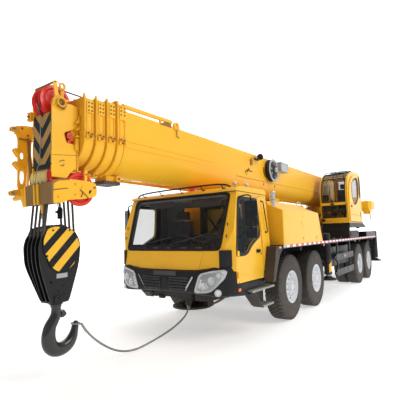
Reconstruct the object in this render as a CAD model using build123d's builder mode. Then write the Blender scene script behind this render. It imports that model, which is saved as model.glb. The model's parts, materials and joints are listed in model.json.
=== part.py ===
from build123d import *
import math
import os

os.makedirs("parts", exist_ok=True)

# Four-axle truck crane in its travel pose. Millimetres, +Z up, the ground at Z 0,
# the front towards -Y and the vehicle's left towards +X.
# Stations along the machine are measured from axle 1; Y_AXLE_1 puts them in the frame.
Y_AXLE_1 = -2427


def st(v):
    return Y_AXLE_1 + v


# ---- driving dimensions -------------------------------------------------------------
AXLES = (0, 1470, 5575, 6925)          # stations of the four axles
TYRE_R, TYRE_W = 613, 315              # 12.00R24 tyre
FRONT_X = 1152                         # centre plane of a front wheel
TWIN_X = (862, 1212)                   # centre planes of the two tyres of a rear twin
KINGPIN_X = 930
SLEW = 5200                            # station of the slewing axis
FOOT = (7300, 2800)                    # boom foot pin: station, height
LUFF_LOW = (5400, 1850)                # luffing cylinder's lower pin: station, height
LUFF_TOP = (2100, 2350)                # its upper pin on the boom at rest
HANG = (-4220, 2120)                   # pivot of the hoist ropes at the head
OUTRIGGERS = (2460, 8450)              # stations of the two outrigger boxes
OUT_DY = 122                           # half distance of the two beams in a box
OUT_LEFT = (-1, 1)                     # the left beam runs ahead in the front box, behind in the rear one
COLUMN_X = 1310                        # jack column centre
DECK_Z = (1360, 1420)
FRAME_X = 400


def keep(builder, label):
    builder.part.label = label
    export_step(builder.part, "parts/" + label + ".step")


def box(x0, x1, s0, s1, z0, z1, mode=Mode.ADD):
    with Locations(((x0 + x1) / 2, st((s0 + s1) / 2), (z0 + z1) / 2)):
        Box(abs(x1 - x0), abs(s1 - s0), abs(z1 - z0), mode=mode)


def cyl_x(x0, x1, s, z, r, mode=Mode.ADD):
    with Locations(Location(((x0 + x1) / 2, st(s), z), (0, 90, 0))):
        Cylinder(r, abs(x1 - x0), mode=mode)


def cyl_z(x, s, z0, z1, r, mode=Mode.ADD):
    with Locations((x, st(s), (z0 + z1) / 2)):
        Cylinder(r, abs(z1 - z0), mode=mode)


def side_plate(x0, x1, outline, mode=Mode.ADD):
    """A plate from x0 to x1 whose outline is given as (station, height) points."""
    with BuildSketch(Plane((x0, 0, 0), x_dir=(0, 1, 0), z_dir=(1, 0, 0))) as face:
        with BuildLine():
            Polyline(*[(st(a), b) for a, b in outline], close=True)
        make_face()
    extrude(face.sketch, amount=x1 - x0, mode=mode)


def cross_plate(s0, s1, outline, mode=Mode.ADD):
    """A solid from station s0 to s1 whose section is given as (x, height) points."""
    with BuildSketch(Plane((0, st(s0), 0), x_dir=(1, 0, 0), z_dir=(0, -1, 0))) as face:
        with BuildLine():
            Polyline(*outline, close=True)
        make_face()
    extrude(face.sketch, amount=-(s1 - s0), mode=mode)


def bar(p, q, w, mode=Mode.ADD):
    """A square bar of width w between two points (x, station, z)."""
    a, b = Vector(p[0], st(p[1]), p[2]), Vector(q[0], st(q[1]), q[2])
    d = b - a
    with BuildSketch(Plane(a, z_dir=d.normalized())) as face:
        Rectangle(w, w)
    extrude(face.sketch, amount=d.length, mode=mode)


def rod(p, q, r, mode=Mode.ADD):
    a, b = Vector(p[0], st(p[1]), p[2]), Vector(q[0], st(q[1]), q[2])
    d = b - a
    with BuildSketch(Plane(a, z_dir=d.normalized())) as face:
        Circle(r)
    extrude(face.sketch, amount=d.length, mode=mode)


# ==== carrier ========================================================================
F0, F1 = -690, 8720                    # frame: front and rear stations
with BuildPart() as chassis:
    box(-FRAME_X, FRAME_X, F0, F1, 780, DECK_Z[0])
    box(-FRAME_X + 14, FRAME_X - 14, F0 + 20, 2150, 800, DECK_Z[0] - 20, Mode.SUBTRACT)
    box(-FRAME_X + 14, FRAME_X - 14, 2760, 8150, 800, DECK_Z[0] - 20, Mode.SUBTRACT)
    # low front frame under the cab, with the centre jack's sleeve and the towing eye
    box(-FRAME_X, FRAME_X, -2010, F0 - 0.2, 640, 995)
    cyl_z(0, -1450, 560, 995, 130)
    cyl_z(0, -1450, 500, 996, 96, Mode.SUBTRACT)
    side_plate(185, 215, [(-1900, 660), (-1900, 520), (-1850, 462), (-1790, 462), (-1740, 520), (-1740, 660)])
    cyl_x(180, 220, -1820, 520, 24, Mode.SUBTRACT)
    # outrigger boxes, each with two tunnels side by side
    for s in OUTRIGGERS:
        for side in (-1, 1):
            box(side * (FRAME_X + 0.2), side * 1210, s - 250, s + 250, 900, DECK_Z[0])
        box(-FRAME_X, FRAME_X, s - 250, s + 250, 900, DECK_Z[0])
        for d in (-OUT_DY, OUT_DY):
            box(-1260, 1260, s + d - 112, s + d + 112, 950, 1300, Mode.SUBTRACT)
    # room for the two axle housings under the frame
    for s in AXLES[2:]:
        cyl_x(-150, 150, s, TYRE_R, 245, Mode.SUBTRACT)
    # outriders that carry the deck over the wheels
    for s in (-430, 735, 3500, 4750, 6250, 7650):
        for side in (-1, 1):
            box(side * (FRAME_X + 0.2), side * 1250, s - 40, s + 40, 1260, DECK_Z[0])
keep(chassis, "chassis_frame")

with BuildPart() as deck:
    box(-1400, 1400, -560, 8450, DECK_Z[0], DECK_Z[1])
    cyl_z(0, SLEW, DECK_Z[0] - 5, DECK_Z[1] + 5, 700, Mode.SUBTRACT)
    # downturned side edges with the reflective band
    for x in (-1400, 1385):
        box(x, x + 15, 1765, 8450, 1345, DECK_Z[0])
    # boom rest behind the cab
    box(-330, -230, -560, -545, 1400, 2300)
    box(230, 330, -560, -545, 1400, 2300)
    box(-330, -230, -670, -560, DECK_Z[0], 2300)
    box(230, 330, -670, -560, DECK_Z[0], 2300)
    box(-330, 330, -680, -545, 2300, 2468)
    box(-330, 330, -670, -545, DECK_Z[0], DECK_Z[1])
    # side rails on their posts
    for x in (-1386, 1350):
        box(x, x + 36, 3000, 3060, 540, 1345)
        box(x, x + 36, 4300, 4360, 540, 1345)
        box(x, x + 36, 2760, 4650, 940, 1000)
        box(x, x + 36, 2760, 4650, 545, 605)
    # notches round the jack columns
    for i, s in enumerate(OUTRIGGERS):
        for side in (-1, 1):
            c = s + side * OUT_LEFT[i] * OUT_DY
            box(side * 1205, side * 1401, c - 105, c + 105, 1300, 1500, Mode.SUBTRACT)
keep(deck, "deck")

with BuildPart() as bumper:
    with BuildSketch(Plane.XY.offset(640)):
        with BuildLine():
            Polyline((-1215, st(-1925)), (-1215, st(-1990)), (-1040, st(-2130)), (-700, st(-2175)), (700, st(-2175)),
                     (1040, st(-2130)), (1215, st(-1990)), (1215, st(-1925)), (1150, st(-1925)), (1150, st(-1960)),
                     (1000, st(-2050)), (-1000, st(-2050)), (-1150, st(-1960)), (-1150, st(-1925)), close=True)
        make_face()
    extrude(amount=440)
    # brackets to the front frame
    for side in (-1, 1):
        box(side * 300, side * 380, -2055, -2010.1, 700, 900)
    # headlight pockets
    for side in (-1, 1):
        cross_plate(-2190, -2090, [(side * 545, 715), (side * 1080, 760), (side * 1100, 930), (side * 740, 1050), (side * 690, 1050)],
                    Mode.SUBTRACT)
keep(bumper, "front_bumper")

with BuildPart() as lamps:
    for side in (-1, 1):
        cross_plate(-2165, -2091, [(side * 560, 730), (side * 1020, 768), (side * 1020, 940), (side * 738, 1040), (side * 700, 1040)])
keep(lamps, "headlights")

# Cab shell: front, rear and side posts as one welded shell, the doors left out.
CAB_REAR = -700
CAB_X = 1205                           # outer side of the cab and its doors
CAB_SIDE = [(-2100, 1085), (-2050, 1400), (-1745, 2325), (-1500, 2385), (-820, 2385), (CAB_REAR, 2330), (CAB_REAR, 1000), (-1900, 1000),
            (-1900, 1085)]
DOOR = [(-1905, 890), (-1905, 1420), (-1760, 2150), (-1715, 2240), (-990, 2270), (-990, 890)]
# plane of the windscreen, leaning back
SCREEN = Plane((0, st(-2050), 1400), x_dir=(1, 0, 0), z_dir=(0, -0.95, 0.313))
with BuildPart() as cab:
    side_plate(-CAB_X, CAB_X, CAB_SIDE)
    # tapered upper body and rounded front corners
    for side in (-1, 1):
        cross_plate(-2300, -600, [(side * CAB_X, 1500), (side * 1400, 1500), (side * 1400, 2500), (side * 1140, 2500), (side * 1150, 2330)],
                    Mode.SUBTRACT)
        with BuildSketch(Plane.XY.offset(900)):
            with BuildLine():
                Polyline((side * CAB_X, st(-1935)), (side * 1000, st(-2080)), (side * 960, st(-2120)), (side * 960, st(-2300)),
                         (side * 1400, st(-2300)), (side * 1400, st(-1935)), close=True)
            make_face()
        extrude(amount=1600, mode=Mode.SUBTRACT)
    side_plate(-CAB_X + 60, CAB_X - 60, [(-1950, 1060), (-1960, 1400), (-1670, 2300), (-1500, 2400), (-750, 2400), (-750, 1060)],
               Mode.SUBTRACT)
    # windscreen, rear window and door openings
    with BuildSketch(SCREEN):
        with BuildLine():
            Polyline((-980, 20), (980, 20), (1010, 925), (-1010, 925), close=True)
        make_face()
    extrude(amount=160, both=True, mode=Mode.SUBTRACT)
    box(-700, 700, -800, -600, 1650, 2200, Mode.SUBTRACT)
    side_plate(-1300, -1140, DOOR, Mode.SUBTRACT)
    side_plate(1140, 1300, DOOR, Mode.SUBTRACT)
    # the roof is a separate panel
    box(-1400, 1400, -2300, -600, 2325, 2500, Mode.SUBTRACT)
    # sill of the floor under the doors
    box(-1140, 1140, -1900, -990, 1000, 1060)
keep(cab, "cab_shell")

with BuildPart() as roof:
    side_plate(-1165, 1165, [(-1800, 2331), (-1760, 2375), (-1600, 2420), (-760, 2420), (-700, 2395), (-695, 2331)])
    side_plate(-1110, 1110, [(-1700, 2330), (-1660, 2350), (-1560, 2380), (-780, 2380), (-760, 2330)], Mode.SUBTRACT)
keep(roof, "cab_roof")

with BuildPart() as glass:
    with BuildSketch(SCREEN):
        with BuildLine():
            Polyline((-970, 26), (970, 26), (1000, 915), (-1000, 915), close=True)
        make_face()
    extrude(amount=-8)
    box(-695, 695, -725, -717, 1655, 2195)
keep(glass, "cab_glass")

with BuildPart() as interior:
    # dash with its column and wheel, two seats
    side_plate(-1120, 1120, [(-1900, 1061), (-1900, 1350), (-1700, 1400), (-1620, 1330), (-1640, 1061)])
    rod((520, -1680, 1300), (520, -1480, 1500), 35)
    with Locations(Location((520, st(-1465), 1515), (-45, 0, 0))):
        Torus(210, 18)
    rod((310, -1465, 1515), (730, -1465, 1515), 14)
    for x in (-560, 560):
        box(x - 180, x + 180, -1350, -960, 1061, 1250)
        box(x - 240, x + 240, -1400, -900, 1250, 1420)
        side_plate(x - 230, x + 230, [(-1040, 1420), (-1000, 2000), (-870, 2000), (-900, 1420)])
keep(interior, "cab_seats_and_dash")

HINGE = (CAB_X + 15, -1905)            # door hinge line: x and station
for name, sx in (("door_left", 1), ("door_right", -1)):
    with BuildPart() as door:
        inset = [(-1899, 896), (-1899, 1420), (-1754, 2148), (-1711, 2234), (-996, 2263), (-996, 896)]
        side_plate(sx * 1146, sx * (CAB_X + 2), inset)
        side_plate(sx * 1100, sx * 1320, [(-1835, 1340), (-1810, 1480), (-1680, 2150), (-1075, 2190), (-1075, 1520), (-1400, 1500),
                                          (-1520, 1340)], Mode.SUBTRACT)
        cross_plate(-2300, -600, [(sx * (CAB_X + 2), 1500), (sx * 1400, 1500), (sx * 1400, 2500), (sx * 1142, 2500), (sx * 1152, 2330)],
                    Mode.SUBTRACT)
        box(sx * CAB_X, sx * (CAB_X + 22), -1170, -1030, 1330, 1375)
        # two hinges: leaf on the door's skin and knuckle on the hinge line
        for z in (980, 1300):
            box(sx * (CAB_X + 1.5), sx * (CAB_X + 9), HINGE[1], HINGE[1] + 70, z, z + 90)
            cyl_z(sx * HINGE[0], HINGE[1], z, z + 90, 12)
        # mirror arms, the main mirror and the wide-angle one under it
        rod((sx * 1150, -1692, 2205), (sx * 1362, -1676, 2235), 13)
        rod((sx * 1362, -1676, 2243), (sx * 1362, -1676, 1600), 13)
        rod((sx * 1188, -1862, 1560), (sx * 1362, -1676, 1745), 12)
        for z0, z1, x0, x1 in ((1765, 2160, 0, 1), (1575, 1730, 0.06, 0.94)):
            with BuildSketch(Plane.XY.offset(z0)):
                with BuildLine():
                    Polyline(*[(sx * (1275 + 174 * k + 20 * w), st(-1710 + 74 * k - 47 * w)) for k, w in ((x0, 0), (x1, 0), (x1, 1), (x0, 1))],
                             close=True)
                make_face()
            extrude(amount=z1 - z0)
    keep(door, name)

with BuildPart() as steps:
    for side in (-1, 1):
        # two treads on hangers under the door, and the mudguard behind it
        box(side * 1060, side * 1300, -1620, -800, 722, 760)
        box(side * 1080, side * 1300, -1260, -860, 440, 478)
        box(side * 1080, side * 1110, -1250, -1200, 440, 995)
        box(side * 1080, side * 1110, -920, -870, 440, 995)
        side_plate(side * 1215, side * 1390, [(-985, 830), (-930, 830), (-790, 1150), (-700, 1290), (-575, 1345), (-575, 1300), (-640, 1250),
                                              (-700, 1190), (-800, 960), (-900, 755), (-985, 755)])
        side_plate(side * 1000, side * 1216, [(-690, 1270), (-575, 1345), (-575, 1300), (-640, 1250), (-690, 1205)])
keep(steps, "steps_and_mudguards")

# Engine hood: full width, taller inboard, sloping down at its rear end.
HOOD = [(-540, 1421), (-540, 2240), (1450, 2240), (1760, 1440), (1760, 1421)]
with BuildPart() as hood:
    side_plate(-1400, 1400, HOOD)
    for side in (-1, 1):
        cross_plate(-600, 1800, [(side * 1090, 2260), (side * 1130, 2170), (side * 1330, 2085), (side * 1395, 2060), (side * 1420, 2060),
                                 (side * 1420, 2260)], Mode.SUBTRACT)
    side_plate(-1360, 1360, [(-500, 1400), (-500, 2020), (1400, 2020), (1640, 1440), (1640, 1400)], Mode.SUBTRACT)
    side_plate(-1060, 1060, [(-500, 1400), (-500, 2200), (1400, 2200), (1640, 1440), (1640, 1400)], Mode.SUBTRACT)
    # air cleaner stack and exhaust on the left, behind the cab
    cyl_z(1130, -330, 2120, 2430, 90)
    cyl_z(-1130, -330, 2120, 2380, 75)
keep(hood, "engine_hood")

with BuildPart() as engine:
    box(-380, 380, 0, 1280, DECK_Z[1] + 1, 2100)
keep(engine, "engine")

with BuildPart() as axles:
    for i, s in enumerate(AXLES):
        if i < 2:
            cyl_x(-900, 900, s, TYRE_R, 52)
            for side in (-1, 1):
                cyl_z(side * KINGPIN_X, s, TYRE_R - 82, TYRE_R + 82, 60)
                cyl_z(side * KINGPIN_X, s, TYRE_R - 90, TYRE_R + 90, 31, Mode.SUBTRACT)
                box(side * 290, side * 380, s - 520, s + 520, 705, 765)
                box(side * 280, side * 390, s - 90, s + 90, 640, 706)
                for e in (-500, 500):
                    box(side * 300, side * 370, s + e - 30, s + e + 30, 760, 779.9)
        else:
            cyl_x(-660, 660, s, TYRE_R, 95)
            cyl_x(-130, 130, s, TYRE_R, 225)
            for side in (-1, 1):
                cyl_x(side * 660, side * 1290, s, TYRE_R, 60)
    for side in (-1, 1):
        # one spring across both rear axles, on a centre trunnion
        box(side * 420, side * 510, AXLES[2], AXLES[3], 700, 790)
        box(side * 400.1, side * 510, 6190, 6310, 690, 900)
keep(axles, "axle_beams")

with BuildPart() as tank:
    # fuel tank and battery boxes between axles 2 and 3
    for side in (-1, 1):
        box(side * 720, side * 1240, 2930, 4720, 720, 1240)
        box(side * 800, side * 900, 3200, 3300, 1240, 1359.9)
        box(side * 800, side * 900, 4400, 4500, 1240, 1359.9)
        # boxes over the tail, behind the last axle
        box(side * 450, side * 1200, 7720, 8160, 900, 1240)
        box(side * 800, side * 900, 7850, 7950, 1240, 1359.9)
keep(tank, "fuel_tank_and_boxes")

# ---- steering knuckles and wheels ---------------------------------------------------
with BuildPart() as bare_front:
    # tyre with its dished rim and hub, revolved about the wheel's axis (x outward, r)
    with BuildSketch(Plane.XZ):
        with BuildLine():
            Polyline((-100, 51), (-100, 105), (60, 105), (85, 290), (-150, 295), (-157, 330), (-150, 520), (-125, 595), (-95, 613),
                     (95, 613), (125, 595), (150, 520), (157, 330), (150, 295), (125, 295), (112, 140), (170, 120), (175, 0), (105, 0),
                     (105, 51), close=True)
        make_face()
    revolve(axis=Axis.X)
with BuildPart() as bare_twin:
    with BuildSketch(Plane.XZ):
        with BuildLine():
            # origin at the mid plane between the two tyres
            Polyline((-360, 61), (-360, 140), (-60, 150), (-20, 285), (-325, 290), (-332, 330), (-325, 520), (-300, 595), (-270, 613),
                     (-80, 613), (-50, 595), (-25, 520), (-18, 330), (-18, 300), (18, 300), (18, 330), (25, 520), (50, 595), (80, 613),
                     (270, 613), (300, 595), (325, 520), (332, 330), (325, 290), (40, 285), (30, 160), (300, 140), (310, 0), (262, 0),
                     (262, 61), close=True)
        make_face()
    revolve(axis=Axis.X)

for i, s in enumerate(AXLES):
    for side, word in ((1, "left"), (-1, "right")):
        if i < 2:
            with BuildPart() as knuckle:
                box(side * 998, side * 1036, s - 95, s + 95, TYRE_R - 140, TYRE_R + 140)
                for z in (TYRE_R - 140, TYRE_R + 92):
                    box(side * 930, side * 1000, s - 60, s + 60, z, z + 48)
                    cyl_z(side * KINGPIN_X, s, z, z + 48, 60)
                cyl_z(side * KINGPIN_X, s, TYRE_R - 140, TYRE_R + 140, 30.5)
                cyl_x(side * 1030, side * 1240, s, TYRE_R, 50)
                # steering arm reaching back under the axle
                bar((side * 990, s + 60, TYRE_R - 115), (side * 860, s + 290, TYRE_R - 115), 40)
            keep(knuckle, "knuckle_%d_%s" % (i + 1, word))
        with BuildPart() as wheel:
            source = bare_front if i < 2 else bare_twin
            x = FRONT_X if i < 2 else sum(TWIN_X) / 2
            with Locations(Location((side * x, st(s), TYRE_R), (0, 0, 0 if side > 0 else 180))):
                add(source.part)
        keep(wheel, "wheel_%d_%s" % (i + 1, word))

# ---- jacks and outriggers -----------------------------------------------------------
with BuildPart() as centre_jack:
    cyl_z(0, -1450, 400, 990, 90)
    cyl_z(0, -1450, 385, 425, 350)
    with BuildSketch(Plane.XY.offset(425)):
        with Locations((0, st(-1450))):
            Circle(350)
    extrude(amount=45, taper=75)
keep(centre_jack, "centre_jack")

# station of the box, which side of the box the beam runs on, and its name
for s, end in ((OUTRIGGERS[0], "front"), (OUTRIGGERS[1], "rear")):
    for side, word in ((1, "left"), (-1, "right")):
        c = s + side * OUT_DY * OUT_LEFT[OUTRIGGERS.index(s)]
        with BuildPart() as outer:
            box(side * -1210, side * 1200, c - 105, c + 105, 958, 1292)
            box(side * -1230, side * 1220, c - 92, c + 92, 972, 1278, Mode.SUBTRACT)
        keep(outer, "outrigger_outer_beam_%s_%s" % (end, word))
        with BuildPart() as inner:
            box(side * -1180, side * 1260, c - 85, c + 85, 980, 1270)
            cyl_z(side * COLUMN_X, c, 600, 1580, 88)
            cyl_z(side * COLUMN_X, c, 590, 1540, 66, Mode.SUBTRACT)
        keep(inner, "outrigger_inner_beam_%s_%s" % (end, word))
        with BuildPart() as jack:
            cyl_z(side * COLUMN_X, c, 490, 1500, 60)
            cyl_z(side * COLUMN_X, c, 470, 500, 190 if end == "front" else 200)
            cyl_z(side * COLUMN_X, c, 500, 560, 90)
        keep(jack, "outrigger_jack_%s_%s" % (end, word))

# ---- tie-down line from the towing eye to the hook ----------------------------------
LINE_D = 22
LINE = [(200, -1812, 479), (196, -1850, 370), (183, -1975, 280), (162, -2130, 205), (132, -2300, 145), (104, -2490, 98), (80, -2690, 58),
        (62, -2900, 32), (48, -3110, 52), (36, -3300, 120), (26, -3470, 225), (16, -3620, 345), (8, -3730, 460), (3, -3805, 570)]
pts = [Vector(x, st(s), z) for x, s, z in LINE]
radii = []
for a, b, c in zip(pts, pts[1:], pts[2:]):
    turn = math.radians((b - a).get_angle(c - b))
    radii.append(0.45 * min((b - a).length, (c - b).length) / math.tan(turn / 2))
print("tie line radii", [round(r) for r in radii])
with BuildPart() as tie_line:
    with BuildLine() as route:
        FilletPolyline(*pts, radius=radii)
    with BuildSketch(Plane(pts[0], z_dir=(pts[1] - pts[0]).normalized())):
        Circle(LINE_D / 2)
    sweep()
print("tie line length", round(route.wires()[0].length), "volume", round(tie_line.part.volume),
      "section x length", round(math.pi * (LINE_D / 2) ** 2 * route.wires()[0].length))
keep(tie_line, "tie_line")

# ==== superstructure =================================================================
with BuildPart() as turntable:
    cyl_z(0, SLEW, 1426, 1605, 860)
    cyl_z(0, SLEW, 1361, 1427, 690)
    cyl_z(0, SLEW, 1350, 1600, 560, Mode.SUBTRACT)
    side_plate(-450, 450, [(3950, 1605), (3950, 1660), (8350, 1660), (8350, 1605)])
    # two cheeks that hold the boom foot and the luffing cylinder
    for x in (-440, 405):
        side_plate(x, x + 35, [(4700, 1610), (4900, 2150), (6500, 2620), (7150, 3000), (7450, 3000), (7560, 2800), (8000, 2440), (8360, 2440),
                               (8360, 1610)])
        cyl_x(x - 1, x + 36, LUFF_LOW[0], LUFF_LOW[1], 55, Mode.SUBTRACT)
        cyl_x(x - 1, x + 36, 8010, 2020, 60.5, Mode.SUBTRACT)
    # cross members
    box(-410, 410, 8330, 8360, 1610, 2440)
    # pins of the boom foot and of the cylinder, held in the cheeks
    cyl_x(-460, 460, FOOT[0], FOOT[1], 60)
    cyl_x(-440, 440, LUFF_LOW[0], LUFF_LOW[1], 54.9)
    # left platform under the operator's cab, right platform with its tank and valve box
    box(450.2, 1390, 4450, 7300, 1640, 1740)
    box(-1390, -450.2, 5000, 7300, 1640, 1700)
    box(-1380, -1000, 5200, 6900, 1700.2, 2180)
    box(500, 1300, 6420, 7250, 1740.2, 2300)
    # arms to the counterweight
    for x in (-1250, 1210):
        side_plate(x, x + 40, [(7300.2, 1640), (7300.2, 1757), (8300, 2100), (8440, 2440), (8440, 2000), (8300, 1900), (7450, 1640)])
keep(turntable, "turntable")

with BuildPart() as weight:
    with BuildSketch(Plane.XY.offset(2445)):
        with BuildLine():
            Polyline((-1300, st(8560)), (-1300, st(9200)), (-1160, st(9350)), (1160, st(9350)), (1300, st(9200)), (1300, st(8560)),
                     (1200, st(8420)), (500, st(8420)), (500, st(8600)), (-500, st(8600)), (-500, st(8420)), (-1200, st(8420)), close=True)
        make_face()
    extrude(amount=315)
    box(-800, 800, 8700, 9300, 2760, 2960)
keep(weight, "counterweight")

with BuildPart() as drum:
    cyl_x(-380, 380, 8010, 2020, 200)
    for x in (-395, 355):
        cyl_x(x, x + 40, 8010, 2020, 300)
    cyl_x(-446, 446, 8010, 2020, 60)
keep(drum, "winch_drum")

OPX = (520, 1395)                      # operator's cab: inner and outer side
OPCAB = [(4470, 1870), (4470, 2180), (4400, 2290), (4400, 2760), (4520, 3020), (4760, 3230), (5150, 3450), (5600, 3540), (6150, 3540),
         (6230, 3440), (6230, 1870)]
OPDOOR = [(4560, 1930), (4560, 2720), (4680, 2980), (4900, 3150), (5260, 3340), (5480, 3370), (5480, 1930)]
with BuildPart() as opcab:
    box(560, 1380, 4520, 6200, 1741, 1871)
    side_plate(OPX[0], OPX[1], OPCAB)
    side_plate(OPX[0] + 35, OPX[1] - 35, [(4440, 1910), (4440, 2750), (4550, 2990), (4780, 3195), (5160, 3410), (5610, 3500), (6130, 3500),
                                          (6190, 3430), (6190, 1910)], Mode.SUBTRACT)
    # front lower and upper windows
    box(OPX[0] + 70, OPX[1] - 70, 4380, 4500, 1950, 2230, Mode.SUBTRACT)
    side_plate(OPX[0] + 70, OPX[1] - 70, [(4300, 2330), (4300, 2760), (4440, 3060), (4600, 3060), (4480, 2760), (4480, 2330)], Mode.SUBTRACT)
    side_plate(OPX[0] + 110, OPX[1] - 110, [(4600, 3200), (4740, 3350), (5100, 3560), (5150, 3400), (4700, 3060)], Mode.SUBTRACT)
    # door opening on the left, side windows, rear window
    side_plate(OPX[1] - 60, OPX[1] + 20, OPDOOR, Mode.SUBTRACT)
    side_plate(OPX[1] - 60, OPX[1] + 20, [(5560, 2450), (5560, 3350), (6120, 3380), (6120, 2450)], Mode.SUBTRACT)
    side_plate(OPX[0] - 20, OPX[0] + 60, [(4700, 2300), (4700, 2850), (5000, 3200), (6100, 3350), (6100, 2300)], Mode.SUBTRACT)
    box(OPX[0] + 90, OPX[1] - 90, 6150, 6300, 2450, 3330, Mode.SUBTRACT)
    # seat
    box(820, 1120, 5600, 5950, 1910, 2200)
    box(720, 1220, 5450, 6000, 2200, 2330)
    box(720, 1220, 5900, 6020, 2330, 3000)
keep(opcab, "operator_cab")

with BuildPart() as opglass:
    box(OPX[0] + 72, OPX[1] - 72, 4478, 4486, 1952, 2228)
    side_plate(OPX[0] + 72, OPX[1] - 72, [(4412, 2332), (4412, 2757), (4535, 3010), (4543, 3010), (4420, 2757), (4420, 2332)])
    side_plate(OPX[1] - 20, OPX[1] - 12, [(5562, 2452), (5562, 3346), (6118, 3378), (6118, 2452)])
    side_plate(OPX[0] + 12, OPX[0] + 20, [(4702, 2302), (4702, 2850), (5002, 3197), (6098, 3346), (6098, 2302)])
    box(OPX[0] + 92, OPX[1] - 92, 6205, 6213, 2452, 3328)
keep(opglass, "operator_cab_glass")

with BuildPart() as opdoor:
    side_plate(OPX[1] + 6, OPX[1] + 34, [(4530, 1900), (4530, 2720), (4660, 3000), (4890, 3180), (5260, 3380), (5510, 3410), (5510, 1900)])
    side_plate(OPX[1] - 10, OPX[1] + 60, [(4620, 2150), (4620, 2710), (4720, 2950), (4920, 3100), (5270, 3290), (5430, 3310), (5430, 2150)],
               Mode.SUBTRACT)
keep(opdoor, "operator_cab_door")

# ---- luffing cylinder ---------------------------------------------------------------
LUFF_LEN = math.hypot(LUFF_LOW[0] - LUFF_TOP[0], LUFF_TOP[1] - LUFF_LOW[1])


def along(d):
    k = d / LUFF_LEN
    return (0, LUFF_LOW[0] + k * (LUFF_TOP[0] - LUFF_LOW[0]), LUFF_LOW[1] + k * (LUFF_TOP[1] - LUFF_LOW[1]))


with BuildPart() as barrel:
    rod(along(80), along(3020), 150)
    rod(along(150), along(3021), 124, Mode.SUBTRACT)
    cyl_x(-120, 120, LUFF_LOW[0], LUFF_LOW[1], 130)
    cyl_x(-130, 130, LUFF_LOW[0], LUFF_LOW[1], 55.5, Mode.SUBTRACT)
keep(barrel, "luffing_cylinder_barrel")
with BuildPart() as piston:
    rod(along(3040), along(LUFF_LEN - 60), 95)
    rod(along(200), along(3060), 95)
    rod(along(200), along(420), 123)
    cyl_x(-90, 90, LUFF_TOP[0], LUFF_TOP[1], 125)
    cyl_x(-100, 100, LUFF_TOP[0], LUFF_TOP[1], 50, Mode.SUBTRACT)
keep(piston, "luffing_cylinder_rod")

# ---- boom ---------------------------------------------------------------------------
# section, outer width, top, bottom, rear station, front station, collar length
SECTIONS = (
    ("boom_base", 760, 3440, 2500, 7560, -3560, 130),
    ("boom_section_2", 680, 3395, 2545, 6600, -3720, 80),
    ("boom_section_3", 600, 3350, 2590, 6500, -3880, 80),
    ("boom_section_4", 520, 3305, 2635, 6400, -4040, 80),
    ("boom_section_5", 440, 3260, 2680, 6300, -4115, 0),
)
WALL = 10


def shell_outline(w, top, bottom, inset, mode=Mode.ADD):
    """Half-round bottom, straight sides, flat top."""
    h = w / 2 - inset
    zc = bottom + w / 2
    with BuildLine() as outline:
        a = Line((-h, top - inset), (h, top - inset))
        b = Line(a @ 1, (h, zc))
        c = ThreePointArc(b @ 1, (0, bottom + inset), (-h, zc))
        Line(c @ 1, a @ 0)
    make_face(outline.edges(), mode=mode)


# the cylinder's lugs, kept 0.2 mm off the round bottom they are welded to
with BuildPart() as lugs:
    for side in (-1, 1):
        side_plate(side * 98, side * 150, [(1820, 2560), (1900, 2440), (1980, 2260), (2100, 2205), (2220, 2260), (2300, 2440), (2380, 2560)])
        cyl_x(side * 95, side * 155, LUFF_TOP[0], LUFF_TOP[1], 50, Mode.SUBTRACT)
    with BuildSketch(Plane((0, st(1800), 0), x_dir=(1, 0, 0), z_dir=(0, -1, 0))):
        shell_outline(760, 3440, 2500, -0.2)
    extrude(amount=-600, mode=Mode.SUBTRACT)

for name, w, top, bottom, rear, front, collar in SECTIONS:
    with BuildPart() as section:
        with BuildSketch(Plane((0, st(front), 0), x_dir=(1, 0, 0), z_dir=(0, -1, 0))):
            shell_outline(w, top, bottom, 0)
            shell_outline(w, top, bottom, WALL, Mode.SUBTRACT)
        extrude(amount=-(rear - front))
        if collar:
            # reinforced mouth with its guide fins
            with BuildSketch(Plane((0, st(front), 0), x_dir=(1, 0, 0), z_dir=(0, -1, 0))):
                shell_outline(w + 50, top + 22, bottom - 25, 0)
                shell_outline(w, top, bottom, WALL, Mode.SUBTRACT)
            extrude(amount=-collar)
            for side in (-1, 1):
                box(side * (w / 2 - 60), side * (w / 2 + 20), front, front + 40, top + 15, top + 62)
        if name == "boom_base":
            # foot: solid cheeks around the pin, lugs for the cylinder, brackets of the jib
            for side in (-1, 1):
                side_plate(side * (w / 2 - WALL), side * (w / 2 + 18), [(6900, 2880), (7050, 2690), (7220, 2610), (7400, 2610), (7540, 2700),
                                                                       (7600, 2880), (7560, 3200), (6900, 3200)])
            add(lugs.part)
            cyl_x(-420, 420, FOOT[0], FOOT[1], 61, Mode.SUBTRACT)
            for s in (-2600, 2600):
                box(-560, -290, s - 60, s + 60, 2600, 2680)
                box(-560, -375, s - 60, s + 60, 3050, 3110)
        if name == "boom_section_5":
            # end plate that the head is welded to
            with BuildSketch(Plane((0, st(front), 0), x_dir=(1, 0, 0), z_dir=(0, -1, 0))):
                shell_outline(w, top, bottom, 0)
            extrude(amount=-20)
    keep(section, name)

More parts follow.
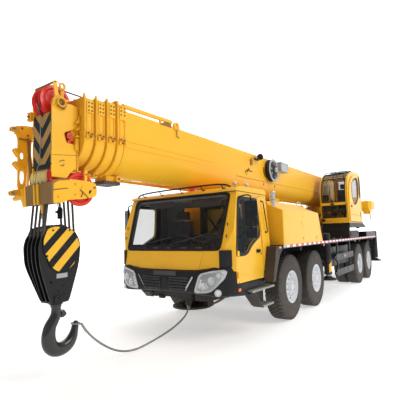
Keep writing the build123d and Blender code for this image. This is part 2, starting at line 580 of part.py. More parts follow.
HEAD_X = 242                           # outer side of the head's plates
with BuildPart() as head:
    # two side plates with the lower frame that reaches back under the boom
    for side in (-1, 1):
        side_plate(side * (HEAD_X - 20), side * HEAD_X,
                   [(-4045, 3180), (-4130, 3240), (-4390, 3225), (-4390, 2440), (-4430, 2330), (-4410, 2062), (-4250, 2062), (-3930, 2110),
                    (-3775, 2150), (-3775, 2340), (-3880, 2385), (-4045, 2420)])
        side_plate(side * (HEAD_X - 20), side * HEAD_X, [(-4230, 3200), (-4390, 3200), (-4370, 3350), (-4310, 3400), (-4250, 3350)])
    # cross plates: nose with its chevrons, floor of the nose, bridge behind the section
    box(-222, 222, -4390, -4370, 2500, 3060)
    box(-222, 222, -4425, -4405, 2080, 2200)
    box(-222, 222, -4135, -4116, 2690, 3100)
    # axles: top sheaves, falls, rear guide sheave, rope pivot
    cyl_x(-230, 230, -4310, 3330, 36)
    cyl_x(-230, 230, -4290, 2330, 34)
    cyl_x(172, 230, -3930, 2265, 34)
    cyl_x(-230, 230, HANG[0], HANG[1], 24)
keep(head, "boom_head")

# x centre, station, height, outer radius, width, axle radius
SHEAVES = ((-95, -4310, 3330, 180, 56, 36), (95, -4310, 3330, 180, 56, 36), (195, -3930, 2265, 200, 44, 34),
           (-176, -4290, 2330, 150, 72, 34), (-88, -4290, 2330, 150, 72, 34), (0, -4290, 2330, 150, 72, 34), (88, -4290, 2330, 150, 72, 34),
           (176, -4290, 2330, 150, 72, 34))
with BuildPart() as sheaves:
    for x, s, z, r, t, a in SHEAVES:
        cyl_x(x - t / 2, x + t / 2, s, z, r)
        cyl_x(x - t / 2 - 1, x + t / 2 + 1, s, z, a + 0.5, Mode.SUBTRACT)
keep(sheaves, "head_sheaves")

with BuildPart() as hanger:
    # socket of the rope's dead end, hung on its own shaft in the lower frame
    for side in (-1,):
        side_plate(side * 182, side * 216, [(-4255, 2130), (-4220, 2158), (-4185, 2130), (-4190, 1960), (-4205, 1900), (-4235, 1900),
                                            (-4250, 1960)])
        cyl_x(side * 175, side * 221, HANG[0], HANG[1], 24.5, Mode.SUBTRACT)
keep(hanger, "rope_socket")

BLOCK_X = 165                          # half width of the hook block
with BuildPart() as hook:
    # cheek plates, wide round the sheaves and tapering down to the hook's trunnion
    cheek = [(-4300, 1795), (-4220, 1830), (-4130, 1795), (-3990, 1700), (-3945, 1580), (-3960, 1400), (-3985, 1280), (-4095, 940),
             (-4120, 920), (-4320, 920), (-4345, 940), (-4455, 1280), (-4480, 1400), (-4495, 1580), (-4450, 1700)]
    for x in (-BLOCK_X, -88, -9, 70, BLOCK_X - 18):
        side_plate(x, x + 18, cheek)
    cyl_x(-BLOCK_X, BLOCK_X, -4220, 1560, 40)
    for x in (-118, -40, 40, 118):
        cyl_x(x - 28, x + 28, -4220, 1560, 235)
    box(-BLOCK_X, BLOCK_X, -4290, -4150, 925, 1010)
    cyl_z(0, -4160, 760, 940, 55)
    # hook: shank, bowl and point
    with BuildSketch(Plane((-48, 0, 0), x_dir=(0, 1, 0), z_dir=(1, 0, 0))):
        with BuildLine():
            Polyline((st(-4210), 820), (st(-4215), 770), (st(-4300), 690), (st(-4345), 590), (st(-4350), 480), (st(-4310), 370),
                     (st(-4240), 300), (st(-4150), 270), (st(-4040), 275), (st(-3950), 320), (st(-3885), 390), (st(-3860), 480),
                     (st(-3862), 590), (st(-3885), 635), (st(-3920), 600), (st(-3945), 520), (st(-4000), 455), (st(-4080), 430),
                     (st(-4150), 440), (st(-4175), 500), (st(-4160), 580), (st(-4100), 690), (st(-4055), 740), (st(-4090), 770),
                     (st(-4105), 820), close=True)
        make_face()
    extrude(amount=96)
keep(hook, "hook_block")

# Lattice jib folded along the boom's right side: x limits, heights, rear and front stations.
JX, JZ, JS = (-930, -590), (2540, 3130), (4500, -3950)
PITCH = 845
with BuildPart() as jib:
    for x in JX:
        for z in JZ:
            bar((x, JS[1], z), (x, JS[0], z), 56)
    n = int((JS[0] - JS[1]) / PITCH)
    for k in range(n + 1):
        s = JS[1] + 28 + k * ((JS[0] - JS[1] - 56) / n)
        for x in JX:
            bar((x, s, JZ[0]), (x, s, JZ[1]), 40)
        for z in JZ:
            bar((JX[0], s, z), (JX[1], s, z), 40)
        if k < n:
            t = s + (JS[0] - JS[1] - 56) / n
            lo, hi = (0, 1) if k % 2 else (1, 0)
            for x in JX:
                bar((x, s, JZ[lo]), (x, t, JZ[hi]), 36)
    # forked front end with its four lugs
    for x in JX:
        side_plate(x - 28, x + 28, [(-3950, 3158), (-4330, 3170), (-4400, 3110), (-4400, 3040), (-4330, 3010), (-4200, 2960), (-4180, 2300),
                                    (-4330, 2270), (-4400, 2220), (-4400, 2150), (-4330, 2110), (-4120, 2150), (-4040, 2400), (-3950, 2512)])
        for z in (3075, 2185):
            cyl_x(x - 30, x + 30, -4362, z, 25, Mode.SUBTRACT)
    bar((JX[0], -4150, 3080), (JX[1], -4150, 3080), 60)
    bar((JX[0], -4150, 2230), (JX[1], -4150, 2230), 60)
    # pads that rest on the boom's brackets
    for s in (-2600, 2600):
        box(JX[1], -560.1, s - 60, s + 60, 2512, 2590)
        box(JX[1], -560.1, s - 60, s + 60, 3050, 3110)
    for s in (-2600, 2600):
        box(JX[1] - 28, JX[1] + 28, s - 60, s + 60, 2540, 3130)
keep(jib, "lattice_jib")
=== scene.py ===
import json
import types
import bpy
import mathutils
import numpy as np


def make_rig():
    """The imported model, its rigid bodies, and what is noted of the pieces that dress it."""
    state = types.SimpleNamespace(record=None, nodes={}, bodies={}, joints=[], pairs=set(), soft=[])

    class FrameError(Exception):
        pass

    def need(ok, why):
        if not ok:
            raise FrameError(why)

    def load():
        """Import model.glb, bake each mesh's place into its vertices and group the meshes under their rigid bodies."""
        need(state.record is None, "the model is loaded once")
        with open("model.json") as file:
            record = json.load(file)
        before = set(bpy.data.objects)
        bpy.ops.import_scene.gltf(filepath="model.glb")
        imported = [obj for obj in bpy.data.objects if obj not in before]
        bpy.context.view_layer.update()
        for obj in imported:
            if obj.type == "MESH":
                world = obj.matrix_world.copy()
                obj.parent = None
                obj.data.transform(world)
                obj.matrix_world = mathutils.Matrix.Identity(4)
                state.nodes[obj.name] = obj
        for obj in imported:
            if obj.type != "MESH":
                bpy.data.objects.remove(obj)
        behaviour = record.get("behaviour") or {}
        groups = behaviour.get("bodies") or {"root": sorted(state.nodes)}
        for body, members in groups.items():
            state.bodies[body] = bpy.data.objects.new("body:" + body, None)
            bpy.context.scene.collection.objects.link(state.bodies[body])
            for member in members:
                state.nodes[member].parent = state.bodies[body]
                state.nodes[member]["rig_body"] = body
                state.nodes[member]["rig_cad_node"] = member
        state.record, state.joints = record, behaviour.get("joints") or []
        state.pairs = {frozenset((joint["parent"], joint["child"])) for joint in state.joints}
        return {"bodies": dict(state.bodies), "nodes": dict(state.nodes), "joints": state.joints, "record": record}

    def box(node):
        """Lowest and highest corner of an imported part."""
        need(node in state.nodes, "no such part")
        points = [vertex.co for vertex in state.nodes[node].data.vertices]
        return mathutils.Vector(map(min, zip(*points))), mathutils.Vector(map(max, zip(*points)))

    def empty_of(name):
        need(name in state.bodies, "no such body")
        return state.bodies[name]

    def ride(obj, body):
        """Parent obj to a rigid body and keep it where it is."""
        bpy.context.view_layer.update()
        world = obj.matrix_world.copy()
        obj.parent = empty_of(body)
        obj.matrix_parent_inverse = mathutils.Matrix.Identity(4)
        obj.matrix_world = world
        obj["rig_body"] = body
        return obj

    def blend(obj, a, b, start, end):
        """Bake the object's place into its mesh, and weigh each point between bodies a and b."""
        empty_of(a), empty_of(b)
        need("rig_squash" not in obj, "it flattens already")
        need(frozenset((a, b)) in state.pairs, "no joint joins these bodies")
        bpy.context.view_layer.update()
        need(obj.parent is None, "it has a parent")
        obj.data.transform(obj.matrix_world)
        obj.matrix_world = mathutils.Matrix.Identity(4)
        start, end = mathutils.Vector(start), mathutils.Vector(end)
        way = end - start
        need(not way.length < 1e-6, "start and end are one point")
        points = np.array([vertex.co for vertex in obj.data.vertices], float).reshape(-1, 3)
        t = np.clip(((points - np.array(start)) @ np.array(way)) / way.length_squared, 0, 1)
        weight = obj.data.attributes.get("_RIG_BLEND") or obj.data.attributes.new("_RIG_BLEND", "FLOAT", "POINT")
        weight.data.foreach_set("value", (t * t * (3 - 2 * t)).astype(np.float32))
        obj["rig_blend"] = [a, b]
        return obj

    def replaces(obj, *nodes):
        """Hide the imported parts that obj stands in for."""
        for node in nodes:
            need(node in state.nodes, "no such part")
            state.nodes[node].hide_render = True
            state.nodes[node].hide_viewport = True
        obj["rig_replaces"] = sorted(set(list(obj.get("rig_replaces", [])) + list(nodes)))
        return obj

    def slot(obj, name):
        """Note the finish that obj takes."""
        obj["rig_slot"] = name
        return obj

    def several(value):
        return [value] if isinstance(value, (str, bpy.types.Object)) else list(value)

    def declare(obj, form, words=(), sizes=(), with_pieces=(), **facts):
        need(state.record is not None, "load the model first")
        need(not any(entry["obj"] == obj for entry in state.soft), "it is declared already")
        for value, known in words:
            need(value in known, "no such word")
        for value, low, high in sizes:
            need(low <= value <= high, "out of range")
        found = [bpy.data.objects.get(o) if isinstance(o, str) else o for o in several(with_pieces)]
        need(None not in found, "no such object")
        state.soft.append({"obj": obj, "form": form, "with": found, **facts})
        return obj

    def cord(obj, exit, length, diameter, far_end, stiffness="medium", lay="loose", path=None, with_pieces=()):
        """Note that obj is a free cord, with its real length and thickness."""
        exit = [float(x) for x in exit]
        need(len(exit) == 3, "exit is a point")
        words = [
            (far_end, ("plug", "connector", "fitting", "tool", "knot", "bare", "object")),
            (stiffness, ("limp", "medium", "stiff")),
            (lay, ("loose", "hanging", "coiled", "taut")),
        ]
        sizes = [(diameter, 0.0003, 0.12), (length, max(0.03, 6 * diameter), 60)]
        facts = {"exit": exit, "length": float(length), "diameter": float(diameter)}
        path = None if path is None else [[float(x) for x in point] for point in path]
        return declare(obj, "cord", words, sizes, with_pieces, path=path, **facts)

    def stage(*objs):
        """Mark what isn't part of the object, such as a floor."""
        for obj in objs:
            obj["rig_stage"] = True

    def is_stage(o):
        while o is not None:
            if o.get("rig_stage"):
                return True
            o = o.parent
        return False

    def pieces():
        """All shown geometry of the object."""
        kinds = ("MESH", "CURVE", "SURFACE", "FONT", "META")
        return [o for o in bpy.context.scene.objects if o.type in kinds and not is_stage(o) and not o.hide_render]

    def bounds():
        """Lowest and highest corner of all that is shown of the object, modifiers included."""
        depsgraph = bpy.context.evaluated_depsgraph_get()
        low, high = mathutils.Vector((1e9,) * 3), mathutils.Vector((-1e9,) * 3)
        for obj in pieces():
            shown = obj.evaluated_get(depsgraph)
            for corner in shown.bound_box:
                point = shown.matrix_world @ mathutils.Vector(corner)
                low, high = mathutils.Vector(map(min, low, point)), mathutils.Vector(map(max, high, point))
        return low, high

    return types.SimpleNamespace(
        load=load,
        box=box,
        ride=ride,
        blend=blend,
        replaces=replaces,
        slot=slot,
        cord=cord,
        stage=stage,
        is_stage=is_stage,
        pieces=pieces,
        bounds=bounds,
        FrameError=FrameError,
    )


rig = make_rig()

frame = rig.load()
CAD_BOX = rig.bounds()

import json
import math
import random

import bmesh
import bpy
from mathutils import Matrix, Vector

random.seed(7)
_lo, _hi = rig.box("wheel_1_left")
Y0 = (_lo.y + _hi.y) / 2          # station 0: the first axle
AXLES = []
for _n in ("wheel_1_left", "wheel_2_left", "wheel_3_left", "wheel_4_left"):
    _a, _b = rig.box(_n)
    AXLES.append((_a.y + _b.y) / 2 - Y0)
TYRE_R = (_hi.z - _lo.z) / 2


def P(x, s, z):
    """A point given by its side position, its station behind axle 1 and its height, in metres."""
    return Vector((x, Y0 + s, z))


# ---- camera: 5.3 degrees up, from the front left --------------------------------------
F_PX, YAW, PITCH, ROLL = 365.31, math.radians(35.103), math.radians(5.331), math.radians(-1.613)
fw = Vector((-math.sin(YAW) * math.cos(PITCH), math.cos(YAW) * math.cos(PITCH), math.sin(PITCH)))
rt0 = Vector((math.cos(YAW), math.sin(YAW), 0))
up0 = rt0.cross(fw)
rt = rt0 * math.cos(ROLL) + up0 * math.sin(ROLL)
up = up0 * math.cos(ROLL) - rt0 * math.sin(ROLL)
cam_data = bpy.data.cameras.new("camera")
cam = bpy.data.objects.new("camera", cam_data)
bpy.context.scene.collection.objects.link(cam)
cam_data.sensor_width = 36.0
cam_data.lens = F_PX * 36.0 / 400.0
cam_data.clip_start, cam_data.clip_end = 0.05, 200
m = Matrix((rt, up, -fw)).transposed().to_4x4()
m.translation = P(3.987, -6.796, 1.659)
cam.matrix_world = m
bpy.context.scene.camera = cam

# ---- materials --------------------------------------------------------------------------
MATS = {}


def mat(name, color, rough=0.5, metal=0.0, vary=0.06, vary_scale=1.3, tint=None, tint_amount=0.0, tint_scale=3.0,
        bump=0.0, bump_scale=250.0, rough_vary=0.1, coat=0.0, spec=0.5, alpha=1.0, emit=0.0, sheen=0.0, dust=None,
        dust_top=1.0, stretch=(1, 1, 1)):
    """Painted or moulded surface: slow colour drift, a second tone in patches, grain in the bump and uneven gloss."""
    if name in MATS:
        return MATS[name]
    ma = bpy.data.materials.new(name)
    ma.use_nodes = True
    nt = ma.node_tree
    N, L = nt.nodes, nt.links
    bs = N["Principled BSDF"]
    bs.inputs["Metallic"].default_value = metal
    bs.inputs["Specular IOR Level"].default_value = spec
    bs.inputs["Coat Weight"].default_value = coat
    bs.inputs["Coat Roughness"].default_value = 0.08
    bs.inputs["Alpha"].default_value = alpha
    bs.inputs["Sheen Weight"].default_value = sheen
    if emit:
        bs.inputs["Emission Color"].default_value = (*color, 1)
        bs.inputs["Emission Strength"].default_value = emit
    tc = N.new("ShaderNodeTexCoord")
    mp = N.new("ShaderNodeMapping")
    mp.inputs["Scale"].default_value = stretch
    L.new(tc.outputs["Object"], mp.inputs["Vector"])

    def noise(scale, detail=4.0, rough_=0.55, offset=0.0):
        n = N.new("ShaderNodeTexNoise")
        n.inputs["Scale"].default_value = scale
        n.inputs["Detail"].default_value = detail
        n.inputs["Roughness"].default_value = rough_
        if offset:
            m2 = N.new("ShaderNodeMapping")
            m2.inputs["Location"].default_value = (offset, offset * 0.7, -offset)
            L.new(mp.outputs["Vector"], m2.inputs["Vector"])
            L.new(m2.outputs["Vector"], n.inputs["Vector"])
        else:
            L.new(mp.outputs["Vector"], n.inputs["Vector"])
        return n

    def mix(fac, a, b):
        mx = N.new("ShaderNodeMix")
        mx.data_type = "RGBA"
        if fac is not None:
            L.new(fac, mx.inputs["Factor"])
        for i, v in ((6, a), (7, b)):
            if isinstance(v, tuple):
                mx.inputs[i].default_value = (*v, 1)
            else:
                L.new(v, mx.inputs[i])
        return mx.outputs[2]

    def ramp(v, lo, hi, a=0.0, b=1.0):
        r = N.new("ShaderNodeMapRange")
        r.inputs["From Min"].default_value = lo
        r.inputs["From Max"].default_value = hi
        r.inputs["To Min"].default_value = a
        r.inputs["To Max"].default_value = b
        L.new(v, r.inputs["Value"])
        return r.outputs["Result"]

    big = noise(vary_scale, 3.0)
    dark = tuple(c * (1 - vary) for c in color)
    light = tuple(min(1.0, c * (1 + vary)) for c in color)
    col = mix(ramp(big.outputs["Fac"], 0.3, 0.7), dark, light)
    if tint is not None:
        patches = noise(tint_scale, 6.0, 0.65, 3.1)
        col = mix(ramp(patches.outputs["Fac"], 0.52, 0.72, 0.0, tint_amount), col, tint)
    if dust is not None:
        sep = N.new("ShaderNodeSeparateXYZ")
        L.new(tc.outputs["Object"], sep.inputs["Vector"])
        film = noise(9.0, 5.0, 0.6, 1.7)
        low = ramp(sep.outputs["Z"], dust_top, 0.1, 0.0, 0.55)
        mul = N.new("ShaderNodeMath")
        mul.operation = "MULTIPLY"
        L.new(low, mul.inputs[0])
        L.new(ramp(film.outputs["Fac"], 0.3, 0.75, 0.25, 1.0), mul.inputs[1])
        col = mix(mul.outputs[0], col, dust)
    L.new(col, bs.inputs["Base Color"])
    gloss = noise(6.0, 5.0, 0.6, 5.3)
    L.new(ramp(gloss.outputs["Fac"], 0.3, 0.7, max(0.02, rough - rough_vary), min(1.0, rough + rough_vary)), bs.inputs["Roughness"])
    if bump:
        fine = noise(bump_scale, 3.0, 0.5, 2.2)
        b = N.new("ShaderNodeBump")
        b.inputs["Strength"].default_value = bump
        b.inputs["Distance"].default_value = 0.002
        L.new(fine.outputs["Fac"], b.inputs["Height"])
        L.new(b.outputs["Normal"], bs.inputs["Normal"])
    if alpha < 1:
        ma.blend_method = "BLEND"
    ma.diffuse_color = (*color, 1)
    MATS[name] = ma
    return ma


YEL = mat("yellow_paint", (0.93, 0.505, 0.028), rough=0.34, vary=0.035, tint=(0.80, 0.40, 0.02), tint_amount=0.35, tint_scale=1.6, bump=0.05,
          bump_scale=120, coat=0.06, rough_vary=0.06, spec=0.3)
YELB = mat("boom_yellow", (0.93, 0.495, 0.028), rough=0.38, vary=0.03, tint=(0.78, 0.38, 0.02), tint_amount=0.3, tint_scale=0.9, bump=0.06,
           bump_scale=90, coat=0.03, rough_vary=0.07, stretch=(1, 0.35, 1), spec=0.28)
# shaded_yellow: a darker copy of the yellow, painted shade for faces turned from the light, for recesses and for the
# unlit far side; its brown patches vary the tone at random
YEL_SHADED = mat("shaded_yellow", (0.84, 0.42, 0.022), rough=0.42, vary=0.06, tint=(0.5, 0.22, 0.02), tint_amount=0.5, tint_scale=7, bump=0.12,
           bump_scale=140, coat=0.02, spec=0.25)
# shaded_ochre: the yellow as it looks in deep shade, painted shade for front faces, hollows, rib lines and small dark
# fittings; its patches vary the tone at random
OCHRE_SHADED = mat("shaded_ochre", (0.25, 0.125, 0.022), rough=0.55, vary=0.12, tint=(0.2, 0.1, 0.03), tint_amount=0.6, tint_scale=6, bump=0.15)
BLK = mat("black_paint", (0.018, 0.018, 0.02), rough=0.45, vary=0.2, tint=(0.05, 0.042, 0.035), tint_amount=0.5, tint_scale=4, bump=0.08,
          bump_scale=160, dust=(0.16, 0.13, 0.10), dust_top=1.1, spec=0.2)
BLKP = mat("bumper_plastic", (0.008, 0.008, 0.009), rough=0.5, vary=0.15, tint=(0.02, 0.019, 0.018), tint_amount=0.3, tint_scale=5, bump=0.25,
           bump_scale=420, dust=(0.05, 0.042, 0.036), dust_top=0.75, spec=0.3)
MUDB = mat("mudguard_brown", (0.035, 0.024, 0.019), rough=0.62, vary=0.18, tint=(0.08, 0.06, 0.045), tint_amount=0.5, tint_scale=6, bump=0.3,
           bump_scale=300, dust=(0.2, 0.16, 0.12), dust_top=1.3)
HOOKB = mat("hook_black", (0.006, 0.006, 0.0065), rough=0.42, vary=0.2, tint=(0.022, 0.02, 0.018), tint_amount=0.4, spec=0.35, tint_scale=12, bump=0.2,
            bump_scale=80)
FORGED = mat("forged_black", (0.006, 0.0065, 0.0065), rough=0.24, vary=0.2, tint=(0.02, 0.019, 0.018), tint_amount=0.4, tint_scale=9, bump=0.35,
             bump_scale=60, coat=0.45)
TYRE = mat("tyre_rubber", (0.036, 0.030, 0.026), rough=0.78, vary=0.14, tint=(0.085, 0.07, 0.055), tint_amount=0.6, tint_scale=14, bump=0.4,
           bump_scale=220, dust=(0.13, 0.105, 0.085), dust_top=1.3)
RIM = mat("rim_silver", (0.70, 0.72, 0.75), rough=0.4, vary=0.05, tint=(0.5, 0.48, 0.45), tint_amount=0.5, tint_scale=9, bump=0.1, bump_scale=200)
NUT = mat("wheel_nut", (0.66, 0.66, 0.67), rough=0.42, metal=0.2, vary=0.1, tint=(0.4, 0.36, 0.32), tint_amount=0.3, tint_scale=30, bump=0.1)
CHROME = mat("bright_chrome", (0.78, 0.79, 0.8), rough=0.16, metal=1.0, vary=0.04, bump=0.02, rough_vary=0.06)
SILVER = mat("silver_bezel", (0.52, 0.53, 0.55), rough=0.32, metal=0.55, vary=0.05, bump=0.05, rough_vary=0.08)
ALU = mat("tread_aluminium", (0.30, 0.31, 0.27), rough=0.45, metal=0.35, vary=0.12, tint=(0.14, 0.12, 0.09), tint_amount=0.55, tint_scale=8,
          bump=0.2, bump_scale=180)
STEEL = mat("bare_steel", (0.33, 0.32, 0.31), rough=0.4, metal=0.8, vary=0.12, tint=(0.2, 0.13, 0.08), tint_amount=0.4, tint_scale=10, bump=0.12)
ROD = mat("chromed_rod", (0.75, 0.76, 0.78), rough=0.12, metal=1.0, vary=0.03, bump=0.03, bump_scale=400, rough_vary=0.04)
RED = mat("sheave_red", (0.82, 0.035, 0.022), rough=0.36, vary=0.06, tint=(0.5, 0.02, 0.02), tint_amount=0.5, tint_scale=8, bump=0.06, coat=0.15)
NYLON = mat("sheave_nylon", (0.95, 0.80, 0.36), rough=0.45, vary=0.07, tint=(0.45, 0.3, 0.1), tint_amount=0.5, tint_scale=14, bump=0.12)
ROPE = mat("wire_rope", (0.085, 0.065, 0.055), rough=0.5, metal=0.5, vary=0.25, tint=(0.02, 0.018, 0.016), tint_amount=0.7, tint_scale=30, bump=0.5,
           bump_scale=500)
SLING = mat("sling_grey", (0.27, 0.275, 0.26), rough=0.7, metal=0.2, vary=0.2, tint=(0.12, 0.11, 0.10), tint_amount=0.6, tint_scale=30, bump=0.6,
            bump_scale=600)
ORANGE = mat("amber_lens", (0.85, 0.16, 0.02), rough=0.2, vary=0.05, coat=0.6, bump=0.15, bump_scale=350, emit=0.05)
REDL = mat("red_lens", (0.55, 0.015, 0.012), rough=0.2, vary=0.08, coat=0.6, bump=0.15, bump_scale=350)
WHITER = mat("white_reflector", (0.80, 0.80, 0.80), rough=0.35, vary=0.03, coat=0.2, bump=0.3, bump_scale=700, tint=(0.6, 0.57, 0.52),
             tint_amount=0.4, tint_scale=10)
REDR = mat("red_reflector", (0.66, 0.03, 0.035), rough=0.35, vary=0.06, coat=0.2, bump=0.3, bump_scale=700)
GLASS = mat("tinted_glass", (0.018, 0.026, 0.025), rough=0.04, vary=0.1, alpha=0.25, coat=0.0, spec=0.6, rough_vary=0.015)
SCREENG = mat("windscreen_glass", (0.03, 0.036, 0.036), rough=0.04, vary=0.1, alpha=0.10, spec=0.55, rough_vary=0.015)
LENS = mat("lamp_lens", (0.75, 0.78, 0.8), rough=0.05, vary=0.02, alpha=0.28, coat=0.5, rough_vary=0.02)
FABRIC = mat("seat_fabric", (0.035, 0.042, 0.06), rough=0.9, vary=0.2, sheen=0.3, bump=0.6, bump_scale=700, tint=(0.08, 0.08, 0.09),
             tint_amount=0.4, tint_scale=12)
TRIM = mat("cab_trim", (0.05, 0.05, 0.052), rough=0.7, vary=0.12, bump=0.35, bump_scale=500, tint=(0.09, 0.085, 0.08), tint_amount=0.3)
LINING = mat("cab_lining", (0.16, 0.16, 0.155), rough=0.8, vary=0.08, bump=0.3, bump_scale=300, tint=(0.1, 0.09, 0.08), tint_amount=0.4)
EXH = mat("exhaust_silver", (0.66, 0.67, 0.68), rough=0.3, metal=0.75, vary=0.06, tint=(0.4, 0.34, 0.28), tint_amount=0.5, tint_scale=9, bump=0.06)
CAST = mat("cast_grey", (0.12, 0.125, 0.13), rough=0.55, vary=0.15, tint=(0.06, 0.05, 0.04), tint_amount=0.6, tint_scale=7, bump=0.4, bump_scale=120)
DECKM = mat("deck_plate", (0.05, 0.05, 0.052), rough=0.5, vary=0.2, tint=(0.12, 0.10, 0.08), tint_amount=0.6, tint_scale=5, bump=0.3, bump_scale=90, spec=0.1)
GREYBOX = mat("grey_box", (0.42, 0.43, 0.44), rough=0.4, vary=0.07, tint=(0.25, 0.24, 0.22), tint_amount=0.4, tint_scale=12, bump=0.1)
TAN = mat("chevron_tan", (0.40, 0.21, 0.045), rough=0.5, vary=0.1, tint=(0.3, 0.16, 0.04), tint_amount=0.5, tint_scale=9, bump=0.15)
CHEVB = mat("chevron_black", (0.010, 0.012, 0.016), rough=0.4, vary=0.2, tint=(0.06, 0.05, 0.04), tint_amount=0.5, tint_scale=9, bump=0.15, spec=0.2)
PADM = mat("wear_pad", (0.06, 0.05, 0.04), rough=0.6, vary=0.2, bump=0.2)


# ---- mesh building ------------------------------------------------------------------------
class G:
    """Collects closed shells into one piece. Outlines are (station, z), (x, z) or (x, station), in metres."""

    def __init__(self, name, body, mats, bevel=0.004, seg=2, slot=None):
        self.name, self.body, self.mats = name, body, mats if isinstance(mats, (list, tuple)) else [mats]
        self.bevel, self.seg, self.slot = bevel, seg, slot
        self.bm = bmesh.new()

    def _m(self, faces, m):
        i = m if isinstance(m, int) else self.mats.index(m)
        for f in faces:
            f.material_index = i

    def solid(self, pts, vec, m=0):
        """A prism: the outline pts (3D) swept by vec."""
        bm = self.bm
        a = [bm.verts.new(p) for p in pts]
        b = [bm.verts.new(p + vec) for p in pts]
        fs = [bm.faces.new(a), bm.faces.new(list(reversed(b)))]
        n = len(a)
        for i in range(n):
            fs.append(bm.faces.new((a[i], b[i], b[(i + 1) % n], a[(i + 1) % n])))
        bmesh.ops.recalc_face_normals(bm, faces=fs)
        self._m(fs, m)
        return fs

    def px(self, x0, x1, pts, m=0):
        return self.solid([P(x0, s, z) for s, z in pts], Vector((x1 - x0, 0, 0)), m)

    def py(self, s0, s1, pts, m=0):
        return self.solid([P(x, s0, z) for x, z in pts], Vector((0, s1 - s0, 0)), m)

    def pz(self, z0, z1, pts, m=0):
        return self.solid([P(x, s, z0) for x, s in pts], Vector((0, 0, z1 - z0)), m)

    def box(self, x0, x1, s0, s1, z0, z1, m=0):
        return self.px(x0, x1, [(s0, z0), (s1, z0), (s1, z1), (s0, z1)], m)

    def slab(self, c, u, v, w, m=0):
        """A box about c with half edges u, v, w (vectors)."""
        pts = [c - u - v - w, c + u - v - w, c + u + v - w, c - u + v - w]
        return self.solid(pts, w * 2, m)

    def cyl(self, p, q, r, m=0, n=20, r2=None):
        bm = self.bm
        d = q - p
        z = d.normalized()
        x = z.orthogonal().normalized()
        y = z.cross(x)
        r2 = r if r2 is None else r2
        a = [bm.verts.new(p + (x * math.cos(t) + y * math.sin(t)) * r) for t in [2 * math.pi * i / n for i in range(n)]]
        b = [bm.verts.new(q + (x * math.cos(t) + y * math.sin(t)) * r2) for t in [2 * math.pi * i / n for i in range(n)]]
        fs = [bm.faces.new(list(reversed(a))), bm.faces.new(b)]
        for i in range(n):
            fs.append(bm.faces.new((a[i], a[(i + 1) % n], b[(i + 1) % n], b[i])))
        self._m(fs, m)
        return fs

    def lathe(self, c, axis, prof, m=0, n=48, closed=True, mats=None):
        """Revolves (t along axis, r) points about the axis through c. A closed profile makes a ring, else its ends lie on the axis."""
        bm = self.bm
        z = axis.normalized()
        x = z.orthogonal().normalized()
        y = z.cross(x)
        rings = []
        for t, r in prof:
            if r < 1e-6:
                rings.append([bm.verts.new(c + z * t)])
            else:
                rings.append([bm.verts.new(c + z * t + (x * math.cos(k) + y * math.sin(k)) * r) for k in [2 * math.pi * i / n for i in range(n)]])
        fs = []
        pairs = list(zip(rings, rings[1:] + rings[:1])) if closed else list(zip(rings, rings[1:]))
        for j, (a, b) in enumerate(pairs):
            new = []
            for i in range(n):
                k = (i + 1) % n
                if len(a) == 1 and len(b) == 1:
                    continue
                if len(a) == 1:
                    new.append(bm.faces.new((a[0], b[i], b[k])))
                elif len(b) == 1:
                    new.append(bm.faces.new((a[i], a[k], b[0])))
                else:
                    new.append(bm.faces.new((a[i], a[k], b[k], b[i])))
            self._m(new, mats[j] if mats else m)
            fs += new
        bmesh.ops.recalc_face_normals(bm, faces=fs)
        return fs

    def tube(self, pts, r, m=0, n=10, smooth=3, radii=None):
        """A round bar along pts; smooth rounds of corner cutting bend it."""
        pts = [Vector(p) for p in pts]
        for _ in range(smooth):
            out = [pts[0]]
            for a, b in zip(pts, pts[1:]):
                out += [a * 0.75 + b * 0.25, a * 0.25 + b * 0.75]
            out.append(pts[-1])
            pts = out
        bm = self.bm
        up_ = None
        rings = []
        for i, p in enumerate(pts):
            t = (pts[min(i + 1, len(pts) - 1)] - pts[max(i - 1, 0)]).normalized()
            if up_ is None:
                up_ = t.orthogonal().normalized()
            up_ = (up_ - t * up_.dot(t)).normalized()
            side = t.cross(up_)
            rr = r if radii is None else radii(i / (len(pts) - 1))
            rings.append([bm.verts.new(p + (up_ * math.cos(k) + side * math.sin(k)) * rr) for k in [2 * math.pi * j / n for j in range(n)]])
        fs = [bm.faces.new(list(reversed(rings[0]))), bm.faces.new(rings[-1])]
        for a, b in zip(rings, rings[1:]):
            for j in range(n):
                fs.append(bm.faces.new((a[j], a[(j + 1) % n], b[(j + 1) % n], b[j])))
        bmesh.ops.recalc_face_normals(bm, faces=fs)
        self._m(fs, m)
        return fs

    def bolt(self, c, axis, r=0.014, h=0.012, m=0, washer=True):
        a = axis.normalized()
        if washer:
            self.cyl(c, c + a * h * 0.3, r * 1.45, m, 14)
        self.cyl(c + a * h * 0.3, c + a * h, r, m, 6)

    def ball(self, c, r, m=0, scale=(1, 1, 1), u=16, v=10):
        got = bmesh.ops.create_uvsphere(self.bm, u_segments=u, v_segments=v, radius=r,
                                        matrix=Matrix.Translation(c) @ Matrix.Diagonal((*scale, 1)))
        fs = {f for w in got["verts"] for f in w.link_faces}
        self._m(fs, m)
        return fs

    def done(self, replaces=(), slot=None):
        me = bpy.data.meshes.new(self.name)
        for f in self.bm.faces:
            f.smooth = True
        for e in self.bm.edges:
            if len(e.link_faces) == 2 and e.calc_face_angle(0) > math.radians(38):
                e.smooth = False
        self.bm.to_mesh(me)
        self.bm.free()
        for ma in self.mats:
            me.materials.append(ma)
        o = bpy.data.objects.new(self.name, me)
        bpy.context.scene.collection.objects.link(o)
        if self.bevel:
            finish_edges(o, self.bevel, self.seg)
        if self.body:
            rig.ride(o, self.body)
        if replaces:
            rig.replaces(o, *([replaces] if isinstance(replaces, str) else replaces))
        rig.slot(o, slot or self.slot or "black_paint")
        return o


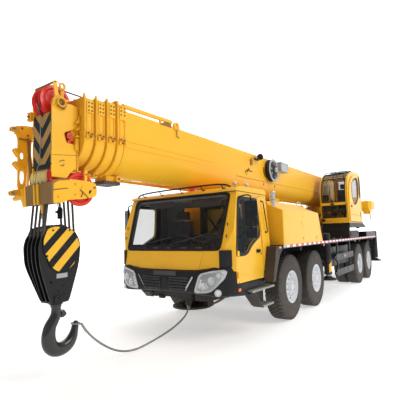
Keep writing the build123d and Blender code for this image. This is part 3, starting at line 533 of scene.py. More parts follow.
def finish_edges(o, width, seg=2, angle=38):
    b = o.modifiers.new("edges", "BEVEL")
    b.width, b.segments = width, seg
    b.limit_method, b.angle_limit = "ANGLE", math.radians(angle)
    b.use_clamp_overlap = True
    w = o.modifiers.new("normals", "WEIGHTED_NORMAL")
    w.keep_sharp = False
    w.weight = 50


def soften(node, body, mats, width=0.006, seg=2, slot=None, paint=None, tri=False):
    """A copy of a machined node with its facets merged and its edges rounded off, shown in its place."""
    src = frame["nodes"][node]
    bm = bmesh.new()
    bm.from_mesh(src.data)
    bmesh.ops.remove_doubles(bm, verts=bm.verts, dist=2e-5)
    bmesh.ops.dissolve_limit(bm, angle_limit=math.radians(0.6), verts=bm.verts, edges=bm.edges, use_dissolve_boundaries=False)
    bmesh.ops.recalc_face_normals(bm, faces=bm.faces)
    if tri:
        bmesh.ops.triangulate(bm, faces=[f for f in bm.faces if len(f.verts) > 4])
    for f in bm.faces:
        f.smooth = True
        f.material_index = 0
        if paint is not None:
            c = f.calc_center_median()
            f.material_index = paint(c.x, c.y - Y0, c.z, f.normal)
    for e in bm.edges:
        e.smooth = not (len(e.link_faces) == 2 and e.calc_face_angle(0) > math.radians(30))
    me = bpy.data.meshes.new(node + "_finished")
    for ma in (mats if isinstance(mats, (list, tuple)) else [mats]):
        me.materials.append(ma)
    bm.to_mesh(me)
    bm.free()
    o = bpy.data.objects.new(node + "_finished", me)
    bpy.context.scene.collection.objects.link(o)
    finish_edges(o, width, seg, 30)
    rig.ride(o, body)
    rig.replaces(o, node)
    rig.slot(o, slot or "yellow_paint")
    return o


def dress(node, ma):
    """A node that keeps its machined shape takes a finished material."""
    o = frame["nodes"][node]
    if not o.material_slots:
        o.data.materials.append(ma)
    for sl in o.material_slots:
        sl.material = ma


LEFT, BACK, UP = Vector((1, 0, 0)), Vector((0, 1, 0)), Vector((0, 0, 1))

# ---- tie-down line: from the towing eye to the hook ------------------------------------------
LINE = [(.200, -1.812, .479), (.196, -1.850, .370), (.183, -1.975, .280), (.162, -2.130, .205), (.132, -2.300, .145), (.104, -2.490, .098),
        (.080, -2.690, .058), (.062, -2.900, .032), (.048, -3.110, .052), (.036, -3.300, .120), (.026, -3.470, .225), (.016, -3.620, .345),
        (.008, -3.730, .460), (.003, -3.805, .570)]
cd = bpy.data.curves.new("tie_line_rope", "CURVE")
cd.dimensions = "3D"
sp = cd.splines.new("NURBS")
sp.points.add(len(LINE) - 1)
for q, (x, s, z) in zip(sp.points, LINE):
    q.co = (*P(x, s, z), 1)
sp.order_u = 3
sp.use_endpoint_u = True
cd.bevel_depth = 0.014
cd.bevel_resolution = 4
cd.resolution_u = 8
cd.use_fill_caps = True
tie = bpy.data.objects.new("tie_line_rope", cd)
bpy.context.scene.collection.objects.link(tie)
cd.materials.append(SLING)
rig.ride(tie, "carrier")
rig.replaces(tie, "tie_line")
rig.slot(tie, "sling_fibre")
g = G("tie_line_eyes", "carrier", [SLING, STEEL], bevel=0)
# eye spliced round the hook's point, and the shackle in the towing eye
c = P(0.0, -3.868, 0.60)
g.tube([P(.003, -3.800, .563), P(.030, -3.815, .585), P(.062, -3.87, .592), P(.045, -3.925, .60), P(0, -3.945, .602), P(-.045, -3.925, .60),
        P(-.062, -3.87, .592), P(-.030, -3.815, .585), P(.003, -3.800, .563)], 0.010, 0, 10)
g.tube([P(.008, -3.735, .462), P(.005, -3.772, .515), P(.003, -3.802, .567)], 0.0155, 1, 12, 2)
g.tube([P(.2, -1.790, .520), P(.2, -1.778, .47), P(.2, -1.80, .432), P(.2, -1.84, .432), P(.2, -1.862, .47), P(.2, -1.85, .520), P(.2, -1.82, .53),
        P(.2, -1.79, .52)], 0.0085, 1, 10)
eyes = g.done(slot="sling_fibre")
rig.cord(tie, exit=tuple(P(.200, -1.812, .479)), length=2.30, diameter=0.028, far_end="object", stiffness="medium", lay="hanging",
        with_pieces=[eyes])

# ---- wheels -------------------------------------------------------------------------------------
def tyre(g, x, m_):
    """One tyre about the x axis, its middle plane at x."""
    c = Vector((x, 0, 0))
    prof = [(-.148, .297), (-.156, .318), (-.1545, .345), (-.1565, .36), (-.1565, .43), (-.154, .47), (-.155, .478), (-.150, .520), (-.141, .562),
            (-.131, .588), (-.115, .5985), (.115, .5985), (.131, .588), (.141, .562), (.150, .520), (.155, .478), (.154, .47), (.1565, .43),
            (.1565, .36), (.1545, .345), (.156, .318), (.148, .297), (.110, .291), (-.110, .291)]
    g.lathe(c, LEFT, prof, m_, 80)
    n = 46
    for i in range(n):
        for t0, t1, ph, w, skew in ((.070, .134, 0, .66, .10), (.006, .060, .5, .78, -.22), (-.060, -.006, 0, .78, -.22), (-.134, -.070, .5, .66, .10)):
            a0 = 2 * math.pi * (i + ph) / n
            da = 2 * math.pi * w / n
            out_ = (abs(t0) > .06)
            pts = []
            for r_, k in ((.592, 0), (.6125, 1)):
                for t, s_ in ((t0, 0), (t1, 0), (t1, 1), (t0, 1)):
                    tt = t
                    rr = r_
                    if out_ and abs(t) > .1:
                        tt = math.copysign(.134 if k else .146, t)
                        rr = .6085 if k else .570
                    aa = a0 + da * s_ + skew * (abs(t) - .06)
                    pts.append(Vector((x + tt, math.cos(aa) * rr, math.sin(aa) * rr)))
            vs = [g.bm.verts.new(p) for p in pts]
            fs = [g.bm.faces.new([vs[j] for j in q]) for q in ((3, 2, 1, 0), (4, 5, 6, 7), (0, 1, 5, 4), (1, 2, 6, 5), (2, 3, 7, 6), (3, 0, 4, 7))]
            bmesh.ops.recalc_face_normals(g.bm, faces=fs)
            g._m(fs, m_)


def nuts(g, x, r, n, size, m_, ph=0.0, h=0.02):
    for i in range(n):
        a = 2 * math.pi * (i + ph) / n
        c = Vector((x, math.cos(a) * r, math.sin(a) * r))
        g.cyl(c, c + LEFT * h * .35, size * 1.5, m_, 12)
        g.cyl(c + LEFT * h * .35, c + LEFT * h, size, m_, 6)
        g.cyl(c + LEFT * h, c + LEFT * h * 1.6, size * .55, m_, 8, size * .45)


def wheel_data(kind):
    g = G("wheel_" + kind, "carrier", [TYRE, RIM, NUT, BLK, TRIM], bevel=0)
    if kind == "front":
        tyre(g, 0, 0)
        g.lathe(Vector(), LEFT, [(.149, .296), (.156, .303), (.158, .297), (.152, .286), (.140, .281), (.120, .276), (.105, .262), (.088, .254),
                                 (.080, .240), (.084, .222), (.100, .205), (.112, .196), (.114, .150), (.118, .146), (.118, .128), (.106, .122),
                                 (.106, .06), (.05, .06), (.05, .20), (.03, .262), (-.12, .274), (-.149, .290), (-.148, .296)], 1, 64)
        # hub with its flange and cap
        g.lathe(Vector(), LEFT, [(.100, .0), (.100, .118), (.126, .116), (.132, .108), (.136, .078), (.158, .072), (.166, .060), (.168, .0)], 1, 40,
                closed=False)
        nuts(g, .114, .1675, 10, .0155, 2, 0, .026)
        nuts(g, .132, .094, 10, .0085, 2, .5, .012)
        nuts(g, .166, .045, 6, .006, 2, 0, .007)
        holes_r, holes_x = .226, .087
    else:
        tyre(g, .175, 0)
        tyre(g, -.175, 0)
        g.lathe(Vector(), LEFT, [(.323, .296), (.330, .303), (.3325, .297), (.326, .286), (.312, .281), (.200, .272), (.105, .262), (.075, .250),
                                 (.062, .228), (.056, .200), (.056, .150), (.062, .145), (.062, .06), (.03, .06), (.03, .20), (.02, .262),
                                 (-.30, .274), (-.323, .290), (-.322, .296)], 1, 64)
        g.lathe(Vector(), LEFT, [(.06, .0), (.06, .135), (.085, .132), (.10, .118), (.18, .112), (.205, .104), (.212, .085), (.272, .080), (.286, .068),
                                 (.290, .0)], 1, 40, closed=False)
        nuts(g, .056, .1675, 10, .0155, 2, 0, .028)
        nuts(g, .206, .094, 10, .0085, 2, .5, .012)
        nuts(g, .288, .045, 6, .006, 2, 0, .007)
        holes_r, holes_x = .222, .066
    # hand holes in the disc, drawn as dark trim discs: painted shade standing for the openings; and the valve
    for i in range(10):
        a = 2 * math.pi * (i + .5) / 10
        c = Vector((holes_x - .004, math.cos(a) * holes_r, math.sin(a) * holes_r))
        got = g.cyl(c, c + LEFT * .0075, .013, 4, 16)
        t = Vector((0, -math.sin(a), math.cos(a)))
        for v in {v for f in got for v in f.verts}:
            d = v.co - c
            v.co += t * d.dot(t) * .45
    a = 2 * math.pi * .25 / 10
    g.tube([Vector((holes_x, math.cos(a) * .24, math.sin(a) * .24)), Vector((holes_x + .05, math.cos(a) * .236, math.sin(a) * .236)),
            Vector((holes_x + .07, math.cos(a) * .262, math.sin(a) * .262))], .006, 2, 8, 1)
    for f in g.bm.faces:
        f.smooth = True
    for e in g.bm.edges:
        if len(e.link_faces) == 2 and e.calc_face_angle(0) > math.radians(38):
            e.smooth = False
    me = bpy.data.meshes.new("wheel_" + kind)
    g.bm.to_mesh(me)
    g.bm.free()
    for ma in g.mats:
        me.materials.append(ma)
    return me


WHEEL = {"front": wheel_data("front"), "twin": wheel_data("twin")}
for i, s in enumerate(AXLES):
    for side, word in ((1, "left"), (-1, "right")):
        node = "wheel_%d_%s" % (i + 1, word)
        a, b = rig.box(node)
        if i < 2:
            cx = side * 1.152
            me = WHEEL["front"]
        else:
            cx = side * 1.037
            me = WHEEL["twin"]
        o = bpy.data.objects.new(node + "_tyre_and_rim", me.copy())
        bpy.context.scene.collection.objects.link(o)
        spin = Matrix.Rotation(0.31 * i + (0.2 if side > 0 else 0.9), 4, "X")
        turn = Matrix.Identity(4) if side > 0 else Matrix.Rotation(math.pi, 4, "Z")
        place = Matrix.Translation(Vector((cx, Y0 + s, (a.z + b.z) / 2))) @ turn @ spin
        o.data.transform(place)
        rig.ride(o, node)
        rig.replaces(o, node)
        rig.slot(o, "tyre_rubber")


# ---- front bumper, lamps and front panel -----------------------------------------------------------
def loft(g, loops, m=0, cap=True):
    bm = g.bm
    rings = [[bm.verts.new(p) for p in lp] for lp in loops]
    fs = []
    for a, b in zip(rings, rings[1:]):
        n = len(a)
        for j in range(n):
            fs.append(bm.faces.new((a[j], a[(j + 1) % n], b[(j + 1) % n], b[j])))
    if cap:
        fs += [bm.faces.new(list(reversed(rings[0]))), bm.faces.new(rings[-1])]
    bmesh.ops.recalc_face_normals(bm, faces=fs)
    g._m(fs, m)
    return fs


def lerp(a, b, t):
    return a + (b - a) * t


def tab(pts, x):
    """Reads a table of (x, y) pairs at x."""
    if x <= pts[0][0]:
        return pts[0][1]
    for (a, u), (b, v) in zip(pts, pts[1:]):
        if x <= b:
            return lerp(u, v, (x - a) / (b - a))
    return pts[-1][1]


# outline in plan (half), from the middle to the side: x, station
PLAN = [(0, -2.180), (.35, -2.180), (.62, -2.176), (.80, -2.166), (.92, -2.145), (1.01, -2.112), (1.085, -2.062), (1.148, -1.998), (1.190, -1.930),
        (1.213, -1.85), (1.213, -1.75), (1.213, -1.60), (1.213, -1.42)]
TOPZ = [(0, 1.098), (.50, 1.098), (.72, 1.112), (.92, 1.150), (1.05, 1.165), (1.21, 1.165)]
BOTZ = [(0, .752), (.35, .752), (.62, .738), (.95, .722), (1.21, .716)]
full = [(-x, s) for x, s in reversed(PLAN[1:])] + PLAN
g = G("bumper_shell", "carrier", [BLKP, TRIM, SILVER, WHITER, ORANGE], bevel=0.006)
loops = []
for i, (x, s) in enumerate(full):
    a, b = full[max(i - 1, 0)], full[min(i + 1, len(full) - 1)]
    t = Vector((b[0] - a[0], b[1] - a[1], 0)).normalized()
    nrm = Vector((t.y, -t.x, 0))
    side = abs(x) > 1.2 and s > -1.90
    top = tab(TOPZ, abs(x))
    bot = tab(BOTZ, abs(x))
    if side:
        top = .890
        bot = tab([(-1.86, .706), (-1.42, .664)], s)
    h = top - bot
    prof = [(-.045, bot - .012), (-.006, bot + .01), (.010, bot + .05 * 1), (.012, bot + h * .45), (.004, bot + h * .78), (-.012, top - .02),
            (-.045, top)]
    if side:
        prof = [(-.03, bot), (-.002, bot + .01), (.0, bot + .03), (.0, bot + h * .45), (.0, bot + h * .78), (-.002, top - .01), (-.03, top)]
    back = [(-.075, top - .002), (-.075, bot - .010)]
    lp = []
    for off, z in prof + back:
        lp.append(P(x, s, z) + nrm * off)
    loops.append(lp)
loft(g, loops, 0)
# lower lip and recessed grilles with their slats
for sx in (-1, 1):
    xs = (.105 * sx, .475 * sx)
    g.py(-2.203, -2.175, [(sx * .095, .785), (sx * .44, .79), (sx * .49, .985), (sx * .095, .985)], 1)
    for k in range(4):
        z = .815 + k * .045
        g.slab(P(sx * .285, -2.208, z), LEFT * (.165 + .008 * k), Vector((0, .010, .004)), Vector((0, -.004, .011)), 0)
    # bright strip beside the grille
    g.slab(P(sx * .502, -2.206, .898), Vector((sx * .073, 0, .105)), Vector((.011, 0, -.008)), Vector((0, .006, 0)), 2)
    # fog lamp
    g.lathe(P(sx * .985, -2.125, .775), Vector((sx * .45, -1, 0)), [(.0, .0), (.0, .052), (.012, .056), (.018, .048), (.012, .040), (.008, 0)], 2, 24, False)
    g.lathe(P(sx * .985, -2.125, .775), Vector((sx * .45, -1, 0)), [(.007, .0), (.007, .041), (.016, .036), (.020, 0)], 3, 24, False)
    # amber marker on the skirt
    g.ball(P(sx * 1.211, -1.865, .800), .034, 4, (.35, 1.25, .8))
# centre block of the bumper with its number-plate field left blank
g.py(-2.199, -2.17, [(-.24, 1.008), (-.235, 1.075), (.235, 1.075), (.24, 1.008)], 1)
g.py(-2.196, -2.17, [(-.075, .79), (.075, .79), (.065, .985), (-.065, .985)], 0)
g.done("front_bumper")

# headlamps: silver bezel, dark bowl, projectors and a clear cover
LAMP = [(.580, .755), (.690, 1.052), (.90, 1.102), (1.075, 1.122), (1.112, 1.085), (1.085, .985), (.985, .872), (.90, .795), (.80, .765)]


def plan_s(x):
    return tab([(a, b) for a, b in PLAN[:9]], abs(x))


def lamp_loop(sx, k, off):
    c = Vector((.85, 0, .94))
    out = []
    for x, z in LAMP:
        xx, zz = lerp(c.x, x, k), lerp(c.z, z, k)
        out.append(P(sx * xx, plan_s(xx) - off, zz))
    return out


def rounded(pts, r=1):
    for _ in range(r):
        out = []
        for a, b in zip(pts, pts[1:] + pts[:1]):
            out += [a * .87 + b * .13, a * .13 + b * .87]
        pts = out
    return pts


g = G("headlamps", "carrier", [SILVER, CHEVB, CHROME, LENS, WHITER], bevel=0)
for sx in (-1, 1):
    o1, o2, o3, o4 = (rounded(lamp_loop(sx, k, f), 2) for k, f in ((1.0, .012), (.985, .026), (.80, .024), (.78, .006)))
    back = rounded(lamp_loop(sx, .99, -.02), 2)
    bm = g.bm
    loops = [back, o1, o2, o3, o4]
    rings = [[bm.verts.new(p) for p in lp] for lp in loops]
    fs = []
    for a, b in zip(rings, rings[1:]):
        n = len(a)
        for j in range(n):
            fs.append(bm.faces.new((a[j], a[(j + 1) % n], b[(j + 1) % n], b[j])))
    f1 = bm.faces.new(list(reversed(rings[0])))
    f2 = bm.faces.new(rings[-1])
    bmesh.ops.recalc_face_normals(bm, faces=fs + [f1, f2])
    g._m(fs, 0)
    g._m([f1, f2], 1)
    for x, z, r in ((.775, .865, .060), (.895, .955, .058), (1.005, 1.035, .040)):
        ax = Vector((sx * (.15 if x < .9 else .45), -1, .05))
        c = P(sx * x, plan_s(x) - .004, z)
        g.lathe(c, ax, [(.0, .0), (.0, r * .7), (.004, r), (.022, r), (.022, r * .86), (.010, r * .6), (.004, 0)], 2, 28, False)
        g.ball(c + ax.normalized() * .012, r * .42, 4)
    g.slab(P(sx * .70, plan_s(.70) - .009, .90), Vector((sx * .024, 0, .07)), Vector((.018, 0, -.006)), Vector((0, .004, 0)), 2)
g.done("headlights", slot="lamp_glass")
g = G("headlamp_covers", "carrier", [LENS], bevel=0)
for sx in (-1, 1):
    l1, l2, l3 = (rounded(lamp_loop(sx, k, f), 2) for k, f in ((.82, .026), (.66, .036), (.3, .040)))
    l0 = rounded(lamp_loop(sx, .82, .0235), 2)
    i2, i3 = (rounded(lamp_loop(sx, k, f), 2) for k, f in ((.66, .033), (.3, .037)))
    rings = [[g.bm.verts.new(p) for p in lp] for lp in (i3, i2, l0, l1, l2, l3)]
    fs = []
    for a, b in zip(rings, rings[1:]):
        n = len(a)
        for j in range(n):
            fs.append(g.bm.faces.new((a[j], a[(j + 1) % n], b[(j + 1) % n], b[j])))
    fs += [g.bm.faces.new(list(reversed(rings[0]))), g.bm.faces.new(rings[-1])]
    bmesh.ops.recalc_face_normals(g.bm, faces=fs)
    g._m(fs, 0)
g.done(slot="lamp_glass")

# yellow panel under the windscreen with its raised middle, black corner covers
g = G("front_panel", "carrier", [YEL, BLKP], bevel=0.006)


def front(x0, x1, x2, x3, off, z0, z1, m=0):
    """A plate lying on the cab's leaning front: bottom edge x0..x1, top edge x2..x3."""
    def s_at(z):
        return -2.100 + (z - 1.085) * (.05 / .315)
    pts = [P(x0, s_at(z0) - off, z0), P(x1, s_at(z0) - off, z0), P(x3, s_at(z1) - off, z1), P(x2, s_at(z1) - off, z1)]
    g.solid(pts, Vector((0, off + .012, 0)), m)


front(-1.00, 1.00, -1.005, 1.005, .010, 1.085, 1.402)
front(-.625, .625, -.695, .695, .024, 1.090, 1.390)
for sx in (-1, 1):
    # the corner cover wraps from the front panel to the side of the cab
    plan = [(1.008, -2.108), (1.060, -2.082), (1.110, -2.042), (1.148, -1.998), (1.160, -1.980), (1.150, -1.955), (1.10, -1.98),
            (1.008, -2.05)]
    g.pz(1.150, 1.405, [(sx * x, s) for x, s in plan], 1)
g.done()

def holed(g, loops, vec, m=0):
    """A plate with holes: the first loop is its edge, the others its holes; vec is its thickness."""
    from mathutils.geometry import tessellate_polygon
    bm = g.bm
    flat = [p for lp in loops for p in lp]
    lo = [bm.verts.new(p) for p in flat]
    hi = [bm.verts.new(p + vec) for p in flat]
    fs = []
    for a, b, c_ in tessellate_polygon(loops):
        if len({a, b, c_}) < 3:
            continue
        fs.append(bm.faces.new((lo[a], lo[b], lo[c_])))
        fs.append(bm.faces.new((hi[c_], hi[b], hi[a])))
    i0 = 0
    for lp in loops:
        n = len(lp)
        for k in range(n):
            a, b = i0 + k, i0 + (k + 1) % n
            fs.append(bm.faces.new((lo[a], lo[b], hi[b], hi[a])))
        i0 += n
    bmesh.ops.recalc_face_normals(bm, faces=fs)
    g._m(fs, m)
    return fs


def smooth2(pts, r=2, k=.25):
    """Rounds the corners of an outline given as tuples."""
    for _ in range(r):
        out = []
        for a, b in zip(pts, pts[1:] + pts[:1]):
            out += [tuple(u * (1 - k) + v * k for u, v in zip(a, b)), tuple(u * k + v * (1 - k) for u, v in zip(a, b))]
        pts = out
    return pts


def corner_round(pts, r, n=4):
    """Rounds each corner of a 2D outline with radius-like setback r."""
    out = []
    m_ = len(pts)
    for i in range(m_):
        p0, p1, p2 = pts[i - 1], pts[i], pts[(i + 1) % m_]
        rr = r[i] if isinstance(r, (list, tuple)) else r
        d0 = math.hypot(p0[0] - p1[0], p0[1] - p1[1])
        d2 = math.hypot(p2[0] - p1[0], p2[1] - p1[1])
        r0, r2 = min(rr, d0 * .45) / d0, min(rr, d2 * .45) / d2
        a = (p1[0] + (p0[0] - p1[0]) * r0, p1[1] + (p0[1] - p1[1]) * r0)
        b = (p1[0] + (p2[0] - p1[0]) * r2, p1[1] + (p2[1] - p1[1]) * r2)
        for k in range(n + 1):
            t = k / n
            out.append(tuple((1 - t) ** 2 * u + 2 * t * (1 - t) * v + t * t * w_ for u, v, w_ in zip(a, p1, b)))
    return out


# ---- driver's cab ---------------------------------------------------------------------------------
CABC = P(0, -1.4, 1.72)


def cab_paint(x, s, z, n):
    inner = (Vector((x, Y0 + s, z)) - CABC).dot(n) < 0
    if abs(x) > 1.144 and abs(n.x) < .5 and -1.95 < s < -.95:
        return 0 if abs(x) > 1.15 else 1
    if inner:
        return 1
    if z < 1.083 and s < -1.85:
        return 2
    return 0


soften("cab_shell", "carrier", [YEL, LINING, BLK], .012, 3, paint=cab_paint)
soften("cab_roof", "carrier", [YEL, LINING], .02, 3, paint=lambda x, s, z, n: 1 if (n.z < -.3 and z < 2.39) or (z < 2.385 and abs(x) < 1.12 and -1.71 < s < -.75) else 0)

VN = Vector((0, -.95, .313))


def scr(x, v, off=0.0):
    """A point on the plane of the windscreen: x across, v up it, off in front of it."""
    return P(x, -2.050 + .313 * v, 1.400 + .95 * v) + VN * off


def scr_loop(x0, x1, v0, v1, r, off):
    return [scr(x, v, off) for x, v in corner_round([(-x0, v0), (x0, v0), (x1, v1), (-x1, v1)], r, 5)]


g = G("windscreen_surround", "carrier", [CHEVB, TRIM, BLKP], bevel=.003)
holed(g, [scr_loop(1.006, 1.052, -.010, .966, .10, .001), scr_loop(.955, .995, .105, .925, .07, .001)], VN * .010)
# lower garnish where the wipers are pivoted
g.solid([scr(-.94, .0, .011), scr(.94, .0, .011), scr(.93, .075, .011), scr(-.93, .075, .011)], VN * .008, 2)
for k in range(5):
    g.slab(scr(-.6 + .3 * k, .04, .021), Vector((.06, 0, 0)), Vector((0, .313, .95)) * .012, VN * .003, 1)
g.done()
g = G("windscreen_pane", "carrier", [SCREENG], bevel=0)
g.solid(scr_loop(.963, 1.003, .095, .935, .05, -.004), VN * .006)
g.solid([P(x, -.722, z) for x, z in corner_round([(-.690, 1.658), (.690, 1.658), (.690, 2.192), (-.690, 2.192)], .04, 3)],
        Vector((0, .006, 0)))
g.done("cab_glass", slot="tinted_glass")

# three wipers lying along the lower edge
g = G("wipers", "carrier", [CHEVB, TRIM], bevel=.0015)
for x0, x1, v1 in ((-.62, -.05, .20), (.04, .60, .22), (.78, .28, .24)):
    sgn = 1 if x1 > x0 else -1
    g.cyl(scr(x0, .045, .015), scr(x0, .045, .045), .019, 0, 16)
    g.tube([scr(x0, .045, .040), scr(lerp(x0, x1, .3), .08, .046), scr(lerp(x0, x1, .62), lerp(.05, v1, .66), .036)], .0075, 0, 8, 2)
    c0, c1 = scr(lerp(x0, x1, .12), .118, .026), scr(x1 + sgn * .06, v1 + .025, .026)
    g.tube([c0, c1], .006, 1, 6, 0)
    g.slab((c0 + c1) / 2 - VN * .008, (c1 - c0) / 2, Vector((0, .313, .95)) * .004, VN * .006, 1)
g.done()

# roof rail, beacons and the lamps over the screen
g = G("roof_rail", "carrier", [CHEVB, YEL, SILVER, LENS], bevel=.0015)
rail = [P(-1.02, -1.735, 2.375), P(-.93, -1.80, 2.425), P(-.5, -1.81, 2.452), P(.25, -1.80, 2.462), P(.93, -1.79, 2.462), P(1.04, -1.735, 2.405)]
g.tube(rail, .014, 0, 12, 2)
for x, z in ((-.84, 2.425), (-.42, 2.450), (.05, 2.457), (.50, 2.457), (.90, 2.458)):
    g.tube([P(x, -1.735, 2.372), P(x, -1.803, z - .006)], .008, 0, 8, 0)
    g.slab(P(x, -1.738, 2.378), Vector((.028, 0, 0)), Vector((0, .022, .020)), Vector((0, -.003, .004)), 0)
for x, s in ((1.03, -1.57), (1.07, -1.24)):
    g.lathe(P(x, s, 2.415), UP, [(0, 0), (0, .038), (.012, .034), (.016, .016), (.045, .014), (.048, 0)], 1, 20, False)
    g.ball(P(x, s - .01, 2.475), .036, 2, (1, 1.15, .95), 20, 14)
    g.lathe(P(x, s - .035, 2.475), Vector((.15, -1, -.05)), [(-.01, 0), (-.01, .030), (.012, .033), (.016, .024), (.017, 0)], 3, 20, False)
g.done()

# door skins: custom plates with their window, black frame, glass, handle and inner trim
DOORL = corner_round([(-1.922, .896), (-1.922, 1.420), (-1.775, 2.148), (-1.720, 2.240), (-.996, 2.263), (-.996, .896)], [.03, .05, .05, .04, .04, .03], 3)
HOLE = corner_round([(-1.888, 1.345), (-1.882, 1.50), (-1.718, 2.195), (-1.105, 2.195), (-1.095, 1.64), (-1.30, 1.545), (-1.44, 1.475), (-1.545, 1.365),
                     (-1.665, 1.340)], [.03, .08, .05, .05, .08, .06, .05, .06, .05], 3)
FRAMEO = corner_round([(-1.917, 1.300), (-1.917, 1.44), (-1.757, 2.200), (-1.715, 2.250), (-1.062, 2.246), (-1.056, 1.60), (-1.29, 1.500),
                       (-1.41, 1.440), (-1.535, 1.330), (-1.655, 1.300)], [.02, .05, .04, .03, .04, .09, .06, .05, .07, .05], 3)


def side_x(z):
    return 1.2070 - max(0.0, z - 1.5) * .0666


def onside(sx, pts, off):
    return [P(sx * (side_x(z) + off), s, z) for s, z in pts]


for nm, sx in (("left", 1), ("right", -1)):
    b = "cab_door_" + nm
    g = G("door_" + nm + "_skin", b, [YEL, CHEVB, LINING, TRIM], bevel=.004, seg=2)
    # lower skin is upright, upper part leans in: the plate is cut at the waist line
    low = [p for p in DOORL]
    holed(g, [onside(sx, DOORL, 0), onside(sx, HOLE, 0)], Vector((-sx * .028, 0, 0)), 0)
    holed(g, [onside(sx, [(s * .985 - .021, z * .985 + .028) for s, z in DOORL], -.0285), onside(sx, HOLE, -.0285)], Vector((-sx * .030, 0, 0)), 1)
    holed(g, [onside(sx, FRAMEO, .0008), onside(sx, [((s + 1.47) * .975 - 1.47, (z - 1.8) * .975 + 1.8) for s, z in HOLE], .0008)], Vector((sx * .0055, 0, 0)), 1)
    # pressed line along the bottom of the door, recessed handle and grab handle
    g.px(sx * 1.207, sx * 1.2105, [(-1.88, 1.018), (-1.02, 1.018), (-1.02, 1.026), (-1.88, 1.026)], 0)
    g.px(sx * 1.206, sx * 1.212, corner_round([(-1.245, 1.322), (-1.105, 1.322), (-1.105, 1.378), (-1.245, 1.378)], .018, 3), 1)
    g.px(sx * 1.210, sx * 1.228, corner_round([(-1.225, 1.345), (-1.120, 1.345), (-1.120, 1.370), (-1.225, 1.370)], .010, 2), 1)
    g.cyl(P(sx * 1.2065, -1.075, 1.30), P(sx * 1.2125, -1.075, 1.30), .014, 3, 16)
    for z in (.98, 1.30):
        g.px(sx * 1.2068, sx * 1.214, [(-1.895, z), (-1.835, z + .01), (-1.835, z + .08), (-1.895, z + .09)], 0)
        g.cyl(P(sx * 1.220, -1.905, z), P(sx * 1.220, -1.905, z + .09), .0115, 0, 14)
    # inside: armrest, pull and map pocket
    g.px(sx * 1.148, sx * 1.105, corner_round([(-1.75, 1.22), (-1.12, 1.22), (-1.12, 1.30), (-1.75, 1.30)], .03, 3), 3)
    g.px(sx * 1.148, sx * 1.115, corner_round([(-1.80, .96), (-1.20, .96), (-1.20, 1.12), (-1.80, 1.12)], .03, 3), 3)
    # mirror arms and housings
    g.tube([P(sx * 1.150, -1.692, 2.205), P(sx * 1.165, -1.690, 2.232), P(sx * 1.25, -1.684, 2.258), P(sx * 1.345, -1.677, 2.250),
            P(sx * 1.362, -1.676, 2.215), P(sx * 1.362, -1.676, 1.60)], .0115, 1, 12, 2)
    g.tube([P(sx * 1.188, -1.862, 1.560), P(sx * 1.225, -1.83, 1.585), P(sx * 1.30, -1.75, 1.70), P(sx * 1.362, -1.676, 1.752)], .010, 1, 12, 2)
    g.slab(P(sx * 1.162, -1.692, 2.205), Vector((sx * .006, 0, 0)), Vector((0, .03, 0)), Vector((0, 0, .02)), 1)
    g.slab(P(sx * 1.206, -1.862, 1.560), Vector((sx * .006, 0, 0)), Vector((0, .02, 0)), Vector((0, 0, .03)), 1)
    for z in (1.74, 2.175):
        g.cyl(P(sx * 1.362, -1.676, z - .016), P(sx * 1.362, -1.676, z + .016), .018, 1, 14)
    g.done("door_" + nm, slot="yellow_paint")
    g = G("door_" + nm + "_pane", b, [GLASS], bevel=0)
    g.solid(onside(sx, [((s + 1.47) * 1.01 - 1.47, (z - 1.8) * 1.01 + 1.8) for s, z in HOLE], -.016), Vector((-sx * .005, 0, 0)))
    g.done(slot="tinted_glass")
    g = G("mirror_" + nm, b, [CHEVB, CHROME], bevel=.012, seg=3)
    u, v = Vector((sx * .174, .074, 0)).normalized(), Vector((sx * .020, -.047, 0)).normalized()
    for z0, z1, k0, k1 in ((1.765, 2.160, 0, 1), (1.575, 1.730, .06, .94)):
        c = P(sx * (1.275 + .174 * (k0 + k1) / 2 + .010), -1.710 + .074 * (k0 + k1) / 2 - .0235, (z0 + z1) / 2)
        hw = .189 * (k1 - k0) / 2
        g.slab(c, u * hw, Vector((0, 0, (z1 - z0) / 2)), v * .023)
    g.done()
    g = G("mirror_glass_" + nm, b, [CHROME], bevel=.001)
    for z0, z1, k0, k1 in ((1.765, 2.160, 0, 1), (1.575, 1.730, .06, .94)):
        c = P(sx * (1.275 + .174 * (k0 + k1) / 2 + .010), -1.710 + .074 * (k0 + k1) / 2 - .0235, (z0 + z1) / 2)
        hw = .189 * (k1 - k0) / 2
        g.slab(c - v * .0225, u * (hw - .014), Vector((0, 0, (z1 - z0) / 2 - .016)), v * .0012)
    g.done()

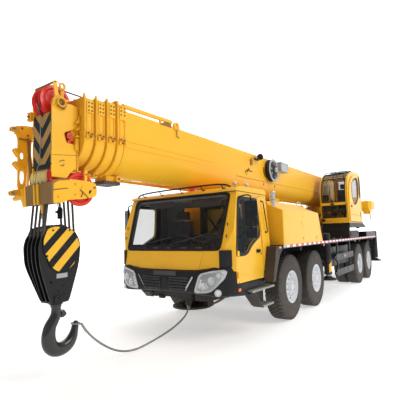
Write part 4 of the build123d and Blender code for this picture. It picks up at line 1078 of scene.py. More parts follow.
# cab side trim: seam lines, grab handle, marker behind the screen corner, gutter
g = G("cab_side_trim", "carrier", [CHEVB, YEL, ORANGE, TRIM], bevel=.0015)
for sx in (-1, 1):
    gx = lambda z, o=0: sx * (side_x(z) + o)
    g.tube([P(gx(2.20, -.01), -.905, 2.20), P(gx(2.20, .035), -.905, 2.21), P(gx(2.15, .042), -.903, 2.15), P(gx(1.75, .042), -.842, 1.72),
            P(gx(1.66, .035), -.835, 1.655), P(gx(1.66, -.01), -.838, 1.665)], .0095, 0, 12, 2)
    for s, z in ((-.905, 2.205), (-.836, 1.66)):
        g.cyl(P(gx(z, -.002), s, z), P(gx(z, .006), s, z), .020, 0, 16)
    # rain gutter over the door
    g.tube([P(sx * 1.158, -1.715, 2.268), P(sx * 1.157, -1.68, 2.288), P(sx * 1.157, -.72, 2.300)], .009, 1, 8, 1)
    # black extension of the door's window frame over the pillar
    g.solid([P(gx(z, .0006), s, z) for s, z in [(-1.925, 1.315), (-1.905, 1.315), (-1.905, 1.43), (-1.762, 2.150), (-1.772, 2.165), (-1.925, 1.46)]],
            Vector((sx * .003, 0, 0)), 0)
    # side marker under the screen's corner and small lamps on the pillar
    g.ball(P(sx * 1.088, -2.006, 1.62), .012, 0, (.8, .8, 2.2), 10, 8)
    g.ball(P(sx * 1.086, -1.955, 1.80), .012, 0, (.8, .8, 2.2), 10, 8)
g.done()

# interior: dash, instrument hood, wheel, seats with their headrests, levers
g = G("cab_interior", "carrier", [TRIM, FABRIC, LINING, CHROME], bevel=.010, seg=3)
g.px(-1.10, 1.10, corner_round([(-1.93, 1.20), (-1.94, 1.36), (-1.85, 1.405), (-1.70, 1.400), (-1.64, 1.34), (-1.66, 1.062), (-1.88, 1.062)], .03, 3), 0)
g.px(.28, .78, corner_round([(-1.86, 1.40), (-1.80, 1.475), (-1.68, 1.465), (-1.64, 1.38), (-1.70, 1.36)], .03, 3), 0)
g.tube([P(.52, -1.70, 1.22), P(.52, -1.60, 1.38), P(.52, -1.49, 1.49)], .036, 0, 16, 1)
c = P(.52, -1.465, 1.515)
ax = Vector((0, .707, .707))
ring = []
ux, uy = Vector((1, 0, 0)), ax.cross(Vector((1, 0, 0)))
bm = g.bm
vv = [[bm.verts.new(c + (ux * math.cos(a) + uy * math.sin(a)) * (.21 + .0165 * math.cos(b_)) + ax * .0165 * math.sin(b_)) for b_ in [2 * math.pi * j / 10 for j in range(10)]]
      for a in [2 * math.pi * i / 40 for i in range(40)]]
fs = [bm.faces.new((vv[i][j], vv[(i + 1) % 40][j], vv[(i + 1) % 40][(j + 1) % 10], vv[i][(j + 1) % 10])) for i in range(40) for j in range(10)]
g._m(fs, 0)
for a in (90, 210, 330):
    a = math.radians(a)
    g.tube([c - ax * .01, c + (ux * math.cos(a) + uy * math.sin(a)) * .20], .013, 0, 8, 0)
g.ball(c - ax * .006, .055, 0, (1, 1, .7))
for x in (-.56, .56):
    g.px(x - .17, x + .17, [(-1.34, 1.062), (-.97, 1.062), (-1.0, 1.25), (-1.30, 1.25)], 0)
    g.px(x - .235, x + .235, corner_round([(-1.42, 1.27), (-1.42, 1.38), (-1.36, 1.43), (-.95, 1.40), (-.93, 1.25), (-1.38, 1.25)], .04, 4), 1)
    g.px(x - .225, x + .225, corner_round([(-1.06, 1.36), (-1.03, 1.70), (-.98, 1.92), (-.90, 1.93), (-.87, 1.70), (-.92, 1.36)], .05, 4), 1)
    g.px(x - .14, x + .14, corner_round([(-.985, 1.945), (-.975, 2.11), (-.90, 2.12), (-.885, 1.945)], .04, 4), 1)
    for e in (-.07, .07):
        g.cyl(P(x + e, -.94, 1.90), P(x + e, -.935, 1.97), .008, 3, 8)
    g.px(x - .27, x - .235, corner_round([(-1.30, 1.50), (-1.05, 1.52), (-1.05, 1.57), (-1.30, 1.56)], .02, 3), 0)
g.px(-.20, .20, corner_round([(-1.62, 1.062), (-1.60, 1.24), (-1.36, 1.22), (-1.34, 1.062)], .03, 3), 0)
g.tube([P(.18, -1.45, 1.22), P(.18, -1.43, 1.40), P(.17, -1.42, 1.47)], .010, 3, 10, 1)
g.ball(P(.17, -1.42, 1.49), .026, 0)
# sun visors and the roof console
for x in (-.5, .5):
    g.slab(P(x, -1.655, 2.235), Vector((.30, 0, 0)), Vector((0, .03, .085)), Vector((0, .005, -.002)), 0)
g.px(-.9, .9, corner_round([(-1.60, 2.30), (-1.60, 2.25), (-1.35, 2.24), (-1.30, 2.30)], .02, 3), 2)
g.done("cab_seats_and_dash", slot="dark_trim")

# treads, hangers and mudguards
g = G("steps_and_guards", "carrier", [ALU, BLKP, MUDB, ORANGE, BLK], bevel=.003)
for sx in (-1, 1):
    for s0, s1, z in ((-1.62, -.80, .741), (-1.26, -.86, .459)):
        g.box(sx * 1.075, sx * 1.30, s0, s1, z - .004, z + .016, 0)
        g.box(sx * 1.285, sx * 1.30, s0, s1, z - .018, z - .0035, 0)
        n = int((s1 - s0) / .033)
        for i in range(n):
            for j in range(6):
                g.slab(P(sx * (1.10 + .034 * j), s0 + .03 + i * .033, z + .0165), Vector((.010, .010 if (i + j) % 2 else -.010, 0)), Vector((-.002, .002, 0)) if (i + j) % 2 else Vector((.002, .002, 0)),
                       Vector((0, 0, .0016)), 0)
    # black skirt behind the bumper's end, with the toolbox-like valance over the lower tread
    g.px(sx * 1.185, sx * 1.212, [(-1.42, .660), (-1.42, .889), (-1.00, .889), (-1.00, .800), (-1.28, .745), (-1.36, .70)], 1)
    g.px(sx * 1.055, sx * 1.185, [(-1.90, .72), (-1.90, .875), (-.99, .875), (-.99, .775), (-1.60, .755)], 4)
    g.px(sx * 1.08, sx * 1.11, [(-1.56, .722), (-.86, .722), (-.86, .44), (-.96, .44), (-1.20, .44), (-1.26, .46)], 4)
    g.px(sx * 1.11, sx * 1.30, [(-1.555, .722), (-1.53, .722), (-1.235, .44), (-1.26, .44)], 4)
    # mudguard: flat cheek, rolled front, arched liner
    arch = [(-.985, .830), (-.930, .830), (-.860, .98), (-.790, 1.150), (-.700, 1.270), (-.575, 1.345)]
    cheek = [(-1.035, .830), (-.985, .830), (-.935, .830), (-.880, .955), (-.80, 1.12), (-.715, 1.245), (-.600, 1.335), (-.585, 1.345), (-.585, 1.412), (-.860, 1.412)]
    g.px(sx * 1.392, sx * 1.372, cheek, 2)
    front = [(-1.035, .830), (-.860, 1.412), (-.585, 1.412), (-.585, 1.392), (-.845, 1.392), (-1.015, .830)]
    g.px(sx * 1.213, sx * 1.373, front, 2)
    g.px(sx * 1.0, sx * 1.213, [(-.690, 1.300), (-.585, 1.385), (-.585, 1.345), (-.64, 1.30), (-.69, 1.255)], 2)
    liner = [(-.985, .832), (-.930, .832), (-.860, .98), (-.790, 1.150), (-.700, 1.270), (-.590, 1.343), (-.590, 1.372), (-.715, 1.296), (-.812, 1.165), (-.885, .99), (-.960, .85)]
    g.px(sx * 1.213, sx * 1.374, liner, 2)
    g.slab(P(sx * 1.389, -.690, 1.385), Vector((0, .045, 0)), Vector((0, 0, .018)), Vector((sx * .006, 0, 0)), 3)
    for s, z in ((-.955, .95), (-.90, 1.15), (-.83, 1.37), (-.63, 1.38)):
        g.bolt(P(sx * 1.392, s, z), Vector((sx, 0, 0)), .008, .005, 2)
g.done("steps_and_mudguards", slot="step_metal")

# ---- engine hood ---------------------------------------------------------------------------------
def hood_paint(x, s, z, n):
    if abs(x) > 1.355 and abs(n.x) < .9 and z < 1.43:
        return 2
    c = Vector((x, Y0 + s, z)) - P(0, .5, 1.75)
    return 2 if c.dot(n) < 0 and abs(x) < 1.362 and -.51 < s < 1.66 else 0


hood = soften("engine_hood", "carrier", [YEL, EXH, BLK], .012, 3,
       paint=lambda x, s, z, n: 1 if (z > 2.25 or (z > 2.13 and abs(abs(x) - 1.13) < .1 and abs(s + .33) < .1)) else hood_paint(x, s, z, n))
# the silver stack is drawn slimmer than its construction tube
for v in hood.data.vertices:
    for e in (-1, 1):
        if v.co.z > 2.10 and math.hypot(v.co.x - e * 1.13, v.co.y - Y0 + .33) < .115 and (v.co.z > 2.25 or math.hypot(v.co.x - e * 1.13, v.co.y - Y0 + .33) < .0935):
            v.co.x = e * 1.13 + (v.co.x - e * 1.13) * .55
            v.co.y = Y0 - .33 + (v.co.y - Y0 + .33) * .55
g = G("hood_trim", "carrier", [YEL, CHEVB, EXH, TRIM, SILVER, STEEL], bevel=.002)
for sx in (-1, 1):
    # raised field of the side panel, its pressed steps, the panel joints and the latches
    X = sx * 1.4
    top = [(-.525, 2.068), (-.525, 1.432), (1.700, 1.432), (1.705, 1.473), (1.49, 2.035), (1.44, 2.068)]
    holed(g, [[P(X - sx * .0005, s, z) for s, z in corner_round(top, .03, 3)],
              [P(X - sx * .0005, s, z) for s, z in corner_round([(-.465, 1.860), (-.465, 1.455), (1.63, 1.455), (1.672, 1.500), (1.595, 1.735), (.50, 1.735), (.43, 1.860)], .02, 3)]],
          Vector((sx * .006, 0, 0)), 0)
    for s in (-.50, .46, 1.30):
        for z in (1.52, 1.95):
            g.slab(P(X + sx * .006, s + .04, z), Vector((0, .016, 0)), Vector((0, 0, .028)), Vector((sx * .003, 0, 0)), 0)
            g.cyl(P(X + sx * .008, s + .04, z), P(X + sx * .0125, s + .04, z), .006, 0, 12)
    # handle bar on the crest
    g.tube([P(sx * 1.04, 1.16, 2.200), P(sx * 1.04, 1.17, 2.290), P(sx * 1.04, 1.30, 2.330), P(sx * 1.04, 1.46, 2.290), P(sx * 1.10, 1.52, 2.120)], .010, 4, 10, 2)
    g.tube([P(sx * 1.12, 1.10, 2.180), P(sx * 1.12, 1.12, 2.235), P(sx * 1.12, 1.34, 2.235), P(sx * 1.12, 1.36, 2.150)], .008, 4, 10, 2)
    # hinge line of the roof panel
    for s in (-.30, .30, .90):
        g.cyl(P(sx * 1.085, s - .05, 2.238), P(sx * 1.085, s + .05, 2.238), .010, 0, 10)
# roof seams, filler cap, engine air grille between the crests
for s in (-.05, .62, 1.20):
    g.slab(P(0, s, 2.2405), Vector((1.06, 0, 0)), Vector((0, .012, 0)), Vector((0, 0, .0025)), 0)
for k in range(12):
    g.slab(P(0, -.36 + .022 * k, 2.2405), Vector((.55, 0, 0)), Vector((0, .006, 0)), Vector((0, .003, .005)), 3)
g.lathe(P(-.55, .28, 2.24), UP, [(0, 0), (0, .055), (.018, .055), (.024, .045), (.026, 0)], 1, 28, False)
# exhaust: silver stack with its clamp bands, heat shield and slanted mouth; air intake on the right
c = P(1.13, -.33, 0)
g.lathe(P(1.13, -.33, 2.10), UP, [(0, .0485), (0, .056), (.012, .056), (.012, .0485)], 5, 32)
g.lathe(P(1.13, -.33, 2.26), UP, [(0, .0485), (0, .056), (.014, .056), (.014, .0485)], 5, 32)
g.lathe(P(1.13, -.33, 2.405), UP, [(0, .046), (.0, .054), (.020, .054), (.028, .049), (.026, .040), (.0, .038)], 2, 32)
g.lathe(P(-1.13, -.33, 2.36), UP, [(0, .040), (0, .062), (.018, .066), (.05, .062), (.066, .03), (.068, 0)], 1, 32, False)
g.done()
# hood's front closing panel stiffeners behind the cab, and the hoses beside them
g = G("cab_rear_gear", "carrier", [BLK, TRIM, STEEL, YEL, SILVER], bevel=.003)
for x in (-1.0, -.35, .35, 1.0):
    g.box(x - .02, x + .02, -.558, -.5405, 1.44, 2.18, 3)
for k in range(4):
    x = .78 + k * .045
    g.tube([P(x, -.62, 1.25), P(x, -.61, 1.7), P(x - .05, -.60, 2.0), P(x - .1, -.575, 2.1)], .011, 1, 8, 2)
g.tube([P(.62, -.63, 1.30), P(.60, -.64, 2.05), P(.55, -.62, 2.25)], .025, 2, 12, 2)
# latch that keeps the tilting cab down, and its strut
for sx in (-1, 1):
    g.box(sx * .86, sx * .94, -.698, -.60, 1.16, 1.30, 0)
    g.cyl(P(sx * .90, -.65, 1.10), P(sx * .90, -.65, 1.17), .022, 2, 14)
    g.box(sx * .84, sx * .96, -.70, -.57, 1.08, 1.105, 0)
g.done()

# ---- deck, boom rest and side rails ------------------------------------------------------------------
soften("deck", "carrier", [DECKM, YEL, BLK], .004, 2, slot="deck_plate",
       paint=lambda x, s, z, n: 0 if z > 1.40 and abs(n.z) > .9 and s > -.56 else 2)
g = G("deck_trim", "carrier", [REDR, WHITER, BLK, GREYBOX, ORANGE, REDL, STEEL, ALU, CHEVB], bevel=.0015)
for sx in (-1, 1):
    # red and white band along the edge of the deck
    s, k = -.555, 0
    g.box(sx * 1.4005, sx * 1.4035, -.56, -.415, 1.372, 1.418, 3)
    while s < 8.20:
        L_ = .150 if k % 2 else .150
        if s > -.44:
            g.box(sx * 1.4005, sx * 1.4030, s + .002, min(s + L_, 8.235) - .002, 1.372, 1.418, k % 2)
        s += L_
        k += 1
    for s in (-.548, 8.25):
        g.box(sx * 1.4003, sx * 1.404, s - .012, s + .012, 1.362, 1.419, 3)
    # amber side markers and reflectors on the lower edge
    for s in (1.83, 4.95, 7.60):
        g.ball(P(sx * 1.401, s, 1.325), .028, 4, (.35, 1.3, .8))
        g.box(sx * 1.375, sx * 1.399, s - .04, s + .04, 1.30, 1.35, 2)
    # toe boards and lashing rings on the deck
    for s in (2.2, 3.4, 4.1):
        g.slab(P(sx * 1.10, s, 1.4225), Vector((.10, 0, 0)), Vector((0, .10, 0)), Vector((0, 0, .0015)), 7)
        g.tube([P(sx * 1.22, s - .035, 1.424), P(sx * 1.22, s - .03, 1.462), P(sx * 1.22, s + .03, 1.462), P(sx * 1.22, s + .035, 1.424)], .007, 6, 8, 2)
    # tread strips along the walkway
    for i in range(26):
        s = 1.95 + i * .105
        for j in range(3):
            g.slab(P(sx * (.86 + .11 * j), s, 1.4212), Vector((.022, .022 if (i + j) % 2 else -.022, 0)), Vector((-.003, .003, 0)) if (i + j) % 2 else Vector((.003, .003, 0)), Vector((0, 0, .0012)), 2)
    # rail brackets with their bolts
    for s in (3.03, 4.33):
        for z in (.97, .575):
            for e in (-.02, .02):
                g.bolt(P(sx * 1.3862, s + e, z), Vector((sx, 0, 0)), .009, .007, 6)
    for z0, z1 in ((.890, 1.050), (.490, .660)):
        g.box(sx * 1.345, sx * 1.3915, 2.86, 4.66, z0, z1, 8)
    g.box(sx * 1.3915, sx * 1.3945, 3.62, 3.80, .938, 1.000, 7)
# low stowage boxes along the rear of the deck
for sx in (-1, 1):
    g.box(sx * 1.10, sx * 1.392, 6.72, 8.40, 1.4205, 1.575, 8)
    g.box(sx * 1.09, sx * 1.397, 6.71, 8.41, 1.575, 1.590, 2)
    for s in (7.00, 7.55, 8.10):
        g.box(sx * 1.392, sx * 1.398, s - .03, s + .03, 1.53, 1.60, 6)
# wooden-looking rest pad of the boom and its rubber blocks
for x in (-.28, .28):
    g.box(x - .045, x + .045, -.676, -.549, 2.4685, 2.496, 8)
g.solid([P(x, -.672, z) for x, z in [(-.225, 2.296), (.225, 2.296), (.225, 2.20), (.16, 2.14), (-.16, 2.14), (-.225, 2.20)]], Vector((0, .012, 0)), 2)
for z0, z1 in ((1.50, 2.10),):
    g.tube([P(-.225, -.60, z0), P(.225, -.60, z1)], .018, 2, 10, 0)
    g.tube([P(.225, -.62, z0), P(-.225, -.62, z1)], .018, 2, 10, 0)
# rear: tail bumper with its lamps, plate field left blank, mud flaps
g.box(-1.25, 1.25, 8.452, 8.50, 1.10, 1.36, 2)
for sx in (-1, 1):
    for i, m_ in enumerate((5, 4, 1)):
        x = sx * (1.14 - i * .125)
        g.lathe(P(x, 8.498, 1.23), BACK, [(0, 0), (0, .052), (.018, .050), (.026, .038), (.030, 0)], m_, 26, False)
    g.box(sx * .62, sx * .80, 8.50, 8.506, 1.16, 1.30, 5)
    g.box(sx * .90, sx * 1.32, 8.300, 8.312, .48, 1.02, 8)
    g.box(sx * .90, sx * 1.32, 8.290, 8.322, 1.0, 1.04, 2)
g.box(-.26, .26, 8.50, 8.508, 1.15, 1.29, 3)
g.done()

# ---- frame, axles, tanks, springs ---------------------------------------------------------------------
soften("chassis_frame", "carrier", [BLK], .005, 2, slot="black_paint")
soften("axle_beams", "carrier", [BLK], .008, 2, slot="black_paint")
g = G("chassis_detail", "carrier", [BLK, STEEL, TRIM, GREYBOX, ALU, YEL, CAST], bevel=.0025)
# rivet-like bolts and stiffeners down the frame's side
for sx in (-1, 1):
    for s in [2.9 + .42 * k for k in range(13)]:
        g.box(sx * .400, sx * .412, s - .012, s + .012, .80, 1.34, 0)
    for s in [-.5 + .3 * k for k in range(30)]:
        g.bolt(P(sx * .4005, s, 1.30), Vector((sx, 0, 0)), .012, .010, 1)
    # spring leaves of the front axles, their clips and the shackles
    for a in AXLES[:2]:
        for k in range(3):
            h = .46 - .11 * k
            g.box(sx * .302, sx * .368, a - h, a + h, .690 - .020 * k, .7045 - .020 * k, 6)
        for e in (-.11, .11):
            for q in (-.03, .03):
                g.cyl(P(sx * (.335 + q * 1.6), a + e, .56), P(sx * (.335 + q * 1.6), a + e, .79), .011, 1, 10)
        g.box(sx * .285, sx * .385, a - .14, a + .14, .765, .785, 0)
        # damper
        g.cyl(P(sx * .47, a + .05, .66), P(sx * .47, a + .16, .95), .034, 2, 18)
        g.cyl(P(sx * .47, a + .16, .95), P(sx * .47, a + .24, 1.17), .022, 1, 14)
        # tie rod and drag link
    for a in AXLES[2:]:
        g.lathe(P(sx * .95, a, TYRE_R), Vector((sx, 0, 0)), [(0, .06), (0, .17), (.03, .19), (.16, .19), (.20, .12), (.20, .06)], 6, 36)
        g.cyl(P(sx * .62, a - .16, .70), P(sx * .62, a - .16, .92), .075, 6, 24)
        for e in (-.13, .13):
            for q in (-.045, .045):
                g.cyl(P(sx * (.465 + q), a + e, .52), P(sx * (.465 + q), a + e, .84), .012, 1, 10)
    # leaves of the rear walking spring
    m_ = (AXLES[2] + AXLES[3]) / 2
    for k in range(5):
        g.box(sx * .425, sx * .505, m_ - .60 + .09 * k, m_ + .60 - .09 * k, .791 + .016 * k, .8055 + .016 * k, 6)
for a in AXLES[:2]:
    g.tube([P(-.78, a + .16, .585), P(.78, a + .16, .585)], .020, 1, 12, 0)
    g.tube([P(.62, a - .10, .60), P(.55, a - .62, .72), P(.46, a - .75, .80)], .022, 1, 12, 1)
for a in AXLES[2:]:
    # final-drive housings with their bolted covers
    g.lathe(P(0, a + .16, TYRE_R), BACK, [(0, 0), (0, .205), (.05, .20), (.10, .14), (.12, 0)], 6, 36, False)
    for k in range(12):
        t = math.radians(30 * k)
        g.bolt(P(.185 * math.cos(t), a + .205, TYRE_R + .185 * math.sin(t)), BACK, .011, .012, 1)
    g.cyl(P(0, a - .34, TYRE_R + .02), P(0, a - .20, TYRE_R), .085, 6, 24)
g.cyl(P(0, AXLES[2] + .32, TYRE_R + .02), P(0, AXLES[3] - .33, TYRE_R + .02), .052, 1, 20)
g.cyl(P(0, 3.0, .80), P(0, AXLES[2] - .33, TYRE_R + .03), .055, 1, 20)
# gearbox and exhaust silencer under the frame
g.cyl(P(0, 1.55, .86), P(0, 2.15, .82), .21, 6, 28, .15)
g.box(-.26, .26, .85, 1.55, .70, 1.02, 6)
g.box(-.22, .22, .95, 1.45, .64, .70, 2)
g.cyl(P(-.62, 1.9, .98), P(-.62, 2.75, .98), .14, 3, 28)
g.tube([P(-.3, 1.2, .9), P(-.62, 1.5, .98), P(-.62, 1.9, .98)], .045, 3, 14, 2)
# air tanks between the frame's sides
for s in (3.5, 3.95, 4.4):
    g.cyl(P(-.34, s, .70), P(.34, s, .70), .11, 0, 26)
    for x in (-.2, .2):
        g.lathe(P(x, s, .70), LEFT, [(0, .1105), (0, .116), (.02, .116), (.02, .1105)], 1, 26)
# hoses and pipes along the frame
for k in range(4):
    g.tube([P(.418 + .018 * k, -.3, 1.05 + .05 * k), P(.418 + .018 * k, 2.0, 1.05 + .05 * k), P(.418 + .018 * k, 4.3, 1.0 + .05 * k)], .009, 2, 8, 1)
# front frame: belly plate, jack sleeve collar, towing eye's gussets
g.box(-.40, .40, -2.012, -1.62, .632, .6395, 0)
g.lathe(P(0, -1.45, .545), UP, [(0, .131), (0, .150), (.05, .150), (.05, .131)], 0, 40)
for k in range(8):
    t = math.radians(45 * k + 20)
    g.bolt(P(.1405 * math.cos(t), -1.45 + .1405 * math.sin(t), .545), -UP, .010, .012, 1)
for e in (-.035, .035):
    g.px(.2 + e * .9, .2 + e * .62, [(-1.93, .64), (-1.71, .64), (-1.76, .56), (-1.88, .56)], 0)
# steering box, tow hooks and dark underside behind the bumper
g.box(.46, .72, -1.98, -1.55, .60, .98, 0)
g.cyl(P(.60, -1.76, .50), P(.60, -1.76, .62), .05, 0, 20)
g.tube([P(.60, -1.76, .52), P(.55, -1.5, .50), P(.50, -1.0, .56)], .022, 1, 12, 1)
g.box(-.74, -.50, -1.95, -1.60, .66, .98, 0)
g.px(-.27, -.21, corner_round([(-2.04, .66), (-2.04, .60), (-1.95, .585), (-1.88, .64), (-1.88, .66)], .02, 3), 0)
g.done()

# fuel tank and boxes: rounded tank with straps, lidded boxes
soften("fuel_tank_and_boxes", "carrier", [CHEVB], .03, 4, slot="black_paint")
g = G("tank_fittings", "carrier", [CHEVB, CHEVB, BLK, GREYBOX, STEEL], bevel=.002)
for sx in (-1, 1):
    for s in (3.15, 3.82, 4.50):
        g.px(sx * .70, sx * 1.252, [(s - .03, 1.2405), (s + .03, 1.2405), (s + .03, 1.2465), (s - .03, 1.2465)], 0)
        g.px(sx * 1.2405, sx * 1.2465, [(s - .03, .74), (s + .03, .74), (s + .03, 1.245), (s - .03, 1.245)], 0)
    g.lathe(P(sx * 1.02, 3.48, 1.240), UP, [(0, 0), (0, .06), (.03, .06), (.04, .05), (.042, 0)], 1, 28, False)
    for k in range(5):
        g.box(sx * 1.2405, sx * 1.2475, 3.95 + k * .10, 4.03 + k * .10, 1.0, 1.03, 1)
    for s in (7.80, 8.08):
        g.slab(P(sx * 1.203, s, 1.12), Vector((0, .035, 0)), Vector((0, 0, .014)), Vector((sx * .008, 0, 0)), 0)
    g.box(sx * 1.201, sx * 1.205, 7.74, 8.14, 1.19, 1.195, 0)
g.done()

# steering knuckles: forged yokes with their arms and brake cans
for i in (1, 2):
    for nm, sx in (("left", 1), ("right", -1)):
        soften("knuckle_%d_%s" % (i, nm), "knuckle_%d_%s" % (i, nm), [CAST], .006, 2, slot="cast_grey")

# outriggers: beams, columns, feet
for end in ("front", "rear"):
    for nm, sx in (("left", 1), ("right", -1)):
        soften("outrigger_outer_beam_%s_%s" % (end, nm), "outer_beam_%s_%s" % (end, nm), [BLK], .006, 2, slot="black_paint")
        lo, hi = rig.box("outrigger_inner_beam_%s_%s" % (end, nm))
        c0 = (lo.y + hi.y) / 2 - Y0
        soften("outrigger_inner_beam_%s_%s" % (end, nm), "inner_beam_%s_%s" % (end, nm), [BLK], .008, 3, slot="black_paint")
        soften("outrigger_jack_%s_%s" % (end, nm), "jack_%s_%s" % (end, nm), [STEEL, BLK], .006, 2, slot="chromed_rod",
               paint=lambda x, s, z, n: 1 if z < .565 else 0)
        g = G("column_fittings_%s_%s" % (end, nm), "inner_beam_%s_%s" % (end, nm), [BLK, STEEL, YEL, WHITER, REDR, TRIM, CHEVB], bevel=.0015)
        cx = sx * 1.31
        for z in (.62, 1.50):
            g.lathe(P(cx, c0, z), UP, [(0, .0885), (0, .098), (.030, .098), (.030, .0885)], 0, 36)
        g.lathe(P(cx, c0, 1.578), UP, [(0, 0), (0, .078), (.010, .078), (.014, .03), (.028, .026), (.030, 0)], 0, 36, False)
        for k in range(8):
            t = math.radians(45 * k)
            g.bolt(P(cx + .066 * math.cos(t), c0 + .066 * math.sin(t), 1.588), UP, .008, .008, 1)
        # gussets between the beam's end and the column
        for e in (-.05, .05):
            g.px(cx - sx * .075 + 0, cx - sx * .075 - sx * .012, [(c0 + e - .006, .985), (c0 + e + .006, .985), (c0 + e + .006, 1.265), (c0 + e - .006, 1.265)], 0)
        # marker patch wrapped round the column's outer side
        rows_ = []
        for k in range(9):
            t = math.radians(-52 + 13 * k)
            rows_.append((math.cos(t), math.sin(t)))
        for j, m_ in ((0, 2 if end == "front" else 0),):
            z0 = .68
            ring1 = [P(cx + sx * .0888 * a, c0 + .0888 * b, z0 - .05 + .10 * (b + .8)) for a, b in rows_]
            ring2 = [P(cx + sx * .0888 * a, c0 + .0888 * b, z0 + .16 + .10 * (b + .8)) for a, b in rows_]
            ring3 = [P(cx + sx * .0903 * a, c0 + .0903 * b, z0 + .16 + .10 * (b + .8)) for a, b in rows_]
            ring4 = [P(cx + sx * .0903 * a, c0 + .0903 * b, z0 - .05 + .10 * (b + .8)) for a, b in rows_]
            vs_ = [[g.bm.verts.new(p) for p in r_] for r_ in (ring1, ring2, ring3, ring4)]
            fs = []
            for q in range(8):
                for r0, r1 in ((0, 1), (1, 2), (2, 3), (3, 0)):
                    fs.append(g.bm.faces.new((vs_[r0][q], vs_[r1][q], vs_[r1][q + 1], vs_[r0][q + 1])))
            fs.append(g.bm.faces.new([vs_[r][0] for r in (3, 2, 1, 0)]))
            fs.append(g.bm.faces.new([vs_[r][8] for r in (0, 1, 2, 3)]))
            bmesh.ops.recalc_face_normals(g.bm, faces=fs)
            g._m(fs, m_)
        # jack hose
        g.tube([P(cx - sx * .02, c0 + .088, 1.52), P(cx - sx * .04, c0 + .115, 1.45), P(cx - sx * .10, c0 + .10, 1.32), P(cx - sx * .14, c0 + .06, 1.268)], .010, 5, 8, 2)
        g.done()
        g = G("foot_%s_%s" % (end, nm), "jack_%s_%s" % (end, nm), [BLK, STEEL], bevel=.002)
        r_ = .19 if end == "front" else .20
        g.lathe(P(cx, c0, .4985), UP, [(0, r_ - .045), (0, r_ - .004), (.012, r_ - .008), (.012, r_ - .041)], 0, 40)
        for k in range(6):
            t = math.radians(60 * k)
            u = Vector((math.cos(t), math.sin(t), 0))
            v = Vector((-math.sin(t), math.cos(t), 0))
            a, b = P(cx, c0, .4995) + u * .089, P(cx, c0, .4995) + u * (r_ - .05)
            g.solid([a, b, b + UP * .008, a + UP * .05], v * .010, 0)
        g.done()
g = G("centre_jack_foot", "centre_jack", [BLK, STEEL], bevel=.003)
g.lathe(P(0, -1.45, .385), UP, [(0, 0), (0, .35), (.020, .352), (.040, .345), (.060, .20), (.085, .10), (.090, .0895), (.55, .0895), (.55, 0)], 0, 56, False)
for k in range(8):
    t = math.radians(45 * k)
    u, v = Vector((math.cos(t), math.sin(t), 0)), Vector((-math.sin(t), math.cos(t), 0))
    a, b = P(0, -1.45, .425) + u * .088, P(0, -1.45, .425) + u * .30
    g.solid([a, b, a + UP * .10], v * .012, 0)
g.done("centre_jack")

# ---- turntable ------------------------------------------------------------------------------------
def tt_paint(x, s, z, n):
    ax = abs(x)
    if abs(s - 7.3) < .075 and abs(z - 2.8) < .075 and ax > .43:
        return 2
    if z > 1.668 and .39 < ax < .452:
        return 1
    if x < -.99 and z > 1.708:
        return 1
    if s > 8.32 and z > 1.67:
        return 1
    return 0


o = soften("turntable", "superstructure", [BLK, YEL, STEEL], .006, 2, slot="black_paint", tri=True, paint=tt_paint)
# the counterweight's arms are drawn closer in, against the cheeks
bm = bmesh.new()
bm.from_mesh(o.data)
bmesh.ops.delete(bm, geom=[v for v in bm.verts if abs(v.co.x) > 1.195 and v.co.y - Y0 > 7.2995 and v.co.z > 1.63 and v.co.y - Y0 > 7.30], context="VERTS")
bm.to_mesh(o.data)
bm.free()
# the valve box is drawn narrower, so that it stays behind the operator's cab as in the picture
for v in o.data.vertices:
    if v.co.x > 1.2 and v.co.y - Y0 > 6.38 and v.co.z > 1.76:
        v.co.x -= .34
g = G("turntable_fittings", "superstructure", [BLK, YEL, STEEL, TRIM, CAST, DECKM, GREYBOX, RED, SILVER, ALU], bevel=.003)
for k in range(48):
    a = 2 * math.pi * k / 48
    g.bolt(P(.822 * math.cos(a), 5.2 + .822 * math.sin(a), 1.6055), UP, .016, .022, 2)
g.lathe(P(0, 5.2, 0), UP, [(1.395, .690), (1.395, .735), (1.424, .735), (1.424, .690)], 4, 72)
for sd_ in (-1, 1):
    g.px(sd_ * .407, sd_ * .437, [(8.10, 1.70), (8.10, 2.40), (8.34, 2.438), (9.10, 2.438), (8.95, 2.25), (8.60, 2.02), (8.36, 1.70)], 1)
    g.px(sd_ * .390, sd_ * .450, [(8.37, 2.425), (9.12, 2.425), (9.12, 2.4445), (8.37, 2.4445)], 1)
    # edge stiffeners along the cheeks, pin keepers
    for (sa, za), (sb, zb) in (((4.91, 2.150), (6.50, 2.620)), ((6.50, 2.620), (7.15, 2.995))):
        d = Vector((0, sb - sa, zb - za)).normalized()
        nrm = Vector((0, -d.z, d.y))
        g.slab((P(sd_ * .425, sa, za) + P(sd_ * .425, sb, zb)) / 2 - nrm * .004, d * ((Vector((0, sb - sa, zb - za))).length / 2 - .01), LEFT * .038, nrm * .010, 1)
    g.cyl(P(sd_ * .440, 7.300, 2.800), P(sd_ * .452, 7.300, 2.800), .115, 1, 36)
    g.cyl(P(sd_ * .440, 5.400, 1.850), P(sd_ * .450, 5.400, 1.850), .095, 1, 36)
    for s, z in ((7.300, 2.800), (5.400, 1.850)):
        g.px(sd_ * .451, sd_ * .467, [(s - .05, z - .022), (s + .05, z - .022), (s + .05, z + .022), (s - .05, z + .022)], 2)
        for e in (-.035, .035):
            g.bolt(P(sd_ * .467, s + e, z), LEFT * sd_, .009, .009, 2)
    # winch side bearings
    g.lathe(P(sd_ * .440, 8.010, 2.020), LEFT * sd_, [(0, .061), (0, .16), (.018, .16), (.030, .12), (.030, .061)], 4, 40)
    for k in range(8):
        a = 2 * math.pi * k / 8
        g.bolt(P(sd_ * .458, 8.010 + .138 * math.cos(a), 2.020 + .138 * math.sin(a)), LEFT * sd_, .010, .010, 2)
